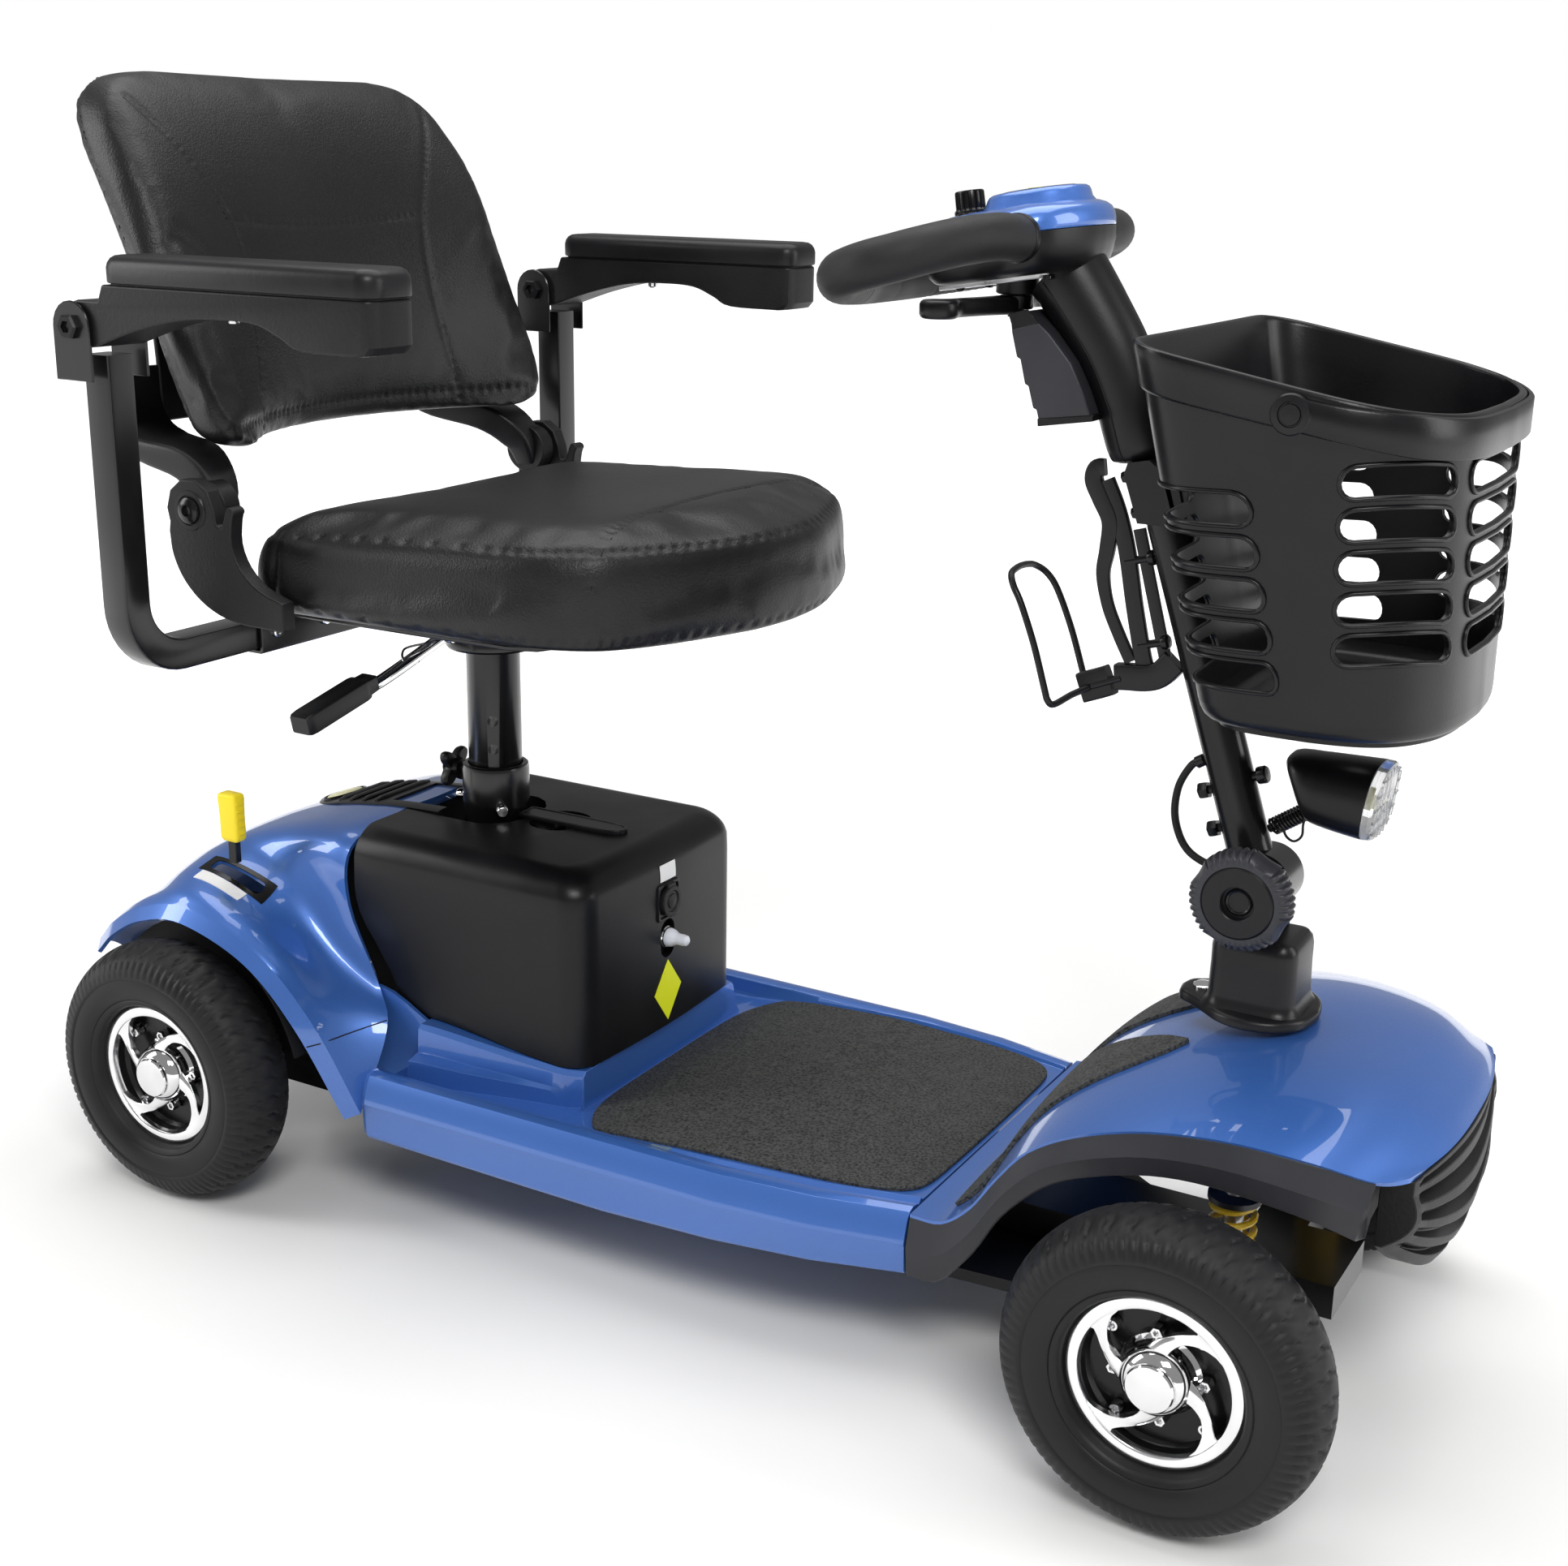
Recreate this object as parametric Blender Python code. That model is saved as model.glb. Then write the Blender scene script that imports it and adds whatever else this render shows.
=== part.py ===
"""A four-wheel mobility scooter with a swivel seat, a folding tiller and a front basket.

Every length is in metres and +Z is up.  The scooter drives toward +X and its left side is +Y.
Inside this script X is measured ahead of the rear axle; the empty that carries every object
moves the whole scooter back by REAR_AXLE_X, so that its box is centred on the origin.
"""

import math

import bmesh
import bpy
import numpy as np
from mathutils import Vector

# ---------------------------------------------------------------- driving dimensions
REAR_AXLE_X = -0.456
WHEELBASE = 0.892
TYRE_RADIUS = 0.114
TYRE_WIDTH = 0.066
RIM_RADIUS = 0.0624
REAR_TRACK_HALF = 0.213
FRONT_TRACK_HALF = 0.215
KINGPIN_Y = 0.165
AXLE_RADIUS = 0.008
GAP = 0.0004

FRAME_BOTTOM = 0.078
FRAME_TOP = 0.104
FLOOR_Z = 0.137
POST_X = 0.184
POST_RADIUS = 0.023
SOCKET_RADIUS = 0.0285
SOCKET_TOP = 0.363
BATTERY_TOP = 0.321
BATTERY_HALF = 0.120
SEAT_HALF = 0.213
SEAT_TOP = 0.606
SEAT_BOTTOM = 0.522
BACK_HINGE = (0.074, 0.603)
ARM_Y = 0.280
ARM_X = 0.052
ARM_HINGE_Z = 0.745
ARM_PAD_TOP = 0.797
STEER_X = 0.870
TILLER_HINGE = (0.868, 0.386)
TUBE_RADIUS = 0.016
BUMPER_FRONT = 1.032
CONSOLE_LEAN = math.radians(9.0)

COLOURS = {
    "blue_paint": ((0.030, 0.130, 0.480), 0.25, 0.3),
    "black_plastic": ((0.020, 0.020, 0.022), 0.45, 0.0),
    "trim_plastic": ((0.045, 0.045, 0.048), 0.55, 0.0),
    "grip_mat": ((0.035, 0.036, 0.035), 0.9, 0.0),
    "black_steel": ((0.012, 0.012, 0.013), 0.3, 0.4),
    "bare_steel": ((0.30, 0.30, 0.31), 0.45, 1.0),
    "chrome": ((0.80, 0.80, 0.81), 0.1, 1.0),
    "alloy": ((0.72, 0.72, 0.73), 0.25, 1.0),
    "tyre_rubber": ((0.022, 0.022, 0.023), 0.7, 0.0),
    "seat_vinyl": ((0.018, 0.018, 0.020), 0.45, 0.0),
    "foam_grip": ((0.030, 0.030, 0.031), 0.8, 0.0),
    "yellow_plastic": ((0.90, 0.68, 0.03), 0.4, 0.0),
    "clear_lens": ((0.85, 0.88, 0.90), 0.05, 0.0),
    "white_plastic": ((0.80, 0.80, 0.80), 0.3, 0.0),
}


# ---------------------------------------------------------------- helpers
def clear_scene():
    for obj in list(bpy.data.objects):
        bpy.data.objects.remove(obj, do_unlink=True)


def make_materials():
    made = {}
    for key, (colour, roughness, metallic) in COLOURS.items():
        mat = bpy.data.materials.new(key)
        mat.use_nodes = True
        shader = mat.node_tree.nodes["Principled BSDF"]
        shader.inputs["Base Color"].default_value = (*colour, 1.0)
        shader.inputs["Roughness"].default_value = roughness
        shader.inputs["Metallic"].default_value = metallic
        made[key] = mat
    return made


clear_scene()
MATERIALS = make_materials()
CARRIER = bpy.data.objects.new("scooter_carrier", None)
CARRIER.location = (REAR_AXLE_X, 0.0, 0.0)
bpy.context.scene.collection.objects.link(CARRIER)


def solid(name, shape, material, pivot=(0.0, 0.0, 0.0), sharp=35.0):
    """One named object from (points, faces), with its origin at pivot."""
    points, faces = shape
    mesh = bpy.data.meshes.new(name)
    origin = Vector(pivot)
    mesh.from_pydata([Vector(p) - origin for p in points], [], faces)
    bm = bmesh.new()
    bm.from_mesh(mesh)
    bmesh.ops.recalc_face_normals(bm, faces=bm.faces)
    bm.to_mesh(mesh)
    bm.free()
    mesh.shade_smooth()
    mesh.set_sharp_from_angle(angle=math.radians(sharp))
    mesh.materials.append(MATERIALS[material])
    obj = bpy.data.objects.new(name, mesh)
    obj.location = origin
    obj.parent = CARRIER
    bpy.context.scene.collection.objects.link(obj)
    return obj


def tool(name, shape):
    """A hidden solid used by a Boolean."""
    obj = solid(name, shape, "black_steel")
    obj.hide_render = True
    obj.display_type = "WIRE"
    return obj


def combine(target, other, operation):
    modifier = target.modifiers.new(operation.lower(), "BOOLEAN")
    modifier.operation = operation
    modifier.solver = "EXACT"
    modifier.object = other


def bevel(obj, width, segments=2):
    modifier = obj.modifiers.new("bevel", "BEVEL")
    modifier.width = width
    modifier.segments = segments
    modifier.limit_method = "ANGLE"


def skin(loops, ring=False):
    """Closed surface through equal loops; flat caps unless the loops form a ring."""
    count = len(loops[0])
    points = [p for loop in loops for p in loop]
    faces = []
    spans = len(loops) if ring else len(loops) - 1
    for i in range(spans):
        a, b = i * count, ((i + 1) % len(loops)) * count
        for j in range(count):
            k = (j + 1) % count
            faces.append((a + j, a + k, b + k, b + j))
    if not ring:
        faces.append(tuple(range(count)))
        last = (len(loops) - 1) * count
        faces.append(tuple(last + j for j in range(count)))
    return points, faces


def box(x0, x1, y0, y1, z0, z1):
    loops = [[(x, y0, z0), (x, y1, z0), (x, y1, z1), (x, y0, z1)] for x in (x0, x1)]
    return skin(loops)


def prism_y(outline, y0, y1):
    """An XZ outline pushed from y0 to y1."""
    return skin([[(x, y, z) for x, z in outline] for y in (y0, y1)])


def prism_z(outline, z0, z1):
    """A plan outline pushed from z0 to z1."""
    return skin([[(x, y, z) for x, y in outline] for z in (z0, z1)])


def turned(profile, centre, axis="Y", sides=32, ring=False):
    """Profile of (radius, distance along axis) turned about an axis through centre."""
    cx, cy, cz = centre
    loops = []
    for radius, along in profile:
        loop = []
        for i in range(sides):
            angle = 2.0 * math.pi * i / sides
            c, s = radius * math.cos(angle), radius * math.sin(angle)
            offset = {"X": (along, c, s), "Y": (c, along, s), "Z": (c, s, along)}[axis]
            loop.append((cx + offset[0], cy + offset[1], cz + offset[2]))
        loops.append(loop)
    return skin(loops, ring)


def sweep(path, section):
    """A section of (side, up) points carried along a path without twisting."""
    path = [Vector(p) for p in path]
    up = Vector((0.0, 0.0, 1.0))
    loops = []
    side = None
    for i, point in enumerate(path):
        ahead = (path[min(i + 1, len(path) - 1)] - path[max(i - 1, 0)]).normalized()
        if side is None:
            side = ahead.cross(up)
            if side.length < 0.1:
                side = ahead.cross(Vector((1.0, 0.0, 0.0)))
        side = (side - ahead * side.dot(ahead)).normalized()
        lift = side.cross(ahead)
        loops.append([tuple(point + side * a + lift * b) for a, b in section])
    return skin(loops)


def circle(radius, sides=10):
    return [(radius * math.cos(2 * math.pi * i / sides), radius * math.sin(2 * math.pi * i / sides))
            for i in range(sides)]


def rounded_square(half, corner):
    points = []
    for quarter in range(4):
        for step in range(2):
            angle = math.pi / 2 * (quarter + step)
            cx = (half - corner) * (1 if quarter in (0, 3) else -1)
            cy = (half - corner) * (1 if quarter in (0, 1) else -1)
            points.append((cx + corner * math.cos(angle), cy + corner * math.sin(angle)))
    return points


def smooth_path(points, per_span=4):
    """Points on a Catmull-Rom curve through the given points."""
    pts = [np.array(p, dtype=float) for p in points]
    pts = [2 * pts[0] - pts[1]] + pts + [2 * pts[-1] - pts[-2]]
    out = []
    for i in range(1, len(pts) - 2):
        a, b, c, d = pts[i - 1:i + 3]
        for step in range(per_span):
            t = step / per_span
            out.append(0.5 * (2 * b + (c - a) * t + (2 * a - 5 * b + 4 * c - d) * t ** 2
                              + (3 * b - a - 3 * c + d) * t ** 3))
    out.append(pts[-2])
    return [tuple(p) for p in out]


def mirrored(half):
    """A closed plan outline from its +Y half, listed from one centre point to the other."""
    return half + [(x, -y) for x, y in reversed(half) if abs(y) > 1e-9]


def sheet(grid, thickness):
    """A thick sheet from a grid of points; the second face lies below the first."""
    rows, cols = len(grid), len(grid[0])
    top = np.array(grid, dtype=float)
    du = np.gradient(top, axis=0)
    dv = np.gradient(top, axis=1)
    normal = np.cross(du, dv)
    normal /= np.linalg.norm(normal, axis=2, keepdims=True)
    if normal[rows // 2, cols // 2, 2] < 0:
        normal = -normal
    under = top - normal * thickness
    points = [tuple(p) for layer in (top, under) for row in layer for p in row]
    faces = []

    def at(layer, i, j):
        return layer * rows * cols + i * cols + j

    for layer in (0, 1):
        for i in range(rows - 1):
            for j in range(cols - 1):
                faces.append((at(layer, i, j), at(layer, i + 1, j), at(layer, i + 1, j + 1), at(layer, i, j + 1)))
    rim = [(0, j) for j in range(cols)] + [(i, cols - 1) for i in range(1, rows)]
    rim += [(rows - 1, j) for j in range(cols - 2, -1, -1)] + [(i, 0) for i in range(rows - 2, 0, -1)]
    for n, (i, j) in enumerate(rim):
        k, m = rim[(n + 1) % len(rim)]
        faces.append((at(0, i, j), at(0, k, m), at(1, k, m), at(1, i, j)))
    return points, faces


def leaned(shape, centre, angle):
    """A shape tipped rearward by angle about the cross axis through centre."""
    points, faces = shape
    cx, _, cz = centre
    c, s = math.cos(angle), math.sin(angle)
    return [(cx + (x - cx) * c - (z - cz) * s, y, cz + (x - cx) * s + (z - cz) * c) for x, y, z in points], faces


def inset(loop, distance):
    """A plan loop moved inward by distance, corner by corner."""
    pts = [Vector(p) for p in loop]
    area = sum(a.x * b.y - b.x * a.y for a, b in zip(pts, pts[1:] + pts[:1]))
    turn = 1.0 if area > 0 else -1.0
    out = []
    for i, point in enumerate(pts):
        before = (point - pts[i - 1]).normalized()
        after = (pts[(i + 1) % len(pts)] - point).normalized()
        n1 = Vector((-before.y, before.x)) * turn
        n2 = Vector((-after.y, after.x)) * turn
        bisector = (n1 + n2).normalized()
        out.append(tuple(point + bisector * distance / max(0.5, bisector.dot(n1))))
    return out


def blend(x, table):
    """Linear reading of a short table of (x, value)."""
    return float(np.interp(x, [row[0] for row in table], [row[1] for row in table]))


# ---------------------------------------------------------------- chassis
def build_chassis():
    half = [(0.075, 0.0), (0.075, 0.102), (-0.030, 0.102), (-0.030, 0.128), (0.105, 0.128), (0.105, 0.040)]
    for start in (0.300, 0.620):
        half += [(start, 0.040), (start, 0.130), (start + 0.030, 0.130), (start + 0.030, 0.040)]
    beam = (WHEELBASE - 0.020, WHEELBASE + 0.020)
    half += [(beam[0], 0.040), (beam[0], 0.150), (beam[1], 0.150), (beam[1], 0.040), (0.955, 0.040), (0.955, 0.0)]
    solid("chassis_frame", prism_z(mirrored(half), FRAME_BOTTOM, FRAME_TOP), "bare_steel")

    half = [(0.660, 0.0), (0.660, 0.100), (0.675, 0.115), (0.740, 0.110), (0.790, 0.075), (0.805, 0.0)]
    lower = [(x * 0.94 + 0.044, y * 0.85) for x, y in half]
    loops = [[(x, y, z) for x, y in mirrored(h)]
             for h, z in ((lower, 0.060), (half, 0.068), (half, FRAME_BOTTOM - GAP))]
    solid("under_cover", skin(loops), "black_plastic")


def build_transaxle():
    case = [(-0.050, 0.070), (-0.058, 0.114), (-0.040, 0.155), (0.030, 0.160), (0.056, 0.130), (0.050, 0.068)]
    body = solid("transaxle", prism_y(case, -0.072, 0.060), "bare_steel")
    half = REAR_TRACK_HALF + 0.0095
    axle = tool("axle_tool", turned([(AXLE_RADIUS, -half), (AXLE_RADIUS, half)], (0, 0, TYRE_RADIUS), "Y", 16))
    combine(body, axle, "UNION")


def build_wheel(label, x, side, track):
    """A tyre on its rim; side is +1 on the left and -1 on the right."""
    centre = (x, side * track, TYRE_RADIUS)
    width = TYRE_WIDTH / 2
    half = [(0.0560, 0.0152), (0.0630, 0.0167), (0.0640, 0.0265), (0.0900, width), (0.1050, 0.0290),
            (TYRE_RADIUS, 0.0090)]
    profile = half + [(r, -a) for r, a in reversed(half)]
    pivot = centre
    solid("tyre_" + label, turned(profile, centre, "Y", 32, ring=True), "tyre_rubber", pivot)
    face = [(0.0165, 0.0290), (0.0230, 0.0110), (0.0500, 0.0110), (0.0520, 0.0215), (RIM_RADIUS, 0.0205),
            (RIM_RADIUS, 0.0172), (0.0555, 0.0157), (0.0555, -0.0157), (RIM_RADIUS, -0.0172),
            (RIM_RADIUS, -0.0205), (0.0510, -0.0205), (0.0500, -0.0110), (0.0180, -0.0200),
            (AXLE_RADIUS + 0.0005, -0.0200), (AXLE_RADIUS + 0.0005, 0.0100)]
    profile = [(r, side * a) for r, a in face]
    solid("rim_" + label, turned(profile, centre, "Y", 26), "alloy", pivot)


def build_knuckle(label, side):
    """Steering knuckle: kingpin barrel, stub axle and steering arm."""
    pivot = (WHEELBASE, side * KINGPIN_Y, TYRE_RADIUS)
    barrel = turned([(0.011, -0.034), (0.011, 0.034)], pivot, "Z", 16)
    obj = solid("knuckle_" + label, barrel, "bare_steel", pivot)
    reach = FRONT_TRACK_HALF + 0.0095
    stub = turned([(AXLE_RADIUS, side * 0.1600), (AXLE_RADIUS, side * reach)], (WHEELBASE, 0, TYRE_RADIUS), "Y", 16)
    arm = box(WHEELBASE - 0.058, WHEELBASE, side * KINGPIN_Y - 0.007, side * KINGPIN_Y + 0.007, 0.134, 0.142)
    combine(obj, tool("stub_tool_" + label, stub), "UNION")
    combine(obj, tool("arm_tool_" + label, arm), "UNION")


# ---------------------------------------------------------------- deck
DECK_STATIONS = (0.178, 0.199, 0.201, 0.250, 0.300, 0.340, 0.356, 0.3585, 0.400, 0.450, 0.520, 0.600, 0.672)


def rail_half_width(x):
    return blend(x, [(0.178, 0.187), (0.35, 0.186), (0.52, 0.184), (0.60, 0.176), (0.672, 0.160)])


def floor_height(x):
    return blend(x, [(0.178, 0.121), (0.35, 0.123), (0.42, 0.131), (0.50, 0.136), (0.672, FLOOR_Z)])


def plinth_height(x):
    return blend(x, [(0.170, 0.1690), (0.365, 0.1550)])


def deck_section(x):
    """Half section of the deck from its centre line, over the rail and back underneath."""
    outer = rail_half_width(x)
    floor = floor_height(x)
    on_plinth = 0.200 < x < 0.357
    top = plinth_height(x) if on_plinth else floor
    edge = blend(x, [(0.178, 0.150), (0.25, 0.142), (0.34, 0.121), (0.40, 0.121)])
    crest = FLOOR_Z + 0.0005
    bottom = blend(x, [(0.178, 0.083), (0.42, 0.080), (0.672, 0.089)])
    return [(0.0, top), (edge - 0.004, top), (edge, top - (0.004 if on_plinth else 0.0)), (edge + 0.002, floor),
            (outer - 0.026, floor), (outer - 0.020, crest), (outer - 0.007, crest), (outer, crest - 0.009),
            (outer + 0.002, bottom), (outer - 0.006, bottom), (outer - 0.008, floor - 0.014),
            (outer - 0.030, floor - 0.007), (0.0, floor - 0.007)]


def build_deck():
    loops = []
    for x in DECK_STATIONS:
        half = deck_section(x)
        loop = [(x, y, z) for y, z in half] + [(x, -y, z) for y, z in reversed(half[1:-1])]
        loops.append(loop)
    deck = solid("deck_shell", skin(loops), "blue_paint")
    hole = turned([(SOCKET_RADIUS + GAP, 0.05), (SOCKET_RADIUS + GAP, 0.25)], (POST_X, 0, 0), "Z", 24)
    combine(deck, tool("post_hole_tool", hole), "DIFFERENCE")

    rows = []
    for x in (0.3625, 0.385, 0.420, 0.450, 0.520, 0.600, 0.650, 0.668):
        half = blend(x, [(0.3625, 0.110), (0.385, 0.155), (0.52, 0.152), (0.60, 0.146), (0.65, 0.132), (0.668, 0.118)])
        rows.append([(x, half * v, floor_height(x) + 0.0035) for v in (-1.0, -0.5, 0.0, 0.5, 1.0)])
    solid("deck_mat", sheet(rows, 0.0030), "grip_mat")


# ---------------------------------------------------------------- bonnet, trim and bumper
BONNET_CENTRE = [(0.6740, 0.1375), (0.697, 0.142), (0.716, 0.163), (0.737, 0.205), (0.765, 0.236), (0.811, 0.261),
                 (0.870, 0.2785), (0.925, 0.2830), (0.985, 0.275), (1.018, 0.257), (BUMPER_FRONT - 0.001, 0.2435)]
BONNET_EDGE = [(0.6740, 0.158, 0.1370), (0.700, 0.161, 0.1400), (0.722, 0.163, 0.158), (0.742, 0.165, 0.187),
               (0.765, 0.167, 0.215), (0.800, 0.169, 0.237), (0.850, 0.170, 0.254), (0.906, 0.167, 0.260),
               (0.960, 0.158, 0.255), (0.998, 0.140, 0.2435), (1.015, 0.122, 0.2435)]
TRIM_LOWER = [(0.6740, 0.161, 0.089), (0.700, 0.164, 0.093), (0.728, 0.168, 0.126), (0.750, 0.170, 0.163),
              (0.780, 0.171, 0.194), (0.812, 0.172, 0.211), (0.855, 0.172, 0.224), (0.900, 0.171, 0.227),
              (0.958, 0.162, 0.217), (0.990, 0.148, 0.203), (1.000, 0.138, 0.196)]


def bonnet_point(u, v):
    """Bonnet surface: u runs from the deck to the nose, v from the right edge to the left edge."""
    last = len(BONNET_CENTRE) - 1
    index = min(int(u * last), last - 1)
    t = u * last - index
    centre = [a + (b - a) * t for a, b in zip(BONNET_CENTRE[index], BONNET_CENTRE[index + 1])]
    edge = [a + (b - a) * t for a, b in zip(BONNET_EDGE[index], BONNET_EDGE[index + 1])]
    share = abs(v) ** 2.6
    return (centre[0] + (edge[0] - centre[0]) * share, edge[1] * v, centre[1] + (edge[2] - centre[1]) * share)


def build_bonnet():
    steps = len(BONNET_CENTRE) - 1
    across = [-1.0, -0.95, -0.8, -0.6, -0.3, 0.0, 0.3, 0.6, 0.8, 0.95, 1.0]
    grid = [[bonnet_point(i / steps, v) for v in across] for i in range(steps + 1)]
    bonnet = solid("bonnet", sheet(grid, 0.0035), "blue_paint")
    hole = turned([(0.0145, 0.2), (0.0145, 0.35)], (STEER_X, 0, 0), "Z", 16)
    combine(bonnet, tool("steer_hole_tool", hole), "DIFFERENCE")

    rows = []
    for u, half in ((0.20, 0.78), (0.30, 0.72), (0.40, 0.60), (0.47, 0.44), (0.50, 0.34)):
        row = [bonnet_point(u, half * v) for v in (-1.0, -0.5, 0.0, 0.5, 1.0)]
        rows.append([(x - 0.0032, y, z + 0.0032) for x, y, z in row])
    solid("bonnet_mat", sheet(rows, 0.0030), "grip_mat")


def lowered(edge, distance):
    """The edge line moved square to itself, away from the bonnet."""
    out = []
    for n, (x, y, z) in enumerate(edge):
        before, after = edge[max(0, n - 1)], edge[min(len(edge) - 1, n + 1)]
        run, rise = after[0] - before[0], after[2] - before[2]
        length = math.hypot(run, rise)
        out.append((x + rise / length * distance, y, z - run / length * distance))
    return out


def build_fender_trim():
    """One moulding: a band along each wheel opening and a bar that joins them behind the bumper."""
    front_upper = [(0.992, 0.128, 0.2345), (0.988, 0.100, 0.2300), (0.986, 0.050, 0.2300)]
    front_lower = [(0.992, 0.128, 0.1960), (0.988, 0.100, 0.1960), (0.986, 0.050, 0.1960)]
    upper = lowered(BONNET_EDGE[:10], 0.0048) + front_upper
    lower = TRIM_LOWER[:10] + front_lower
    sections = []
    for n, (top, low) in enumerate(zip(upper, lower)):
        inner = 0.0045
        crease = [0.5 * (a + b) for a, b in zip(top, low)]
        if n < 10:
            crease[1] += 0.0040
            loop = [top, tuple(crease), low, (low[0], low[1] - inner, low[2]), (top[0], top[1] - inner, top[2])]
        else:
            back = 0.0045
            loop = [top, tuple(crease), low, (low[0] - back, low[1], low[2]), (top[0] - back, top[1], top[2])]
        sections.append(loop)
    sections += [[(x, -y, z) for x, y, z in loop] for loop in reversed(sections)]
    solid("fender_trim", skin(sections), "trim_plastic")


def build_bumper():
    """Shallow curved bumper with horizontal slats."""
    slats = 5
    sections = []
    for y in np.linspace(-0.120, 0.120, 9):
        front = BUMPER_FRONT - 1.05 * y * y
        low = 0.126 + 0.062 * (abs(y) / 0.120) ** 1.5
        high = 0.2385
        profile = []
        for i in range(slats * 4 + 1):
            t = i / (slats * 4)
            groove = 0.006 if i % 4 in (2, 3) and i < slats * 4 - 1 else 0.0
            bulge = 0.006 * math.sin(math.pi * min(1.0, 1.25 * t)) - 0.016 * (1 - t) ** 3
            profile.append((front + bulge - groove, y, low + (high - low) * t))
        sections.append([(0.9960, y, low)] + profile + [(0.9960, y, high)])
    solid("front_bumper", skin(sections), "black_plastic")


# ---------------------------------------------------------------- rear bodywork
SHROUD_RAILS = [  # lines from the rear edge forward, the first on the centre line
    [(-0.124, 0.000, 0.150), (-0.119, 0.000, 0.205), (-0.088, 0.000, 0.255), (-0.030, 0.000, 0.290),
     (0.040, 0.000, 0.310), (0.090, 0.000, 0.318), (0.117, 0.000, 0.320)],
    [(-0.123, 0.055, 0.150), (-0.118, 0.055, 0.205), (-0.087, 0.055, 0.255), (-0.030, 0.055, 0.289),
     (0.040, 0.055, 0.309), (0.090, 0.055, 0.317), (0.117, 0.055, 0.319)],
    [(-0.120, 0.098, 0.150), (-0.114, 0.098, 0.203), (-0.083, 0.098, 0.252), (-0.030, 0.098, 0.284),
     (0.040, 0.103, 0.302), (0.090, 0.110, 0.306), (0.114, 0.112, 0.303)],
    [(-0.114, 0.125, 0.155), (-0.107, 0.125, 0.201), (-0.076, 0.125, 0.250), (-0.025, 0.125, 0.279),
     (0.045, 0.122, 0.275), (0.095, 0.1215, 0.262), (0.117, 0.1215, 0.255)],
    [(-0.112, 0.155, 0.178), (-0.098, 0.156, 0.212), (-0.066, 0.157, 0.246), (-0.018, 0.160, 0.271),
     (0.055, 0.152, 0.252), (0.110, 0.136, 0.215), (0.152, 0.126, 0.190)],
    [(-0.108, 0.178, 0.196), (-0.088, 0.180, 0.226), (-0.050, 0.182, 0.250), (0.002, 0.184, 0.263),
     (0.080, 0.180, 0.236), (0.130, 0.165, 0.187), (0.173, 0.143, 0.160)],
    [(-0.108, 0.192, 0.2015), (-0.0856, 0.194, 0.2235), (-0.0475, 0.195, 0.2446), (0.0049, 0.196, 0.2529),
     (0.0797, 0.195, 0.2279), (0.1330, 0.189, 0.1727), (0.173, 0.180, 0.098)],
    [(-0.0995, 0.204, 0.1946), (-0.0788, 0.204, 0.2149), (-0.0438, 0.205, 0.2343), (0.0045, 0.205, 0.2419),
     (0.0734, 0.204, 0.2189), (0.1200, 0.197, 0.1680), (0.160, 0.186, 0.092)],
]


def shroud_grid(per_span=1):
    half = [smooth_path(rail, per_span) for rail in SHROUD_RAILS]
    return [[(x, -y, z) for x, y, z in rail] for rail in reversed(half[1:])] + half


def build_rear_shroud():
    solid("rear_shroud", sheet(shroud_grid(), 0.0035), "blue_paint")


def build_vent_panel():
    """Ribbed black panel ahead of the release button, lying on the top of the rear shroud."""
    rows = []
    for x in (-0.006, 0.000, 0.020, 0.050, 0.085, 0.113):
        half = blend(x, [(-0.006, 0.012), (0.0, 0.022), (0.02, 0.036), (0.05, 0.042), (0.113, 0.0425)])
        height = blend(x, [(-0.030, 0.290), (0.040, 0.310), (0.090, 0.318), (0.117, 0.320)]) + 0.0045
        rows.append([(x, half * v, height) for v in (-1.0, 0.0, 1.0)])
    rows.append([(0.153, 0.0425 * v, 0.3255) for v in (-1.0, 0.0, 1.0)])
    solid("vent_panel", sheet(rows, 0.0035), "black_plastic")


FREEWHEEL = (0.013, -0.145, 0.2870)


def build_freewheel_lever():
    x, y, z = FREEWHEEL
    stem = [(x - 0.005, z), (x - 0.0035, z - 0.0035), (x, z - 0.005), (x + 0.0035, z - 0.0035), (x + 0.005, z),
            (x + 0.005, z + 0.016), (x + 0.010, z + 0.017), (x + 0.009, z + 0.056), (x - 0.009, z + 0.056),
            (x - 0.009, z + 0.017), (x - 0.005, z + 0.016)]
    solid("freewheel_lever", prism_y(stem, y - 0.005, y + 0.005), "yellow_plastic", FREEWHEEL)


# ---------------------------------------------------------------- battery
def battery_back(z):
    return blend(z, [(0.155, 0.177), (0.20, 0.1560), (0.255, 0.1205), (0.290, 0.1190), (0.321, 0.121)])


def battery_outline(z, margin=0.0):
    """Plan outline of the battery box at height z, open to the rear around the seat post."""
    back = battery_back(z)
    half = BATTERY_HALF
    outline = [(0.2240, 0.0), (0.2200, 0.028), (0.2000, 0.0445), (back, 0.0445), (back, half - 0.012),
               (back + 0.006, half - 0.002), (0.330, half), (0.348, half - 0.006), (0.356, half - 0.018),
               (0.3605, 0.050), (0.3620, 0.0)]
    loop = mirrored(outline)
    return inset(loop, margin) if margin else loop


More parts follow.
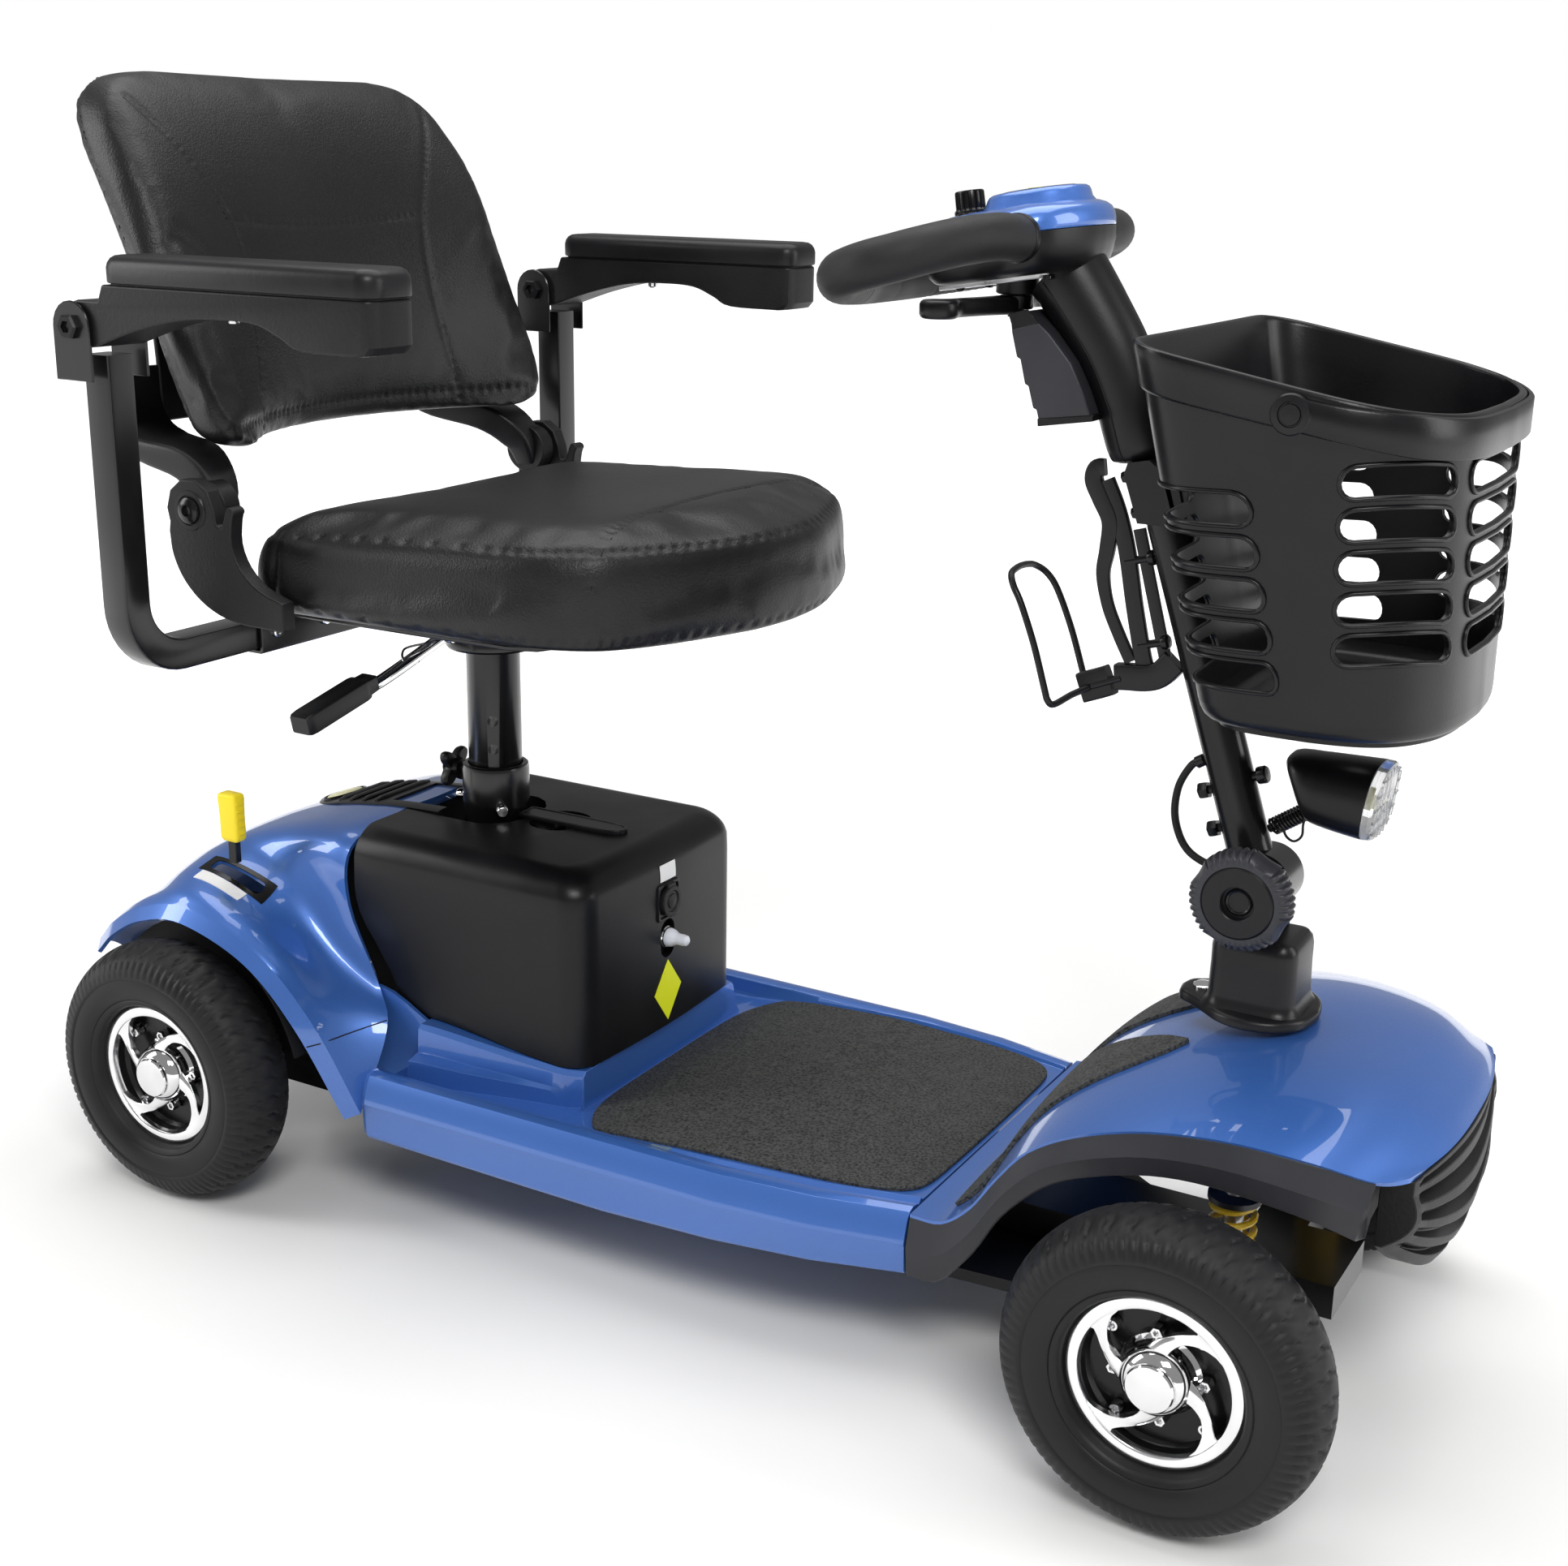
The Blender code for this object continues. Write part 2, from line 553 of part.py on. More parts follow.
def build_battery():
    def level(z, margin, seat=False):
        points = []
        for x, y in battery_outline(z, margin):
            points.append((x, y, plinth_height(x) + 2 * GAP if seat else z))
        return points

    wall = 0.0035
    loops = [level(BATTERY_TOP - 0.008, 0.026), level(0.300, wall + 0.004), level(0.255, wall), level(0.200, wall),
             level(0.165, wall, seat=True), level(0.165, 0.0, seat=True), level(0.200, 0.0), level(0.255, 0.0),
             level(0.295, 0.0005), level(0.309, 0.005), level(0.317, 0.012), level(BATTERY_TOP, 0.019)]
    solid("battery_box", skin(loops), "black_plastic", (0.29, 0.0, 0.24))
    cells = solid("battery_cells", box(0.236, 0.346, -0.104, 0.104, 0.182, 0.290), "trim_plastic", (0.29, 0.0, 0.24))
    bevel(cells, 0.003, 1)
    top = BATTERY_TOP + GAP
    half = [(0.216, 0.0), (0.216, 0.010), (0.300, 0.0105), (0.312, 0.010), (0.318, 0.006), (0.320, 0.0)]
    solid("battery_handle", prism_z(mirrored(half), top, top + 0.004), "black_plastic", (0.320, 0.0, top))
    cap = turned([(0.0125, 0.0), (0.0125, 0.005), (0.010, 0.007)], (0.3625, 0.0, 0.270), "X", 20)
    solid("charge_cap", cap, "black_plastic", (0.3650, 0.0, 0.2835))
    button = [(0.0085, 0.0), (0.0085, 0.006), (0.0055, 0.008), (0.0050, 0.017), (0.0025, 0.020)]
    solid("reset_button", turned(button, (0.3650, 0.0, 0.235), "X", 16), "white_plastic", (0.3650, 0.0, 0.235))


# ---------------------------------------------------------------- seat
def build_seat_post():
    wall = [(SOCKET_RADIUS, FRAME_TOP + GAP), (SOCKET_RADIUS, SOCKET_TOP), (POST_RADIUS + 0.0006, SOCKET_TOP),
            (POST_RADIUS + 0.0006, FRAME_TOP + GAP)]
    solid("seat_socket", turned(wall, (POST_X, 0, 0), "Z", 28, ring=True), "black_steel", (POST_X, 0, 0.2))
    post = [(POST_RADIUS, 0.200), (POST_RADIUS, 0.466), (0.040, 0.468), (0.040, 0.478)]
    solid("seat_post", turned(post, (POST_X, 0, 0), "Z", 28), "black_steel", (POST_X, 0, 0.3))
    knob_x = POST_X - SOCKET_RADIUS - GAP
    wing = [(-0.006, -0.020), (0.006, -0.020), (0.009, -0.006), (0.009, 0.006), (0.006, 0.020), (-0.006, 0.020),
            (-0.009, 0.006), (-0.009, -0.006)]
    z = 0.352
    loops = [[(x, s * y, z + s * w) for y, w in wing]
             for x, s in ((knob_x, 0.45), (knob_x - 0.012, 0.45), (knob_x - 0.013, 1.0), (knob_x - 0.024, 1.0))]
    solid("post_knob", skin(loops), "black_plastic", (knob_x, 0, z))


def build_seat_frame():
    pivot = (POST_X, 0.0, 0.49)
    frame = solid("seat_frame", box(0.036, 0.345, -0.150, 0.150, 0.5060, 0.5160), "black_steel", pivot)
    receiver = box(ARM_X - 0.0165, ARM_X + 0.0165, -0.155, 0.155, 0.4735, 0.5070)
    bore = box(ARM_X - 0.0133, ARM_X + 0.0133, -0.20, 0.20, 0.4767, 0.5033)
    drum = turned([(0.045, 0.4785), (0.045, 0.5070)], (POST_X, 0, 0), "Z", 24)
    combine(frame, tool("receiver_tool", receiver), "UNION")
    combine(frame, tool("drum_tool", drum), "UNION")
    combine(frame, tool("bore_tool", bore), "DIFFERENCE")


def seat_outline(scale, x_shift=0.0):
    """Plan outline of the seat cushion: square at the back, rounded at the front."""
    half = [(0.098, 0.0), (0.098, 0.150), (0.104, 0.195), (0.125, 0.210), (0.250, 0.213), (0.350, 0.212),
            (0.402, 0.200), (0.436, 0.170), (0.460, 0.130), (0.484, 0.065), (0.490, 0.0)]
    centre_x = 0.31
    return mirrored([(centre_x + (x - centre_x) * scale + x_shift, y * scale) for x, y in half])


def build_seat():
    levels = [(SEAT_BOTTOM, 0.90), (0.530, 0.965), (0.560, 1.0), (0.585, 0.985), (0.600, 0.94), (SEAT_TOP, 0.80)]
    loops = []
    for z, scale in levels:
        drop = [(x, y, z - 0.012 * max(0.0, (0.20 - x) / 0.10) * (z - SEAT_BOTTOM) / 0.084)
                for x, y in seat_outline(scale)]
        loops.append(drop)
    solid("seat_cushion", skin(loops), "seat_vinyl", (POST_X, 0.0, 0.56))


def build_side_bracket(label, side):
    """Curved plastic bracket that holds the back hinge at one side of the seat."""
    hx, hz = BACK_HINGE
    outline = [(hx + 0.024 * math.cos(a), hz + 0.024 * math.sin(a)) for a in np.radians([30, 70, 110, 150, 190])]
    outline += [(0.052, 0.570), (0.075, 0.540), (0.110, 0.520), (0.165, 0.5180), (0.165, 0.540), (0.130, 0.556),
                (0.112, 0.580), (0.120, 0.606)]
    y0, y1 = side * 0.2170, side * 0.2310
    obj = solid("side_bracket_" + label, prism_y(outline, y0, y1), "black_plastic", (POST_X, side * 0.224, 0.56))
    bevel(obj, 0.003, 1)


BACK_LEVELS = [  # height, front at the centre, extra at the wings, half width
    (0.648, 0.020, 0.062, 0.190), (0.660, 0.026, 0.068, 0.207), (0.720, 0.025, 0.050, 0.212),
    (0.790, 0.019, 0.028, 0.212), (0.850, 0.005, 0.012, 0.206), (0.890, -0.012, 0.004, 0.190),
    (0.918, -0.028, 0.000, 0.160), (0.932, -0.042, 0.000, 0.120)]


def back_outline(front, wing, half):
    points = []
    for v in np.linspace(-1.0, 1.0, 9):
        points.append((front + wing * abs(v) ** 2.2, half * v))
    for v in np.linspace(1.0, -1.0, 9):
        points.append((front - 0.052 + wing * abs(v) ** 2.2 * 0.9 + 0.010 * (abs(v) ** 6), half * v))
    return points


def build_backrest():
    pivot = (BACK_HINGE[0], 0.0, BACK_HINGE[1])
    loops = []
    for n, (z, front, wing, half) in enumerate(BACK_LEVELS):
        pinch = 0.70 if n in (0, len(BACK_LEVELS) - 1) else 1.0
        middle = front - 0.026
        loops.append([(middle + (x - middle) * pinch, y, z) for x, y in back_outline(front, wing, half)])
    solid("backrest_cushion", skin(loops), "seat_vinyl", pivot)

    hx, hz = BACK_HINGE
    thickness = 0.005
    plate = [(-0.0320, 0.655), (-0.0345, 0.720), (-0.0450, 0.800), (-0.0660, 0.870)]
    outline = [(x - GAP * 4, z) for x, z in plate] + [(x - thickness - GAP * 4, z) for x, z in reversed(plate)]
    frame = solid("back_frame", prism_y(outline, -0.150, 0.150), "black_plastic", pivot)
    for label, side in (("left", 1.0), ("right", -1.0)):
        strap = [(hx + 0.020, hz - 0.004), (hx + 0.010, hz + 0.034), (-0.020, 0.6440), (-0.0336, 0.690),
                 (-0.0386, 0.690), (-0.0390, 0.640), (hx - 0.022, hz + 0.004), (hx - 0.010, hz - 0.018),
                 (hx + 0.010, hz - 0.018)]
        piece = prism_y(strap, side * 0.130, side * 0.2155)
        combine(frame, tool("strap_tool_" + label, piece), "UNION")


def build_swivel_lever():
    path = [(0.181, -0.0490, 0.4895), (0.180, -0.080, 0.4790), (0.176, -0.150, 0.4620)]
    lever = solid("swivel_lever", sweep(path, circle(0.0055, 8)), "chrome", (0.181, -0.046, 0.490))
    grip = sweep([(0.177, -0.142, 0.4640), (0.172, -0.225, 0.4450)], rounded_square(0.0095, 0.003))
    combine(lever, tool("grip_tool", grip), "UNION")


def build_armrest(label, side):
    bend = 0.045
    corner = [(side * (ARM_Y - bend * (1 - math.sin(a))), 0.490 + bend * (1 - math.cos(a)))
              for a in np.radians([0, 22.5, 45, 67.5, 90])]
    path = [(ARM_X, side * 0.020, 0.490)] + [(ARM_X, y, z) for y, z in corner] + [(ARM_X, side * ARM_Y, 0.7240)]
    solid("armrest_tube_" + label, sweep(path, rounded_square(0.0127, 0.003)), "black_steel",
          (ARM_X, side * 0.15, 0.49))
    hinge = (ARM_X - 0.006, side * ARM_Y, ARM_HINGE_Z)
    base_top = ARM_PAD_TOP - 0.021
    hx, hz = hinge[0], hinge[2]
    outline = [(hx + 0.018 * math.cos(a), hz + 0.018 * math.sin(a)) for a in np.radians([200, 250, 300])]
    outline += [(hx + 0.075, 0.7480), (0.165, 0.7560), (0.225, 0.7560), (0.255, 0.7440), (0.314, 0.7440),
                (0.326, 0.756), (0.326, base_top), (0.078, base_top), (0.072, 0.764), (hx + 0.006, 0.765),
                (hx - 0.014, 0.760)]
    base = solid("arm_base_" + label, prism_y(outline, side * (ARM_Y - 0.024), side * (ARM_Y + 0.024)),
                 "black_plastic", hinge)
    bevel(base, 0.0025, 1)
    pad = solid("arm_pad_" + label, box(0.076, 0.327, side * ARM_Y - 0.0255, side * ARM_Y + 0.0255,
                                       base_top + GAP, ARM_PAD_TOP), "black_plastic", hinge)
    bevel(pad, 0.006, 2)


# ---------------------------------------------------------------- tiller
def build_tiller_socket():
    pivot = (STEER_X, 0.0, 0.29)
    half = [(0.812, 0.0), (0.815, 0.013), (0.826, 0.022), (0.842, 0.033), (0.858, 0.043), (0.876, 0.046),
            (0.898, 0.038), (0.911, 0.022), (0.916, 0.0)]
    socket = solid("tiller_socket", prism_z(mirrored(half), 0.2860, 0.2940), "black_plastic", pivot)
    column = prism_z([(0.839, -0.026), (0.843, -0.030), (0.898, -0.030), (0.902, -0.026), (0.902, 0.026),
                      (0.898, 0.030), (0.843, 0.030), (0.839, 0.026)], 0.2930, 0.3500)
    shaft = turned([(0.0120, FRAME_TOP + GAP), (0.0120, 0.2870)], (STEER_X, 0, 0), "Z", 16)
    combine(socket, tool("column_tool", column), "UNION")
    combine(socket, tool("shaft_tool", shaft), "UNION")
    hx, hz = TILLER_HINGE
    cheek = [(0.843, 0.345), (0.899, 0.345), (0.899, hz)]
    cheek += [(hx + 0.028 * math.cos(a), hz + 0.028 * math.sin(a)) for a in np.radians([20, 60, 100, 140, 180])]
    for label, side in (("left", 1.0), ("right", -1.0)):
        piece = prism_y(cheek, side * 0.0180, side * 0.0295)
        combine(socket, tool("cheek_tool_" + label, piece), "UNION")


def build_angle_knob():
    hx, hz = TILLER_HINGE
    lobes = 16
    loops = []
    for y, radius, depth in ((-0.0300, 0.014, 0.0), (-0.0430, 0.016, 0.0), (-0.0435, 0.0345, 0.0018),
                             (-0.0480, 0.0370, 0.0020), (-0.0600, 0.0370, 0.0020), (-0.0640, 0.0330, 0.0)):
        loop = []
        for i in range(lobes * 2):
            angle = math.pi * i / lobes
            r = radius - (depth if i % 2 else 0.0)
            loop.append((hx + r * math.cos(angle), y, hz + r * math.sin(angle)))
        loops.append(loop)
    solid("angle_knob", skin(loops), "trim_plastic", (hx, -0.05, hz))


def build_tiller_tube():
    hx, hz = TILLER_HINGE
    hub = turned([(0.0230, -0.0170), (0.0230, 0.0170)], (hx, 0, hz), "Y", 20)
    tube = solid("tiller_tube", hub, "black_steel", (hx, 0, hz))
    stem = sweep([(0.8600, 0, 0.3890), (0.8535, 0, 0.4090), (0.7760, 0, 0.6400)], circle(TUBE_RADIUS, 16))
    combine(tube, tool("stem_tool", stem), "UNION")


NECK = [((0.7752, 0.6424), 0.0150), ((0.7690, 0.6560), 0.0180), ((0.7500, 0.6900), 0.0220), ((0.7330, 0.7370), 0.0255),
        ((0.7070, 0.7800), 0.0290)]


def build_tiller_neck():
    loops = []
    for n, ((x, z), radius) in enumerate(NECK):
        (x0, z0), (x1, z1) = NECK[max(0, n - 1)][0], NECK[min(len(NECK) - 1, n + 1)][0]
        ahead = Vector((x1 - x0, z1 - z0)).normalized()
        across = Vector((ahead.y, -ahead.x))
        loop = []
        for i in range(16):
            a = 2 * math.pi * i / 16
            loop.append((x + across.x * radius * math.cos(a), radius * 0.95 * math.sin(a),
                         z + across.y * radius * math.cos(a)))
        loops.append(loop)
    solid("tiller_neck", skin(loops), "black_plastic", (TILLER_HINGE[0], 0, TILLER_HINGE[1]))


def console_plan(scale=1.0):
    half = [(0.596, 0.0), (0.597, 0.028), (0.606, 0.045), (0.640, 0.053), (0.684, 0.056), (0.702, 0.049),
            (0.715, 0.028), (0.719, 0.0)]
    return mirrored([(0.665 + (x - 0.665) * scale, y * scale) for x, y in half])


def console_height(x, lift):
    """Height of a console layer, rising toward the front."""
    return 0.783 + math.tan(CONSOLE_LEAN) * (x - 0.596) + lift


def build_console():
    hinge = (TILLER_HINGE[0], 0, TILLER_HINGE[1])
    loops = [[(x, y, console_height(x, lift)) for x, y in console_plan(scale)]
             for lift, scale in ((0.000, 0.86), (0.005, 0.97), (0.022, 1.0))]
    lower = solid("console_lower", skin(loops), "black_plastic", hinge)
    neck_room = sweep([(0.7320, 0, 0.7390), (0.7070, 0, 0.7800), (0.6600, 0, 0.8600)], circle(0.0294, 16))
    combine(lower, tool("neck_room_tool", neck_room), "DIFFERENCE")
    loops = [[(x, y, console_height(x, lift)) for x, y in console_plan(scale)]
             for lift, scale in ((0.0224, 1.0), (0.034, 0.93), (0.042, 0.75), (0.046, 0.45))]
    solid("console_top", skin(loops), "blue_paint", hinge)


GRIP_HALF = [(0.683, 0.0585, 0.822), (0.682, 0.095, 0.824), (0.672, 0.135, 0.821), (0.655, 0.163, 0.815),
             (0.630, 0.175, 0.808), (0.605, 0.165, 0.800), (0.580, 0.125, 0.793), (0.556, 0.065, 0.788),
             (0.548, 0.0, 0.786)]


def build_handlebar():
    hinge = (TILLER_HINGE[0], 0, TILLER_HINGE[1])
    half = smooth_path(GRIP_HALF, 2)
    path = half + [(x, -y, z) for x, y, z in reversed(half[:-1])]
    solid("handlebar", sweep(path, circle(0.0155, 10)), "foam_grip", hinge)


SPEED_KNOB = (0.618, 0.0, 0.829)
THROTTLE = (0.655, 0.0, 0.7805)


def build_controls():
    x, y, z = SPEED_KNOB
    knob = turned([(0.0135, 0.0045), (0.0135, 0.0200), (0.0115, 0.0220)], (x, y, z), "Z", 20)
    solid("speed_knob", leaned(knob, SPEED_KNOB, CONSOLE_LEAN), "black_plastic", SPEED_KNOB)
    x, y, z = THROTTLE
    half = [(x - 0.012, 0.0), (x - 0.012, 0.012), (x - 0.020, 0.060), (x - 0.034, 0.076), (x - 0.030, 0.092),
            (x - 0.014, 0.092), (x - 0.010, 0.064), (x + 0.004, 0.014), (x + 0.008, 0.0)]
    solid("throttle_lever", prism_z(mirrored(half), z - 0.008, z), "black_plastic", THROTTLE)
    case = [(0.660, 0.7690), (0.670, 0.7712), (0.7010, 0.7380), (0.7180, 0.7030), (0.684, 0.6980)]
    body = solid("accessory_case", prism_y(case, -0.032, 0.032), "black_plastic",
                 (TILLER_HINGE[0], 0, TILLER_HINGE[1]))
    bevel(body, 0.002, 1)


BASKET_TOP = 0.766
BASKET_DROP = 0.185
BAIL_DEPTH = 0.016


def basket_outline(t, margin=0.0):
    """Plan outline at t, from 0 at the bottom to 1 at the rim."""
    rear = 0.845 - 0.053 * t
    front = 1.003 - 0.008 * t
    half = 0.124 + 0.026 * t
    outline = [(rear, 0.0), (rear, half - 0.045), (rear + 0.008, half - 0.022), (rear + 0.028, half - 0.006),
               (rear + 0.055, half), (front - 0.070, half), (front - 0.035, half - 0.014),
               (front - 0.012, half - 0.045), (front - 0.002, half - 0.085), (front, 0.0)]
    loop = mirrored(outline)
    return inset(loop, margin) if margin else loop


def basket_rim_height(x):
    return BASKET_TOP - BASKET_DROP * (x - 0.798)


def basket_loop(t, margin, lift=0.0):
    bottom = 0.520 + lift
    return [(x, y, bottom + (basket_rim_height(x) - bottom) * t) for x, y in basket_outline(t, margin)]


def build_basket():
    wall = 0.0028
    loops = [basket_loop(0.0, wall, 0.0035), basket_loop(0.5, wall, 0.0035), basket_loop(1.0, wall),
             basket_loop(1.0, -0.003), basket_loop(0.86, -0.003), basket_loop(0.85, 0.0), basket_loop(0.5, 0.0),
             basket_loop(0.03, 0.0), basket_loop(0.0, 0.006)]
    basket = solid("basket", skin(loops), "black_plastic", (0.80, 0.0, 0.65))
    for row in range(5):
        t = 0.17 + 0.125 * row
        z = 0.520 + (basket_rim_height(0.91) - 0.520) * t
        for n, (x0, x1) in enumerate(((0.866, 0.922), (0.938, 0.966))):
            cutter = tool("slot_tool_%d_%d" % (row, n), box(x0, x1, -0.20, 0.20, z, z + 0.012))
            combine(basket, cutter, "DIFFERENCE")
    ends = []
    offset = 0.0035 + GAP
    half = [(0.9030, 0.1500), (0.9430, 0.1500), (0.9650, 0.1380), (0.9890, 0.1070), (0.9990, 0.0660), (1.0010, 0.0)]
    for x, y in half:
        z = basket_rim_height(x) - BAIL_DEPTH
        scale = 1.0 if y else 0.0
        ends.append((x + offset * (0.0 if y > 0.14 else 1.0), y + offset * scale + 0.002, z))
    path = [(x, y if y > 0.01 else 0.0, z) for x, y, z in ends]
    path = path + [(x, -y, z) for x, y, z in reversed(path[:-1])]
    section = [(-0.0018, -0.008), (0.0018, -0.008), (0.0018, 0.008), (-0.0018, 0.008)]
    solid("basket_handle", sweep(path, section), "black_plastic", BAIL_HINGE)
    bracket = [(0.7985, 0.6320), (0.7900, 0.6620), (0.8090, 0.6680), (0.8180, 0.6300)]
    solid("basket_bracket", prism_y(bracket, -0.028, 0.028), "black_plastic",
          (TILLER_HINGE[0], 0, TILLER_HINGE[1]))


BAIL_HINGE = (0.9030, 0.0, basket_rim_height(0.9030) - BAIL_DEPTH)


def build_bottle_holder():
    hinge = (TILLER_HINGE[0], 0, TILLER_HINGE[1])
    arm = smooth_path([(0.7560, 0, 0.6400), (0.7400, 0, 0.6200), (0.7330, 0, 0.5900), (0.7420, 0, 0.5500),
                       (0.7620, 0, 0.5250), (0.7900, 0, 0.5300)], 2)
    holder = solid("bottle_holder", sweep(arm, rounded_square(0.0065, 0.002)), "black_plastic", hinge)
    half = [(0.7600, 0.000, 0.5220), (0.7480, 0.0170, 0.5100), (0.7300, 0.0300, 0.4960), (0.7150, 0.0330, 0.5000),
            (0.6960, 0.0320, 0.5400), (0.6760, 0.0290, 0.5800), (0.6690, 0.0180, 0.5880), (0.6680, 0.0, 0.5890)]
    curve = smooth_path(half, 2)
    path = curve + [(x, -y, z) for x, y, z in reversed(curve[1:-1])]
    loops_points, loops_faces = sweep(path, circle(0.0026, 6))
    sides = 6
    count = len(path)
    faces = [f for f in loops_faces if len(f) == 4]
    for j in range(sides):
        k = (j + 1) % sides
        last = (count - 1) * sides
        faces.append((last + j, last + k, k, j))
    combine(holder, tool("hoop_tool", (loops_points, faces)), "UNION")


HEADLIGHT_HINGE = (0.8735, 0.0, 0.4255)


def build_headlight():
    shell = [((0.884, 0.462), 0.012, 0.011), ((0.900, 0.462), 0.022, 0.018), ((0.925, 0.459), 0.030, 0.0235),
             ((0.9385, 0.458), 0.031, 0.0245)]
    loops = []
    for (x, z), half_y, half_z in shell:
        loops.append([(x + 0.10 * s * half_z, half_y * c, z + half_z * s)
                      for c, s in [(math.cos(a), math.sin(a)) for a in np.linspace(0, 2 * math.pi, 17)[:-1]]])
    body = solid("headlight_body", skin(loops), "black_plastic", HEADLIGHT_HINGE)
    hx, hy, hz = HEADLIGHT_HINGE
    stem = sweep([(hx - 0.003, 0, hz - 0.002), (0.9080, 0, 0.4540)], circle(0.005, 8))
    combine(body, tool("light_stem_tool", stem), "UNION")
    loops = []
    for x, scale in ((0.9390, 1.0), (0.9430, 0.98), (0.9465, 0.80)):
        loops.append([(x + 0.10 * s * 0.0245 * scale, 0.031 * scale * c, 0.458 + 0.0245 * scale * s)
                      for c, s in [(math.cos(a), math.sin(a)) for a in np.linspace(0, 2 * math.pi, 17)[:-1]]])
    solid("headlight_lens", skin(loops), "clear_lens", HEADLIGHT_HINGE)


CABLE_ROUTE = [(0.8140, 0.0, 0.4640), (0.8070, 0.0, 0.4590), (0.7990, 0.0, 0.4420), (0.7980, 0.0, 0.4200),
               (0.8060, 0.0, 0.4000), (0.8200, 0.0, 0.3900), (0.8415, 0.0, 0.3860)]


def build_cable():
    cable = sweep(smooth_path(CABLE_ROUTE, 2), circle(0.0028, 8))
    solid("column_cable", cable, "black_plastic", (TILLER_HINGE[0], 0, TILLER_HINGE[1]))


def main():
    build_chassis()
    build_transaxle()
    for label, side in (("left", 1.0), ("right", -1.0)):
        build_wheel("rear_" + label, 0.0, side, REAR_TRACK_HALF)
        build_wheel("front_" + label, WHEELBASE, side, FRONT_TRACK_HALF)
        build_knuckle(label, side)
        build_side_bracket(label, side)
        build_armrest(label, side)
    build_deck()
    build_bonnet()
    build_fender_trim()
    build_bumper()
    build_rear_shroud()
    build_vent_panel()
    build_freewheel_lever()
    build_battery()
    build_seat_post()
    build_seat_frame()
    build_seat()
    build_backrest()
    build_swivel_lever()
    build_tiller_socket()
    build_angle_knob()
    build_tiller_tube()
    build_tiller_neck()
    build_console()
    build_handlebar()
    build_controls()
    build_basket()
    build_bottle_holder()
    build_headlight()
    build_cable()


main()
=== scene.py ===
import math

import bmesh
import bpy
import numpy as np
from mathutils import Matrix, Vector
from mathutils.bvhtree import BVHTree
from mathutils.geometry import delaunay_2d_cdt
from mathutils.kdtree import KDTree


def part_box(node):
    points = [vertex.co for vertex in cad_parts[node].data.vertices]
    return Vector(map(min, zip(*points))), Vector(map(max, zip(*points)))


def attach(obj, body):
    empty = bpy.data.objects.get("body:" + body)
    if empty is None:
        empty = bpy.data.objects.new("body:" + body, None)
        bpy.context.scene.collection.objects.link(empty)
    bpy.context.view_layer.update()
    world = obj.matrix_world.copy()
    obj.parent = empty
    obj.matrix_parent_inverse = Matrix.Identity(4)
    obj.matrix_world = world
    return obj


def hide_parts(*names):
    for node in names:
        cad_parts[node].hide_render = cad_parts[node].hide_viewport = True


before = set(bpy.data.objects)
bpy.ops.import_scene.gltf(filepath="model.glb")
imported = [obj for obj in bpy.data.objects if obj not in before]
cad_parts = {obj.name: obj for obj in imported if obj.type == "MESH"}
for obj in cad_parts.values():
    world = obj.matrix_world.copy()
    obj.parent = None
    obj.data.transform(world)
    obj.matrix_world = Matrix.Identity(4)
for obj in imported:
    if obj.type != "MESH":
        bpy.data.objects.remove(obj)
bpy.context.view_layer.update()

scene = bpy.context.scene


def centre(node):
    low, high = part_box(node)
    return (low + high) / 2


# Lengths below are metres; X is measured ahead of the rear axle.
AXLE = centre("rim_rear_left").x
WHEELBASE = centre("rim_front_left").x - AXLE
WHEEL_Z = centre("rim_rear_left").z
REAR_TRACK = centre("rim_rear_left").y
FRONT_TRACK = centre("rim_front_left").y
POST_X = centre("seat_post").x - AXLE
ARM_X = centre("armrest_tube_left").x - AXLE
ARM_Y = centre("arm_base_left").y
SIDES = (("left", 1.0), ("right", -1.0))

# The camera stands ahead of the scooter and to its right; the angles are in degrees.
CAMERA_TURN, CAMERA_RISE, CAMERA_ROLL = 29.6813, 16.8532, 0.9673
CAMERA_PLACE = (1.2689 + AXLE, -1.3972, 0.8783)
CAMERA_LENS_MM = 48.248


# ---------------------------------------------------------------- camera, floor and light
def set_camera():
    azimuth, elevation, roll = map(math.radians, (CAMERA_TURN, CAMERA_RISE, CAMERA_ROLL))
    back = Vector((math.sin(azimuth) * math.cos(elevation), -math.cos(azimuth) * math.cos(elevation),
                   math.sin(elevation)))
    right = Vector((math.cos(azimuth), math.sin(azimuth), 0.0))
    up = back.cross(right)
    turned_right = right * math.cos(roll) + up * math.sin(roll)
    turned_up = up * math.cos(roll) - right * math.sin(roll)
    data = bpy.data.cameras.new("camera")
    data.lens = CAMERA_LENS_MM
    data.sensor_width = 36.0
    data.clip_end = 50.0
    camera = bpy.data.objects.new("camera", data)
    scene.collection.objects.link(camera)
    place = Matrix((turned_right, turned_up, back)).transposed().to_4x4()
    place.translation = Vector(CAMERA_PLACE)
    camera.matrix_world = place
    scene.camera = camera


def add_light(name, place, target, size, power):
    """A rectangular area light that faces its target."""
    data = bpy.data.lights.new(name, "AREA")
    data.shape = "RECTANGLE"
    data.size, data.size_y = size
    data.energy = power
    obj = bpy.data.objects.new(name, data)
    obj.location = place
    obj.rotation_euler = (Vector(target) - Vector(place)).to_track_quat("-Z", "Y").to_euler()
    scene.collection.objects.link(obj)


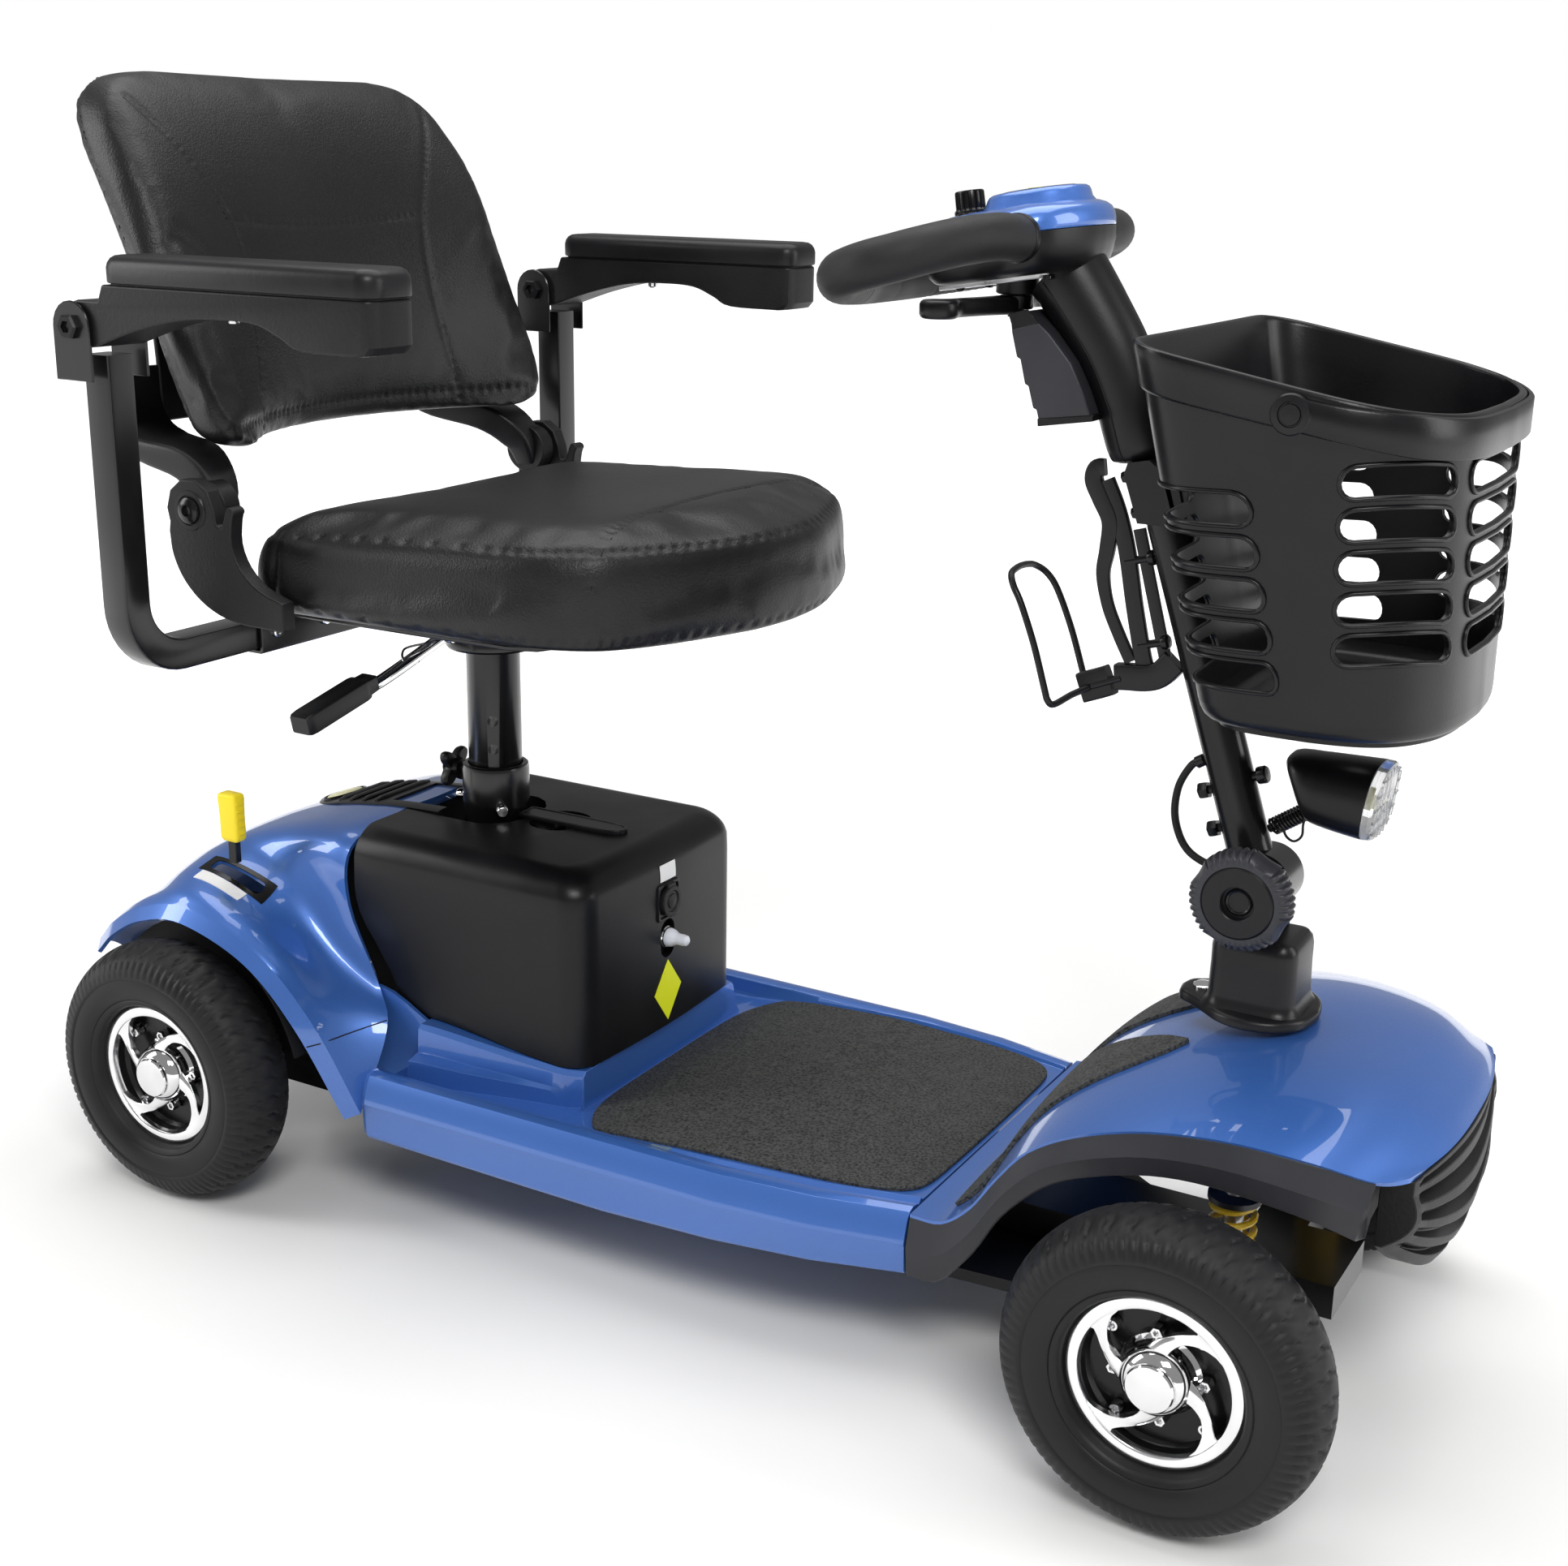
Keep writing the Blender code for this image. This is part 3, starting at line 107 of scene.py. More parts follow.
def set_stage():
    """Soft white surroundings, four lights and a pale floor that fades into the background."""
    scene.view_settings.view_transform = "Standard"
    scene.view_settings.look = "None"
    world = bpy.data.worlds.new("studio")
    world.use_nodes = True
    tree = world.node_tree
    soft = tree.nodes["Background"]
    soft.inputs[0].default_value = (1.0, 1.0, 1.0, 1.0)
    soft.inputs[1].default_value = 0.3
    white = tree.nodes.new("ShaderNodeBackground")
    white.inputs[0].default_value = (1.0, 1.0, 1.0, 1.0)
    mix = tree.nodes.new("ShaderNodeMixShader")
    tree.links.new(tree.nodes.new("ShaderNodeLightPath").outputs["Is Camera Ray"], mix.inputs[0])
    tree.links.new(soft.outputs[0], mix.inputs[1])
    tree.links.new(white.outputs[0], mix.inputs[2])
    tree.links.new(mix.outputs[0], tree.nodes["World Output"].inputs[0])
    scene.world = world
    add_light("key", (1.5, -2.0, 2.6), (0.0, 0.0, 0.3), (1.3, 0.9), 52.0)
    add_light("top", (-0.2, 0.4, 2.9), (0.0, 0.0, 0.2), (3.0, 2.2), 66.0)
    add_light("left", (-2.4, -1.4, 1.5), (0.0, 0.0, 0.4), (0.8, 1.7), 30.0)
    add_light("right", (2.6, 0.6, 1.4), (0.2, 0.0, 0.4), (0.9, 1.8), 24.0)
    size = 12.0
    mesh = bpy.data.meshes.new("floor")
    mesh.from_pydata([(-size, -size, 0), (size, -size, 0), (size, size, 0), (-size, size, 0)], [],
                     [(0, 1, 2, 3)])
    floor = bpy.data.objects.new("floor", mesh)
    scene.collection.objects.link(floor)
    mat = bpy.data.materials.new("floor")
    mat.use_nodes = True
    shader = mat.node_tree.nodes["Principled BSDF"]
    shader.inputs["Base Color"].default_value = (0.9, 0.895, 0.885, 1.0)
    shader.inputs["Roughness"].default_value = 0.9
    tree = mat.node_tree
    place = tree.nodes.new("ShaderNodeTexCoord")
    length = tree.nodes.new("ShaderNodeVectorMath")
    length.operation = "LENGTH"
    tree.links.new(place.outputs["Object"], length.inputs[0])
    glow = tree.nodes.new("ShaderNodeMapRange")
    glow.interpolation_type = "SMOOTHSTEP"
    glow.inputs["From Min"].default_value = 0.7
    glow.inputs["From Max"].default_value = 3.2
    glow.inputs["To Max"].default_value = 0.95
    tree.links.new(length.outputs["Value"], glow.inputs["Value"])
    shader.inputs["Emission Color"].default_value = (1.0, 1.0, 1.0, 1.0)
    tree.links.new(glow.outputs["Result"], shader.inputs["Emission Strength"])
    mesh.materials.append(mat)


# ---------------------------------------------------------------- materials
def new_material(name, colour, roughness, metallic=0.0, coat=0.0, coat_roughness=0.03, sheen=0.0):
    mat = bpy.data.materials.new(name)
    mat.use_nodes = True
    shader = mat.node_tree.nodes["Principled BSDF"]
    shader.inputs["Base Color"].default_value = (*colour, 1.0)
    shader.inputs["Roughness"].default_value = roughness
    shader.inputs["Metallic"].default_value = metallic
    shader.inputs["Coat Weight"].default_value = coat
    shader.inputs["Coat Roughness"].default_value = coat_roughness
    shader.inputs["Sheen Weight"].default_value = sheen
    return mat, mat.node_tree, shader


def link(tree, a, b):
    tree.links.new(a, b)


def tint(tree, shader, value, first, second):
    """Base colour that runs from the first colour to the second as value rises."""
    link(tree, shade_between(tree, value, first, second), shader.inputs["Base Color"])


def roughen(tree, shader, value, low, high, *span):
    link(tree, remap(tree, value, low, high, *span), shader.inputs["Roughness"])


def texture(tree, kind, scale, detail=2.0, **extra):
    """A procedural texture in object coordinates; returns its value socket."""
    coord = tree.nodes.get("Texture Coordinate") or tree.nodes.new("ShaderNodeTexCoord")
    coord.name = "Texture Coordinate"
    node = tree.nodes.new({"noise": "ShaderNodeTexNoise", "cells": "ShaderNodeTexVoronoi",
                           "waves": "ShaderNodeTexWave"}[kind])
    node.inputs["Scale"].default_value = scale
    if "Detail" in node.inputs:
        node.inputs["Detail"].default_value = detail
    for key, value in extra.items():
        if key in node.inputs:
            node.inputs[key].default_value = value
        else:
            setattr(node, key, value)
    link(tree, coord.outputs["Object"], node.inputs["Vector"])
    return node.outputs["Distance"] if kind == "cells" else node.outputs[0]


def remap(tree, value, low, high, from_low=0.3, from_high=0.7):
    node = tree.nodes.new("ShaderNodeMapRange")
    node.inputs["From Min"].default_value = from_low
    node.inputs["From Max"].default_value = from_high
    node.inputs["To Min"].default_value = low
    node.inputs["To Max"].default_value = high
    link(tree, value, node.inputs["Value"])
    return node.outputs["Result"]


def shade_between(tree, value, first, second):
    node = tree.nodes.new("ShaderNodeMix")
    node.data_type = "RGBA"
    node.inputs["A"].default_value = (*first, 1.0)
    node.inputs["B"].default_value = (*second, 1.0)
    link(tree, value, node.inputs["Factor"])
    return node.outputs["Result"]


def bump(tree, shader, layers):
    """Bump from (value, strength, distance) layers, chained."""
    previous = None
    for value, strength, distance in layers:
        node = tree.nodes.new("ShaderNodeBump")
        node.inputs["Strength"].default_value = strength
        node.inputs["Distance"].default_value = distance
        link(tree, value, node.inputs["Height"])
        if previous:
            link(tree, previous, node.inputs["Normal"])
        previous = node.outputs["Normal"]
    link(tree, previous, shader.inputs["Normal"])


def mix_values(tree, a, b, operation="MULTIPLY"):
    node = tree.nodes.new("ShaderNodeMath")
    node.operation = operation
    link(tree, a, node.inputs[0])
    link(tree, b, node.inputs[1])
    return node.outputs[0]


def paint_material():
    mat, tree, shader = new_material("blue_paint", (0.03, 0.12, 0.42), 0.36, 0.35, 1.0, 0.025)
    flake = texture(tree, "cells", 1500.0)
    patch = texture(tree, "noise", 9.0, 3.0)
    grain = texture(tree, "noise", 900.0, 2.0)
    tone = remap(tree, mix_values(tree, flake, remap(tree, patch, 0.8, 1.2)), 0.0, 1.0, 0.1, 0.75)
    tint(tree, shader, tone, (0.02, 0.085, 0.335), (0.046, 0.15, 0.5))
    roughen(tree, shader, grain, 0.3, 0.42)
    bump(tree, shader, [(flake, 0.05, 0.0002), (texture(tree, "noise", 55.0, 2.0), 0.02, 0.0004)])
    return mat


def plastic_material(name, colour, roughness, grain=600.0, strength=0.18, lighter=1.5, coat=0.0):
    mat, tree, shader = new_material(name, colour, roughness, 0.0, coat, 0.2)
    shader.inputs["Specular IOR Level"].default_value = 0.28
    fine = texture(tree, "noise", grain, 3.0)
    wear = texture(tree, "noise", 14.0, 5.0)
    bright = tuple(min(1.0, c * lighter + 0.002) for c in colour)
    tint(tree, shader, remap(tree, wear, 0.0, 1.0), colour, bright)
    roughen(tree, shader, wear, roughness * 0.88, roughness * 1.12)
    bump(tree, shader, [(fine, strength, 0.0003), (wear, 0.03, 0.001)])
    return mat


def metal_material(name, colour, roughness, spread=0.05, grain=300.0, strength=0.03, metallic=1.0):
    mat, tree, shader = new_material(name, colour, roughness, metallic)
    smear = texture(tree, "noise", 25.0, 6.0)
    dull = tuple(c * 0.86 for c in colour)
    tint(tree, shader, remap(tree, smear, 0.0, 1.0), dull, colour)
    roughen(tree, shader, smear, max(0.01, roughness - spread), roughness + spread)
    bump(tree, shader, [(texture(tree, "noise", grain, 2.0), strength, 0.0002)])
    return mat


def vinyl_material():
    mat, tree, shader = new_material("seat_vinyl", (0.005, 0.005, 0.006), 0.36, 0.0, 0.05, 0.3)
    shader.inputs["Specular IOR Level"].default_value = 0.36
    pebble = texture(tree, "cells", 520.0)
    fine = texture(tree, "noise", 800.0, 3.0)
    crease = texture(tree, "noise", 26.0, 4.0, Distortion=0.6)
    patch = texture(tree, "noise", 7.0, 3.0)
    tint(tree, shader, remap(tree, patch, 0.0, 1.0), (0.002, 0.002, 0.0026), (0.005, 0.005, 0.0062))
    roughen(tree, shader, mix_values(tree, patch, pebble, "ADD"), 0.29, 0.42, 0.5, 1.2)
    bump(tree, shader, [(crease, 0.12, 0.004), (pebble, 0.3, 0.0006), (fine, 0.12, 0.0003)])
    return mat


def rubber_material():
    mat, tree, shader = new_material("tyre_rubber", (0.016, 0.016, 0.018), 0.58)
    shader.inputs["Specular IOR Level"].default_value = 0.34
    dust = texture(tree, "noise", 18.0, 6.0)
    fine = texture(tree, "noise", 700.0, 2.0)
    tint(tree, shader, remap(tree, dust, 0.0, 1.0), (0.0035, 0.0035, 0.0042), (0.0085, 0.0085, 0.01))
    roughen(tree, shader, dust, 0.44, 0.62)
    bump(tree, shader, [(fine, 0.15, 0.0003), (dust, 0.06, 0.0008)])
    return mat


def mat_material():
    mat, tree, shader = new_material("grip_mat", (0.02, 0.02, 0.02), 0.85)
    grit = texture(tree, "noise", 420.0, 4.0)
    speck = texture(tree, "cells", 620.0)
    blotch = texture(tree, "noise", 60.0, 4.0)
    tone = remap(tree, mix_values(tree, grit, remap(tree, speck, 0.7, 1.25, 0.1, 0.9)), 0.0, 1.0, 0.38,
                 0.72)
    tint(tree, shader, tone, (0.003, 0.003, 0.003), (0.06, 0.062, 0.059))
    roughen(tree, shader, blotch, 0.7, 0.95)
    bump(tree, shader, [(grit, 0.9, 0.0012), (speck, 0.4, 0.0007)])
    return mat


def foam_material():
    mat, tree, shader = new_material("foam_grip", (0.006, 0.006, 0.007), 0.55, 0.0, 0.0, 0.1, 0.03)
    shader.inputs["Specular IOR Level"].default_value = 0.34
    pores = texture(tree, "cells", 1100.0)
    patch = texture(tree, "noise", 22.0, 4.0)
    tint(tree, shader, remap(tree, patch, 0.0, 1.0), (0.0035, 0.0035, 0.0042), (0.0085, 0.0085, 0.0095))
    roughen(tree, shader, patch, 0.5, 0.68)
    bump(tree, shader, [(pores, 0.25, 0.0003)])
    return mat


def lens_material():
    mat, tree, shader = new_material("clear_lens", (0.96, 0.97, 0.98), 0.05)
    shader.inputs["Transmission Weight"].default_value = 0.9
    shader.inputs["IOR"].default_value = 1.45
    haze = texture(tree, "noise", 60.0, 3.0)
    roughen(tree, shader, haze, 0.02, 0.1)
    bump(tree, shader, [(texture(tree, "noise", 220.0, 1.0), 0.05, 0.0003)])
    return mat


MAT = {
    "blue": paint_material(),
    "plastic": plastic_material("black_plastic", (0.0032, 0.0032, 0.004), 0.36),
    "gloss": plastic_material("gloss_black", (0.0045, 0.0045, 0.005), 0.2, strength=0.06),
    "smooth": plastic_material("satin_black", (0.0055, 0.0055, 0.0065), 0.33, 900.0, 0.08),
    "textured": plastic_material("textured_black", (0.004, 0.004, 0.0046), 0.48, 380.0, 0.65, 1.9),
    "trim": plastic_material("trim_plastic", (0.026, 0.0265, 0.031), 0.36, 700.0, 0.22, 1.3),
    "dark": plastic_material("deep_black", (0.002, 0.002, 0.0022), 0.6),
    "steel": plastic_material("black_steel", (0.004, 0.004, 0.0045), 0.24, 500.0, 0.05, 1.5, 0.4),
    "bare": metal_material("bare_steel", (0.42, 0.42, 0.43), 0.38, 0.1, 400.0, 0.1),
    "chrome": metal_material("chrome", (0.86, 0.86, 0.87), 0.07, 0.03),
    "alloy": metal_material("alloy", (0.93, 0.93, 0.94), 0.16, 0.05, 500.0, 0.05),
    "alloy_soft": metal_material("underside_plate", (0.8, 0.8, 0.81), 0.3, 0.06, 500.0, 0.05, 0.6),
    "iron": metal_material("cast_iron", (0.06, 0.06, 0.063), 0.5, 0.1, 260.0, 0.35, 0.8),
    "springs": plastic_material("spring_paint", (0.75, 0.5, 0.03), 0.35, 500.0, 0.08, 1.05, 0.3),
    "basket": plastic_material("basket_plastic", (0.003, 0.003, 0.0038), 0.3, 420.0, 0.22, 1.5),
    "rubber": rubber_material(),
    "vinyl": vinyl_material(),
    "vinyl_plain": plastic_material("vinyl_cover", (0.006, 0.006, 0.007), 0.42, 520.0, 0.35, 1.5),
    "armpad": plastic_material("arm_pad_skin", (0.006, 0.006, 0.007), 0.38, 300.0, 0.3, 1.5),
    "thread": plastic_material("black_thread", (0.004, 0.004, 0.0045), 0.6, 900.0, 0.1),
    "foam": foam_material(),
    "mat": mat_material(),
    "lens": lens_material(),
    "yellow": plastic_material("yellow_plastic", (0.9, 0.7, 0.02), 0.35, 500.0, 0.08, 1.05),
    "cream": plastic_material("cream_plastic", (0.86, 0.84, 0.52), 0.25, 500.0, 0.05, 1.02),
    "white": plastic_material("white_plastic", (0.82, 0.82, 0.82), 0.3, 500.0, 0.05, 1.05),
    "boot": plastic_material("clear_boot", (0.72, 0.74, 0.8), 0.18, 300.0, 0.04, 1.1, 0.4),
    "sticker": plastic_material("plain_sticker", (0.84, 0.9, 0.02), 0.4, 300.0, 0.03, 1.04),
}


# ---------------------------------------------------------------- mesh helpers
def new_object(name, shape):
    """An object from (points, faces); X moves from the rear axle to the frame's origin."""
    points, faces = shape
    mesh = bpy.data.meshes.new(name)
    mesh.from_pydata([(p[0] + AXLE, p[1], p[2]) for p in points], [], faces)
    bm = bmesh.new()
    bm.from_mesh(mesh)
    bmesh.ops.recalc_face_normals(bm, faces=bm.faces)
    bm.to_mesh(mesh)
    bm.free()
    obj = bpy.data.objects.new(name, mesh)
    scene.collection.objects.link(obj)
    return obj


def build(name, shape, material, body, nodes=(), sharp=32.0, flat=False):
    """One piece from (points, faces), riding on a CAD body."""
    obj = new_object(name, shape)
    if not flat:
        smooth_sharp(obj, sharp)
    obj.data.materials.append(MAT[material])
    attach(obj, body)
    if nodes:
        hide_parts(*([nodes] if isinstance(nodes, str) else nodes))
    return obj


def bevel(obj, width, segments=3, angle=30.0):
    modifier = obj.modifiers.new("bevel", "BEVEL")
    modifier.width = width
    modifier.segments = segments
    modifier.limit_method = "ANGLE"
    modifier.angle_limit = math.radians(angle)
    modifier.harden_normals = False


def join_shapes(*shapes):
    points, faces = [], []
    for more_points, more_faces in shapes:
        base = len(points)
        points += [tuple(p) for p in more_points]
        faces += [tuple(base + i for i in f) for f in more_faces]
    return points, faces


def skin(loops, ring=False):
    """Faces between equal loops of points: closed by end caps, or into a ring."""
    count = len(loops[0])
    points = [tuple(p) for loop in loops for p in loop]
    faces = []
    for i in range(len(loops) if ring else len(loops) - 1):
        a, b = i * count, ((i + 1) % len(loops)) * count
        for j in range(count):
            k = (j + 1) % count
            faces.append((a + j, a + k, b + k, b + j))
    if not ring:
        faces.append(tuple(range(count)))
        faces.append(tuple((len(loops) - 1) * count + j for j in range(count)))
    return points, faces


def box(x0, x1, y0, y1, z0, z1):
    return skin([[(x, y0, z0), (x, y1, z0), (x, y1, z1), (x, y0, z1)] for x in (x0, x1)])


def prism_y(outline, y0, y1):
    return skin([[(x, y, z) for x, z in outline] for y in (y0, y1)])


def prism_z(outline, z0, z1):
    return skin([[(x, y, z) for x, y in outline] for z in (z0, z1)])


def turned(profile, place, axis=(0, 1, 0), sides=48, ring=False, wave=None):
    """A profile of (radius, distance) turned about an axis; wave(i, radius) alters a radius."""
    axis = Vector(axis).normalized()
    side = axis.orthogonal().normalized()
    if abs(axis.y) > 0.9:
        side = Vector((1, 0, 0))
    other = axis.cross(side)
    place = Vector(place)
    loops = []
    for radius, along in profile:
        loop = []
        for i in range(sides):
            angle = 2 * math.pi * i / sides
            r = wave(i, radius) if wave else radius
            loop.append(place + axis * along + side * (r * math.cos(angle)) + other * (r * math.sin(angle)))
        loops.append(loop)
    return skin(loops, ring)


def circle(radius, sides=16):
    angles = [2 * math.pi * i / sides for i in range(sides)]
    return [(radius * math.cos(a), radius * math.sin(a)) for a in angles]


def squared_circle(power, sides):
    """A unit circle drawn out toward the corners of its square."""
    return [tuple(math.copysign(abs(v) ** power, v) for v in point) for point in circle(1.0, sides)]


def rounded(half_a, half_b, corner, steps=4):
    """A rounded rectangle section."""
    points = []
    for quarter in range(4):
        ca = (half_a - corner) * (1 if quarter in (0, 3) else -1)
        cb = (half_b - corner) * (1 if quarter in (0, 1) else -1)
        for step in range(steps + 1):
            angle = math.pi / 2 * (quarter + step / steps)
            points.append((ca + corner * math.cos(angle), cb + corner * math.sin(angle)))
    return points


def sweep(path, section, closed=False, scales=None, up=(0, 0, 1)):
    """A section carried along a path without twisting."""
    path = [Vector(p) for p in path]
    count = len(path)
    side, loops = None, []
    for i, point in enumerate(path):
        if closed:
            ahead = (path[(i + 1) % count] - path[i - 1]).normalized()
        else:
            ahead = (path[min(i + 1, count - 1)] - path[max(i - 1, 0)]).normalized()
        if side is None:
            side = ahead.cross(Vector(up))
            if side.length < 0.1:
                side = ahead.cross(Vector((1, 0, 0)))
        side = (side - ahead * side.dot(ahead)).normalized()
        lift = side.cross(ahead)
        scale = scales[i] if scales else 1.0
        loops.append([point + side * (a * scale) + lift * (b * scale) for a, b in section])
    return skin(loops, closed)


def smooth_path(points, per_span=6):
    """A Catmull-Rom curve through the points, in any number of dimensions."""
    pts = [np.array(p, dtype=float) for p in points]
    pts = [2 * pts[0] - pts[1]] + pts + [2 * pts[-1] - pts[-2]]
    out = []
    for i in range(1, len(pts) - 2):
        a, b, c, d = pts[i - 1:i + 3]
        for step in range(per_span):
            t = step / per_span
            out.append(0.5 * (2 * b + (c - a) * t + (2 * a - 5 * b + 4 * c - d) * t ** 2
                              + (3 * b - a - 3 * c + d) * t ** 3))
    out.append(pts[-2])
    return [tuple(map(float, p)) for p in out]


def side_path(points, per_span):
    """A smooth line in the middle plane, from (x, z) points."""
    return smooth_path([(x, 0, z) for x, z in points], per_span)


def mirrored(half):
    """A whole outline from its left half; points on the middle line aren't repeated."""
    return half + [(x, -y) for x, y in reversed(half) if abs(y) > 1e-9]


def slab(top, under):
    """A closed body between two grids of points."""
    rows, cols = top.shape[:2]
    points = [tuple(p) for layer in (top, under) for row in layer for p in row]

    def at(layer, i, j):
        return layer * rows * cols + i * cols + j

    faces = []
    for layer in (0, 1):
        for i in range(rows - 1):
            for j in range(cols - 1):
                faces.append((at(layer, i, j), at(layer, i + 1, j), at(layer, i + 1, j + 1),
                              at(layer, i, j + 1)))
    rim = [(0, j) for j in range(cols)] + [(i, cols - 1) for i in range(1, rows)]
    rim += [(rows - 1, j) for j in range(cols - 2, -1, -1)] + [(i, 0) for i in range(rows - 2, 0, -1)]
    for n, (i, j) in enumerate(rim):
        k, m = rim[(n + 1) % len(rim)]
        faces.append((at(0, i, j), at(0, k, m), at(1, k, m), at(1, i, j)))
    return points, faces


def sheet(grid, thickness, flip=False):
    """A shell that hangs below a grid of points, or above it when flipped."""
    top = np.array(grid, dtype=float)
    rows, cols = top.shape[:2]
    normal = np.cross(np.gradient(top, axis=0), np.gradient(top, axis=1))
    normal /= np.maximum(np.linalg.norm(normal, axis=2, keepdims=True), 1e-9)
    if (normal[rows // 2, cols // 2, 2] < 0) != flip:
        normal = -normal
    return slab(top, top - normal * thickness)


def table(x, rows):
    """The value at x on straight lines through (x, value) rows."""
    return float(np.interp(x, [r[0] for r in rows], [r[1] for r in rows]))


def inset(loop, distance):
    """A flat outline drawn in by a distance along its normals."""
    pts = [Vector(p) for p in loop]
    area = sum(a.x * b.y - b.x * a.y for a, b in zip(pts, pts[1:] + pts[:1]))
    turn = 1.0 if area > 0 else -1.0
    out = []
    for i, point in enumerate(pts):
        before = (point - pts[i - 1]).normalized()
        after = (pts[(i + 1) % len(pts)] - point).normalized()
        n1 = Vector((-before.y, before.x)) * turn
        n2 = Vector((-after.y, after.x)) * turn
        bisector = (n1 + n2).normalized()
        out.append(tuple(point + bisector * distance / max(0.5, bisector.dot(n1))))
    return out


def stacked(outline, levels):
    """Loops of an outline at (height, margin) levels, drawn in by each margin."""
    return [[(x, y, z) for x, y in (inset(outline, margin) if margin else outline)] for z, margin in levels]


def boolean(obj, shapes):
    """Cuts all shapes out at once and leaves a plain mesh."""
    cutter = new_object("cutter", join_shapes(*shapes))
    modifier = obj.modifiers.new("cut", "BOOLEAN")
    modifier.operation = "DIFFERENCE"
    modifier.solver = "EXACT"
    modifier.object = cutter
    modifier.use_self = True
    apply_modifiers(obj)
    bpy.data.objects.remove(cutter)


def apply_modifiers(obj):
    bpy.context.view_layer.update()
    evaluated = obj.evaluated_get(bpy.context.evaluated_depsgraph_get())
    mesh = bpy.data.meshes.new_from_object(evaluated)
    obj.modifiers.clear()
    old = obj.data
    obj.data = mesh
    bpy.data.meshes.remove(old)


def smooth_sharp(obj, angle):
    """Smooth shading with an edge wherever faces meet at more than the angle."""
    obj.data.shade_smooth()
    obj.data.set_sharp_from_angle(angle=math.radians(angle))


def bolt(name, place, axis, body, radius=0.006, height=0.004, material="chrome", hexed=False):
    """A round or hexagonal bolt head with a socket, lying on a surface."""
    sides = 6 if hexed else 20
    profile = [(radius * 0.5, -0.0015), (radius, -0.001), (radius, height * 0.65), (radius * 0.86, height),
               (radius * 0.5, height), (radius * 0.44, height * 0.45), (0.0003, height * 0.42)]
    build(name, turned(profile, place, axis, sides), material, body, sharp=25)


set_camera()
set_stage()


# ---------------------------------------------------------------- wheels
TYRE_SIDE = [(0.06, 0.017), (0.0632, 0.02), (0.0636, 0.0262), (0.0662, 0.0288), (0.069, 0.03),
             (0.07, 0.0293), (0.0712, 0.0306), (0.079, 0.0325), (0.086, 0.0329), (0.0885, 0.0322),
             (0.0895, 0.033), (0.092, 0.0327), (0.095, 0.0318), (0.098, 0.0306), (0.101, 0.029),
             (0.1035, 0.0272), (0.1058, 0.0248), (0.1078, 0.022), (0.1096, 0.0186), (0.1112, 0.015),
             (0.1124, 0.0112), (0.1133, 0.0074), (0.1138, 0.0036)]
RIBS = 84
SPOKES = 4


def tyre_shape(place, side):
    """A tyre with slanted shoulder ribs, staggered tread blocks and two grooves."""
    profile = TYRE_SIDE + [(0.114, 0.0)] + [(r, -a) for r, a in reversed(TYRE_SIDE)]
    profile += [(0.0562, -0.0155), (0.0562, 0.0155)]
    step = 4
    columns = RIBS * step
    points = np.zeros((columns, len(profile), 3))
    for i in range(columns):
        for j, (r, a) in enumerate(profile):
            crown = abs(a)
            depth = lean = 0.0
            if 0.0905 < r < 0.109 and crown > 0.019:
                lean = (r - 0.0905) * 0.9
                if i % step == 0:
                    depth = 0.0019 if 0.0925 < r < 0.1065 else 0.0006
            if r >= 0.1078:
                jog = int(crown / 0.0062) % 2
                if (i + jog * 2) % (step * 2) == 0:
                    depth = 0.002
                if abs(crown - 0.013) < 0.0025 and (i + 3) % (step * 2) < 2:
                    depth = 0.0016
                lean = 0.014 + crown * 0.1
            if abs(crown - 0.0111) < 0.0012 and r > 0.111 and i % (step * 2) in (4, 5, 6):
                depth = max(depth, 0.0012)
            angle = 2 * math.pi * i / columns + lean * (1 if a > 0 else -1) * side
            radius = r - depth
            points[i, j] = (place[0] + radius * math.cos(angle), place[1] + a, place[2] + radius
                            * math.sin(angle))
    return skin([list(map(tuple, row)) for row in points], ring=True)


def blade(place, side, start):
    """One curved wheel spoke, swept from the hub to the ring."""
    rows, columns = 14, 9
    inner, outer, thickness = 0.017, 0.0535, 0.0055
    grid = []
    for i in range(rows):
        u = i / (rows - 1)
        r = inner + (outer - inner) * u
        middle = start - math.radians(66) * u ** 0.9
        width = table(u, [(0, 0.021), (0.25, 0.015), (0.55, 0.0092), (0.8, 0.012), (0.93, 0.019),
                          (1.0, 0.029)])
        row = []
        for j in range(columns):
            v = j / (columns - 1) * 2 - 1
            angle = middle + v * width / (2 * r) + 0.1 * (u - 0.6) * abs(v)
            rise = 0.0165 + 0.004 * (1 - u) ** 2 * (1 - v * v * 0.6) + 0.0035 * u ** 3 - 0.0016 * v * (1
                                                                                                       - u)
            row.append((place[0] + r * math.cos(angle), place[1] + side * rise, place[2] + r
                        * math.sin(angle)))
        grid.append(row)
    top = np.array(grid)
    return slab(top, top - np.array((0, side * thickness, 0)))


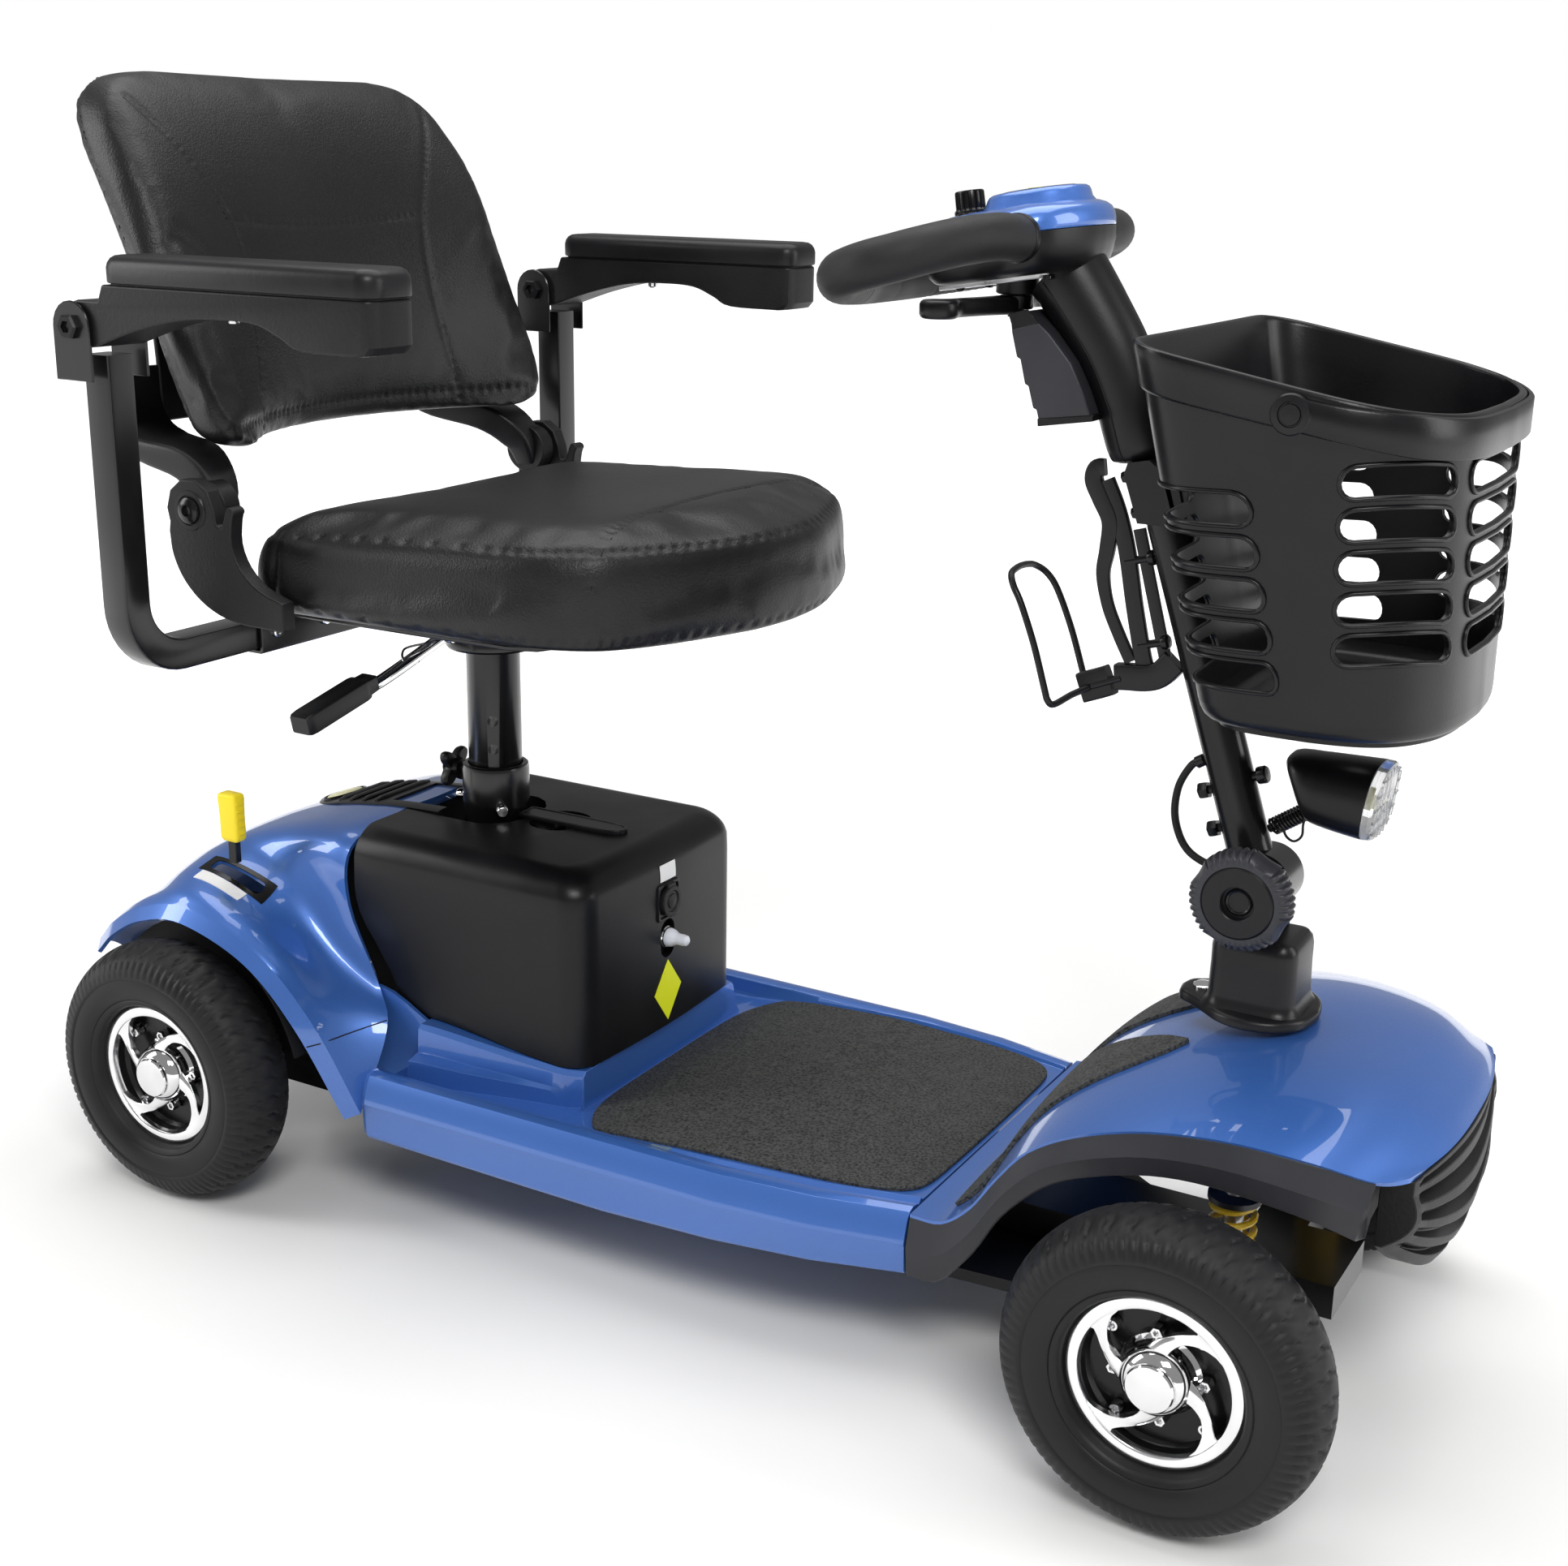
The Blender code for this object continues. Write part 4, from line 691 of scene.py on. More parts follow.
def make_wheel(label, x, side, track):
    body = "wheel_" + label
    place = (x, side * track, WHEEL_Z)
    out = (0, side, 0)
    build("tyre_" + label + "_treaded", tyre_shape(place, side), "rubber", body, "tyre_" + label,
          50)
    ring = [(0.0524, 0.006), (0.0524, 0.0195), (0.053, 0.0207), (0.0545, 0.0214), (0.059, 0.0214),
            (0.0606, 0.0208), (0.0624, 0.018), (0.0626, 0.0165), (0.057, 0.015), (0.0565, 0.006)]
    build("rim_ring_" + label, turned(ring, place, out, 96, ring=True), "alloy", body, "rim_" + label)
    barrel = [(0.01, 0.002), (0.03, 0.002), (0.05, 0.0045), (0.0523, 0.008), (0.0523, 0.015),
              (0.0558, 0.015), (0.0558, -0.015), (0.062, -0.0168), (0.0622, -0.0205), (0.053, -0.0205),
              (0.0505, -0.012), (0.03, -0.004), (0.017, -0.018), (0.01, -0.018)]
    build("rim_barrel_" + label, turned(barrel, place, out, 72, ring=True), "gloss", body)
    hub = [(0.01, 0.0), (0.029, 0.0015), (0.029, 0.006), (0.0262, 0.0085), (0.0255, 0.015), (0.024, 0.019),
           (0.0215, 0.0228), (0.0188, 0.0252), (0.0178, 0.0258), (0.0172, 0.0256), (0.017, 0.0278),
           (0.016, 0.029), (0.012, 0.0297), (0.0002, 0.03)]
    build("hub_" + label, turned(hub, place, out, 64), "chrome", body)
    turn = math.radians(108)
    for n in range(SPOKES):
        shape = blade(place, side, turn + n * math.pi / 2)
        bevel(build("spoke_%s_%d" % (label, n), shape, "alloy", body, sharp=40), 0.0009, 2, 45)
    for n in range(SPOKES):
        for kind, (r, offset, size) in enumerate(((0.0435, 58, 0.0042), (0.0318, 12, 0.0045))):
            angle = turn + n * math.pi / 2 - math.radians(offset)
            spot = (place[0] + r * math.cos(angle), place[1] + side * 0.0055, place[2] + r
                    * math.sin(angle))
            bolt("nut_%s_%d_%d" % (label, n, kind), spot, out, body, size, 0.0065, "chrome", kind == 1)


def make_wheels():
    for label, x, side, track in (("rear_left", 0.0, 1, REAR_TRACK), ("rear_right", 0.0, -1, REAR_TRACK),
                                  ("front_left", WHEELBASE, 1, FRONT_TRACK),
                                  ("front_right", WHEELBASE, -1, FRONT_TRACK)):
        make_wheel(label, x, side, track)


# ---------------------------------------------------------------- deck
PLINTH = (0.2, 0.358)  # where the raised seat for the battery starts and ends


def rail_half_width(x):
    return table(x, [(0.17, 0.186), (0.178, 0.187), (0.35, 0.186), (0.52, 0.184), (0.6, 0.176),
                     (0.672, 0.16)])


def floor_height(x):
    return table(x, [(0.178, 0.121), (0.35, 0.123), (0.42, 0.131), (0.5, 0.136), (0.672, 0.137)])


def plinth_height(x):
    return table(x, [(0.17, 0.169), (0.21, 0.169), (0.24, 0.166), (0.3, 0.1585), (0.335, 0.156),
                     (0.365, 0.1555)])


def deck_section(x, on_plinth, tip=0.0):
    """Half the deck's section at x as (y, z); tip draws in the rear end's edge."""
    outer = rail_half_width(x) - tip
    floor = floor_height(x)
    crest = 0.1375 - tip * 0.5
    bottom = table(x, [(0.178, 0.083), (0.42, 0.08), (0.672, 0.089)]) + tip * 0.6
    if on_plinth:
        foot = table(x, [(0.2, 0.15), (0.25, 0.143), (0.3, 0.131), (0.345, 0.1235), (0.356, 0.119)])
        step = table(x, [(0.2, 0.136), (0.25, 0.131), (0.3, 0.125), (0.345, 0.1215), (0.356, 0.117)])
        shelf = floor + (plinth_height(x) - floor) * 0.45
        middle = [(0.0, plinth_height(x) - 0.0003), (step - 0.004, plinth_height(x) - 0.0003),
                  (step, plinth_height(x) - 0.004), (step + 0.0015, shelf + 0.002), (foot, shelf - 0.001),
                  (foot + 0.0015, floor + 0.002)]
    else:
        middle = [(0.0, floor), (0.116, floor), (0.12, floor), (0.122, floor), (0.124, floor),
                  (0.126, floor)]
    rail = [(outer - 0.027, floor + 0.0004), (outer - 0.0245, floor + 0.003),
            (outer - 0.021, crest - 0.0015), (outer - 0.0185, crest), (outer - 0.012, crest + 0.0008),
            (outer - 0.006, crest - 0.001), (outer - 0.002, crest - 0.0065), (outer + 0.0022, crest - 0.02),
            (outer + 0.003, crest - 0.0235), (outer + 0.002, crest - 0.0265),
            (outer + 0.001, bottom + 0.003), (outer - 0.0005, bottom), (outer - 0.007, bottom),
            (outer - 0.0085, floor - 0.014), (outer - 0.03, floor - 0.007), (0.0, floor - 0.007)]
    return middle + rail


def make_deck():
    stations = [0.1785, 0.1815, 0.186, 0.1995, 0.201, 0.215, 0.23, 0.25, 0.27, 0.29, 0.31, 0.33, 0.342,
                0.35, 0.3565, 0.359, 0.39, 0.42, 0.47, 0.52, 0.56, 0.6, 0.64, 0.672]
    tips = {0.1785: 0.01, 0.1815: 0.002}
    loops = []
    for x in stations:
        half = deck_section(x, PLINTH[0] < x < PLINTH[1], tips.get(x, 0.0))
        loops.append([(x, y, z) for y, z in half] + [(x, -y, z) for y, z in reversed(half[1:-1])])
    deck = build("deck_moulding", skin(loops), "blue", "chassis", "deck_shell", 24)
    hole = turned([(0.029, 0.05), (0.029, 0.25)], (POST_X, 0, 0), (0, 0, 1), 48)
    boolean(deck, [hole])
    smooth_sharp(deck, 24)
    bevel(deck, 0.0012, 2, 28)

    edge = [(0.364, 0.0), (0.364, 0.06), (0.366, 0.098), (0.372, 0.124), (0.386, 0.147), (0.4, 0.1535),
            (0.44, 0.1545), (0.52, 0.152), (0.6, 0.1445), (0.64, 0.136), (0.658, 0.126), (0.6665, 0.108),
            (0.6685, 0.06), (0.669, 0.0)]
    outline = mirrored(smooth_path(edge, 4))
    loops = [[(x, y, floor_height(x) + lift) for x, y in plan] for plan, lift in ((outline, 0.0004),
                                                                                  (outline, 0.0026),
                                                                                  (inset(outline, 0.0012),
                                                                                   0.0036))]
    build("deck_mat_grip", fill_between(loops), "mat", "chassis", "deck_mat", 40)


def fill_between(loops):
    """A slab from stacked loops, with ladder faces across the symmetric outline on top and below."""
    count = len(loops[0])
    points = [p for loop in loops for p in loop]
    faces = []
    for i in range(len(loops) - 1):
        for j in range(count):
            k = (j + 1) % count
            faces.append((i * count + j, i * count + k, (i + 1) * count + k, (i + 1) * count + j))
    for base in (0, (len(loops) - 1) * count):
        faces.append((base, base + 1, base + count - 1))
        for j in range(1, count // 2):
            a, b = base + j, base + count - j
            if j + 1 <= count // 2 and a + 1 != b - 1:
                faces.append((a, a + 1, b - 1, b))
            elif a + 1 == b - 1:
                faces.append((a, a + 1, b))
    return points, faces


# ---------------------------------------------------------------- bonnet, trim and bumper
BONNET_CENTRE = [(0.674, 0.1375), (0.697, 0.142), (0.716, 0.163), (0.737, 0.205), (0.765, 0.236),
                 (0.811, 0.261), (0.87, 0.2785), (0.925, 0.283), (0.985, 0.275), (1.018, 0.257),
                 (1.031, 0.2435)]
BONNET_EDGE = [(0.674, 0.158, 0.137), (0.7, 0.161, 0.14), (0.722, 0.163, 0.158), (0.742, 0.165, 0.187),
               (0.765, 0.167, 0.215), (0.8, 0.169, 0.237), (0.85, 0.17, 0.254), (0.906, 0.167, 0.26),
               (0.96, 0.158, 0.255), (0.998, 0.14, 0.2435), (1.015, 0.122, 0.2435)]
TRIM_LOWER = [(0.674, 0.161, 0.089), (0.7, 0.164, 0.093), (0.728, 0.168, 0.126), (0.75, 0.17, 0.163),
              (0.78, 0.171, 0.194), (0.812, 0.172, 0.211), (0.855, 0.172, 0.224), (0.9, 0.171, 0.227),
              (0.958, 0.162, 0.217), (0.99, 0.148, 0.203), (1.0, 0.138, 0.196)]


def line_at(points, u):
    """A point at u from 0 to 1 along a smooth line through the given points."""
    last = len(points) - 1
    i = min(int(u * last), last - 1)
    t = u * last - i
    p = [np.array(points[max(0, min(last, i + k))], dtype=float) for k in (-1, 0, 1, 2)]
    return 0.5 * (2 * p[1] + (p[2] - p[0]) * t + (2 * p[0] - 5 * p[1] + 4 * p[2] - p[3]) * t ** 2
                  + (3 * p[1] - p[0] - 3 * p[2] + p[3]) * t ** 3)


def bonnet_point(u, v, lift=0.0):
    """Bonnet surface: u from the deck to the nose, v from the right edge to the left edge."""
    centre_line = line_at(BONNET_CENTRE, u)
    edge = line_at(BONNET_EDGE, u)
    share = abs(v) ** 2.6
    point = np.array([centre_line[0] + (edge[0] - centre_line[0]) * share, edge[1] * v, centre_line[1]
                      + (edge[2] - centre_line[1]) * share])
    if lift:
        step = 0.01
        across = bonnet_point(u, min(1, v + step)) - bonnet_point(u, max(-1, v - step))
        along = bonnet_point(min(1, u + step), v) - bonnet_point(max(0, u - step), v)
        normal = np.cross(along, across)
        normal /= np.linalg.norm(normal)
        if normal[2] < 0:
            normal = -normal
        point = point + normal * lift
    return point


def bonnet_mat_shape(side):
    """One lobe of the grip mat on the rear slope: wide at the deck, rounded at its tip."""
    rows = []
    first, last = 0.115, 0.545
    steps = 30
    for i in range(steps + 1):
        u = first + (last - first) * i / steps
        t = i / steps
        outer = table(t, [(0, 0.86), (0.15, 0.84), (0.3, 0.8), (0.45, 0.745), (0.6, 0.68), (0.75, 0.6),
                          (0.88, 0.5), (0.96, 0.4), (1.0, 0.3)])
        inner = table(t, [(0, 0.0), (0.25, 0.0), (0.3, 0.01), (0.4, 0.05), (0.6, 0.1), (0.8, 0.15),
                          (0.92, 0.2), (1.0, 0.27)])
        rows.append([bonnet_point(u, side * (inner + (outer - inner) * j / 10), 0.003) for j in range(11)])
    return sheet(rows, 0.0028)


def make_bonnet():
    rows = []
    for i in range(61):
        u = i / 60
        row = []
        for j in range(49):
            v = -1 + 2 * j / 48
            v = math.copysign(abs(v) ** 0.8, v)
            row.append(bonnet_point(u, v))
        rows.append(row)
    bonnet = build("bonnet_moulding", sheet(rows, 0.0034), "blue", "chassis", "bonnet", 40)
    boolean(bonnet, [turned([(0.015, 0.2), (0.015, 0.35)], (0.87, 0, 0), (0, 0, 1), 32)])
    smooth_sharp(bonnet, 40)
    build("bonnet_mat_right", bonnet_mat_shape(-1), "mat", "chassis", "bonnet_mat", 50)
    build("bonnet_mat_left", bonnet_mat_shape(1), "mat", "chassis", sharp=50)


def lowered(edge, distance):
    """A line moved down, square to its own run in the side view."""
    out = []
    for n, (x, y, z) in enumerate(edge):
        before, after = edge[max(0, n - 1)], edge[min(len(edge) - 1, n + 1)]
        run, rise = after[0] - before[0], after[2] - before[2]
        length = math.hypot(run, rise)
        out.append((x + rise / length * distance, y, z - run / length * distance))
    return out


def make_trim():
    front_upper = [(0.992, 0.128, 0.2345), (0.988, 0.1, 0.23), (0.986, 0.05, 0.23)]
    front_lower = [(0.992, 0.128, 0.196), (0.988, 0.1, 0.196), (0.986, 0.05, 0.196)]
    upper = smooth_path(lowered(BONNET_EDGE[:10], 0.0012), 4)
    lower = smooth_path(TRIM_LOWER[:10], 4)
    sections = []
    for top, low in zip(upper, lower):
        top, low = np.array(top), np.array(low)
        span = low - top
        crease = top + span * 0.52 + np.array([0, 0.0042, 0])
        lip = low + np.array([0, -0.0025, 0]) + span / np.linalg.norm(span) * 0.0015
        profile = [top + np.array([0, -0.006, 0]), top + np.array([0, -0.0012, 0]), top + span * 0.03, top
                   + span * 0.25 + np.array([0, 0.0018, 0]), top + span * 0.45 + np.array([0, 0.0038, 0]),
                   crease, top + span * 0.57 + np.array([0, 0.0036, 0]), top + span * 0.8
                   + np.array([0, 0.0014, 0]), low, lip, low + np.array([0, -0.0055, 0]), top + span * 0.5
                   + np.array([0, -0.003, 0])]
        sections.append([tuple(p) for p in profile])
    for top, low in zip(front_upper, front_lower):
        top, low = np.array(top), np.array(low)
        span = low - top
        back = np.array([-0.0045, 0, 0])
        shares = (0.0, 0.0, 0.03, 0.25, 0.45, 0.52, 0.57, 0.8, 1.0, 1.0, 1.0, 0.5)
        sections.append([tuple(top + span * s + (back if n in (0, 10, 11) else 0)) for n,
                         s in enumerate(shares)])
    sections += [[(x, -y, z) for x, y, z in loop] for loop in reversed(sections)]
    build("fender_band", skin(sections), "trim", "chassis", "fender_trim", 22)


SLAT_GROOVE = (0.0, 0.0, 0.0, 0.0, 0.004, 0.0085, 0.0085, 0.003)  # depth up one slat and its gap


def make_bumper():
    slats, half_width = 5, 0.12
    sections = []
    for y in np.linspace(-half_width, half_width, 33):
        front = 1.032 - 1.05 * y * y
        share = abs(y) / half_width
        low = 0.128 + 0.06 * share ** 1.5
        high = 0.24 + 0.0015 * (1 - share)
        frame_edge = share > 0.9
        profile = []
        steps = slats * len(SLAT_GROOVE)
        for i in range(steps + 1):
            t = i / steps
            groove = 0.0
            if not frame_edge and 0.1 < t < 0.93:
                groove = SLAT_GROOVE[i % len(SLAT_GROOVE)]
            bulge = 0.006 * math.sin(math.pi * min(1.0, 1.25 * t)) - 0.017 * (1 - t) ** 3
            profile.append((front + bulge - groove + (0.0012 if frame_edge else 0.0), y, low + (high - low)
                            * t))
        sections.append([(0.996, y, low)] + profile + [(0.996, y, high)])
    bumper = build("bumper_slats", skin(sections), "textured", "chassis", "front_bumper",
                   35)
    bevel(bumper, 0.0008, 1, 45)


# ---------------------------------------------------------------- rear bodywork
SHROUD_RAILS = [  # lines from the rear edge forward, the first on the centre line
    [(-0.124, 0.0, 0.15), (-0.119, 0.0, 0.205), (-0.088, 0.0, 0.255), (-0.03, 0.0, 0.29),
     (0.04, 0.0, 0.31), (0.09, 0.0, 0.318), (0.117, 0.0, 0.32)],
    [(-0.123, 0.055, 0.15), (-0.118, 0.055, 0.205), (-0.087, 0.055, 0.255), (-0.03, 0.055, 0.289),
     (0.04, 0.055, 0.309), (0.09, 0.055, 0.317), (0.117, 0.055, 0.319)],
    [(-0.12, 0.098, 0.15), (-0.114, 0.098, 0.203), (-0.083, 0.098, 0.252), (-0.03, 0.098, 0.284),
     (0.04, 0.103, 0.302), (0.09, 0.11, 0.306), (0.114, 0.112, 0.303)],
    [(-0.114, 0.125, 0.155), (-0.107, 0.125, 0.201), (-0.076, 0.125, 0.25), (-0.025, 0.125, 0.279),
     (0.045, 0.122, 0.275), (0.095, 0.1215, 0.262), (0.117, 0.1215, 0.255)],
    [(-0.112, 0.155, 0.178), (-0.098, 0.156, 0.212), (-0.066, 0.157, 0.246), (-0.018, 0.16, 0.271),
     (0.055, 0.152, 0.252), (0.11, 0.136, 0.215), (0.152, 0.126, 0.19)],
    [(-0.108, 0.178, 0.196), (-0.088, 0.18, 0.226), (-0.05, 0.182, 0.25), (0.002, 0.184, 0.263),
     (0.08, 0.18, 0.236), (0.13, 0.165, 0.187), (0.173, 0.143, 0.16)],
    [(-0.108, 0.192, 0.2015), (-0.0856, 0.194, 0.2235), (-0.0475, 0.195, 0.2446), (0.0049, 0.196, 0.2529),
     (0.0797, 0.195, 0.2279), (0.133, 0.189, 0.1727), (0.173, 0.18, 0.098)],
    [(-0.0995, 0.204, 0.1946), (-0.0788, 0.204, 0.2149), (-0.0438, 0.205, 0.2343), (0.0045, 0.205, 0.2419),
     (0.0734, 0.204, 0.2189), (0.12, 0.197, 0.168), (0.16, 0.186, 0.092)],
]
SHROUD_STEPS = 8
LINER_RADIUS, LINER_Z = 0.1265, 0.114


def shroud_grid():
    """The shroud from the right rim to the left one; the outer band keeps a crisp crease."""
    rails = [smooth_path(rail, SHROUD_STEPS) for rail in SHROUD_RAILS]
    columns = []
    for i in range(len(rails[0])):
        half = [rail[i] for rail in rails[:7]]
        whole = [(x, -y, z) for x, y, z in reversed(half[1:])] + half
        curve = smooth_path(whole, 5)
        edge = [np.array(rails[6][i]), np.array(rails[7][i])]
        band = [tuple(edge[0] + (edge[1] - edge[0]) * s) for s in (0.06, 0.5, 0.94, 1.0)]
        columns.append([(x, -y, z) for x, y, z in reversed(band)] + curve + band)
    return columns


def slot_box(x0, x1, y0, y1, z0, z1, corner=0.004):
    """An upright cutter with rounded corners."""
    middle = ((x0 + x1) / 2, (y0 + y1) / 2)
    section = rounded((x1 - x0) / 2, (y1 - y0) / 2, corner, 5)
    return prism_z([(middle[0] + a, middle[1] + b) for a, b in section], z0, z1)


def surface_hit(tree, origin, direction):
    return tree.ray_cast(Vector(origin), Vector(direction))[0]


def shape_tree(shape):
    return BVHTree.FromPolygons([Vector(p) for p in shape[0]], shape[1])


def make_shroud():
    shape = sheet(shroud_grid(), 0.0035)
    tree = shape_tree(shape)
    shroud = build("rear_shell", shape, "blue", "chassis", "rear_shroud", 30)
    for label, side in reversed(SIDES):
        hits = [surface_hit(tree, (x, side * 0.3, 0.148 + 0.33 * (x - 0.112)), (0, -side, 0))
                for x in np.linspace(0.09, 0.205, 24)]
        line = [hit for hit in hits if hit and abs(hit.y) > 0.118]
        build("shroud_seam_" + label, sweep(line, circle(0.0006, 6)), "dark", "chassis")
    boolean(shroud, [slot_box(-0.012, 0.043, -0.152, -0.138, 0.24, 0.34, 0.0045)])
    smooth_sharp(shroud, 30)

    def plate_on_shell(xs, ys, lift, thickness):
        grid = [[surface_hit(tree, (x, y, 0.4), (0, 0, -1)) + Vector((0, 0, lift)) for y in ys] for x in xs]
        return sheet(grid, thickness)

    plate = plate_on_shell(np.linspace(-0.014, 0.036, 9), np.linspace(-0.1685, -0.157, 4), 0.0009, 0.0008)
    build("lever_plate", plate, "white", "chassis")
    plate = plate_on_shell(np.linspace(-0.02, 0.051, 9), np.linspace(-0.156, -0.135, 5), 0.0007, 0.0006)
    rim = build("lever_slot_rim", plate, "gloss", "chassis")
    boolean(rim, [slot_box(-0.012, 0.043, -0.152, -0.139, 0.24, 0.34, 0.0045)])

    for label, side in SIDES:
        rows = []
        for y in (0.112, 0.15, 0.182, 0.202):
            rows.append([(LINER_RADIUS * math.cos(a), side * y, LINER_Z + LINER_RADIUS * math.sin(a))
                         for a in np.radians(np.linspace(14, 92, 18))])
        build("wheel_liner_" + label, sheet(rows, 0.0015, flip=side < 0), "dark", "chassis")
        outer = [(0.1262 if a <= 92 else 0.12, a) for a in range(14, 141, 6)]
        inner = [(0.08, a) for a in range(140, 13, -6)]
        wall = [(r * math.cos(math.radians(a)), LINER_Z + r * math.sin(math.radians(a))) for r, a in outer
                + inner]
        build("wheel_wall_" + label, prism_y(wall, side * 0.17, side * 0.172), "dark", "chassis")
        filler = [(0.144, 0.11), (0.206, 0.11), (0.206, 0.166), (0.193, 0.173), (0.178, 0.181),
                  (0.164, 0.187), (0.15, 0.19)]
        build("plinth_corner_" + label, prism_y(filler, side * 0.1215, side * 0.125), "blue", "chassis")
    edge = [(-0.112, 0.15), (0.112, 0.15), (0.112, 0.268), (0.096, 0.294), (0.06, 0.303), (-0.06, 0.303),
            (-0.096, 0.294), (-0.112, 0.268)]
    build("battery_bulkhead", skin([[(x, y, z) for y, z in edge] for x in (0.098, 0.102)]), "dark",
          "chassis", flat=True)
    build("post_well", box(0.1025, 0.154, -0.0435, 0.0435, 0.255, 0.258), "dark", "chassis")


def vent_half(x):
    return table(x, [(-0.012, 0.008), (-0.006, 0.017), (0.0, 0.024), (0.01, 0.031), (0.02, 0.036),
                     (0.035, 0.04), (0.05, 0.042), (0.153, 0.0425)])


def vent_height(x):
    return table(x, [(-0.03, 0.29), (0.04, 0.31), (0.09, 0.318), (0.117, 0.32), (0.153, 0.3215)])


def make_vent():
    """The ribbed black panel with its oval button, on the top of the rear shell."""
    xs = [-0.012, -0.009, -0.006, -0.002, 0.003, 0.009, 0.016, 0.025, 0.036, 0.05, 0.065, 0.08, 0.1]
    rows = []
    for x in xs + [0.12, 0.14, 0.153]:
        rows.append([(x, vent_half(x) * v, vent_height(x) + 0.003 - 0.0016 * abs(v) ** 8)
                     for v in (-1.0, -0.96, -0.85, -0.5, 0.0, 0.5, 0.85, 0.96, 1.0)])
    panel = build("vent_cover", sheet(rows, 0.0034), "smooth", "chassis", "vent_panel", 40)
    well = [(0.092, 0.302), (0.092, 0.33), (0.16, 0.332), (0.16, 0.302)]
    boolean(panel, [prism_y(well, -0.03, 0.03)])
    smooth_sharp(panel, 35)
    for n, x in enumerate((0.03, 0.045, 0.06, 0.075)):
        half = vent_half(x) * 0.86
        z = vent_height(x) + 0.0028
        path = [(x + 0.004, y, z) for y in np.linspace(-half, half, 9)]
        section = [(0.0036, 0.0), (0.003, 0.0026), (0.0014, 0.0034), (-0.0014, 0.0034), (-0.003, 0.0026),
                   (-0.0036, 0.0)]
        build("vent_rib_%d" % n, sweep(path, section, scales=[0.5] + [1.0] * 7 + [0.5]), "smooth",
              "chassis")
    loops = []
    for grow, lift in ((1.0, 0.0015), (1.0, 0.004), (0.9, 0.0052), (0.55, 0.006), (0.2, 0.0063)):
        oval = [(0.01 + 0.013 * grow * a, 0.019 * grow * b) for a, b in circle(1.0, 28)]
        loops.append([(x, y, vent_height(x) + lift) for x, y in oval])
    build("release_button", skin(loops), "cream", "chassis", sharp=40)
    oval = [(0.01 + 0.0155 * a, 0.0222 * b) for a, b in circle(1.0, 32)]
    ring = [(x, y, vent_height(x) + 0.0034) for x, y in oval]
    build("release_button_ring", sweep(ring, circle(0.0014, 6), closed=True), "gloss", "chassis")


def make_freewheel():
    x, y, z = 0.013, -0.145, 0.287
    stem = [(x - 0.0045, z - 0.006), (x + 0.0045, z - 0.006), (x + 0.0045, z + 0.02),
            (x - 0.0045, z + 0.02)]
    stick = build("freewheel_stem", prism_y(stem, y - 0.0032, y + 0.0032), "smooth", "freewheel_lever",
                  "freewheel_lever")
    bevel(stick, 0.0008, 2)
    loops = []
    for t, grow in ((0.0, 0.8), (0.04, 0.95), (0.1, 1.0), (0.5, 0.99), (0.9, 1.06), (0.97, 1.02),
                    (1.0, 0.84)):
        section = rounded(0.0098 * grow, 0.0062 * grow, 0.0022 * grow, 4)
        loops.append([(x + a - 0.001 * t, y + b, z + 0.014 + 0.042 * t) for a, b in section])
    build("freewheel_grip", skin(loops), "yellow", "freewheel_lever", sharp=50)
    for i in range(5):
        height = z + 0.021 + 0.0068 * i
        for sign in (-1.0, 1.0):
            path = [(x + 0.0092 * sign, y - 0.004, height), (x + 0.01 * sign, y, height),
                    (x + 0.0092 * sign, y + 0.004, height)]
            build("freewheel_notch_%d_%s" % (i, "front" if sign > 0 else "rear"),
                  sweep(path, circle(0.0011, 8)), "yellow", "freewheel_lever")


# ---------------------------------------------------------------- battery
BATTERY_TOP = 0.321
BATTERY_HALF = 0.12
BATTERY_FRONT = 0.362


def battery_back(z):
    return table(z, [(0.15, 0.18), (0.155, 0.177), (0.18, 0.1655), (0.2, 0.156), (0.225, 0.14),
                     (0.24, 0.1285), (0.255, 0.121), (0.27, 0.119), (0.321, 0.1205)])


def battery_outline(z, margin):
    """Plan outline at height z with round front corners; open to the rear around the seat post."""
    back = battery_back(z)
    half = BATTERY_HALF
    corner = 0.026
    arc = []
    for step in range(9):
        a = math.pi / 2 * step / 8
        arc.append((BATTERY_FRONT - 0.0035 - corner + corner * math.sin(a), half - corner + corner
                    * math.cos(a)))
    front = [(BATTERY_FRONT - 0.0018, 0.06), (BATTERY_FRONT - 0.0004, 0.03), (BATTERY_FRONT, 0.0)]
    side = [(back + (0.322 - back) * s, half) for s in (0.1, 0.25, 0.4, 0.55, 0.7, 0.85)]
    rear = [(0.225, 0.0), (0.2238, 0.01), (0.2185, 0.026), (0.208, 0.0385), (0.196, 0.0445), (back, 0.045),
            (back, 0.07), (back, 0.095), (back, half - 0.008), (back + 0.003, half - 0.0022)]
    loop = mirrored(rear + side + arc + front)
    return inset(loop, margin) if margin else loop


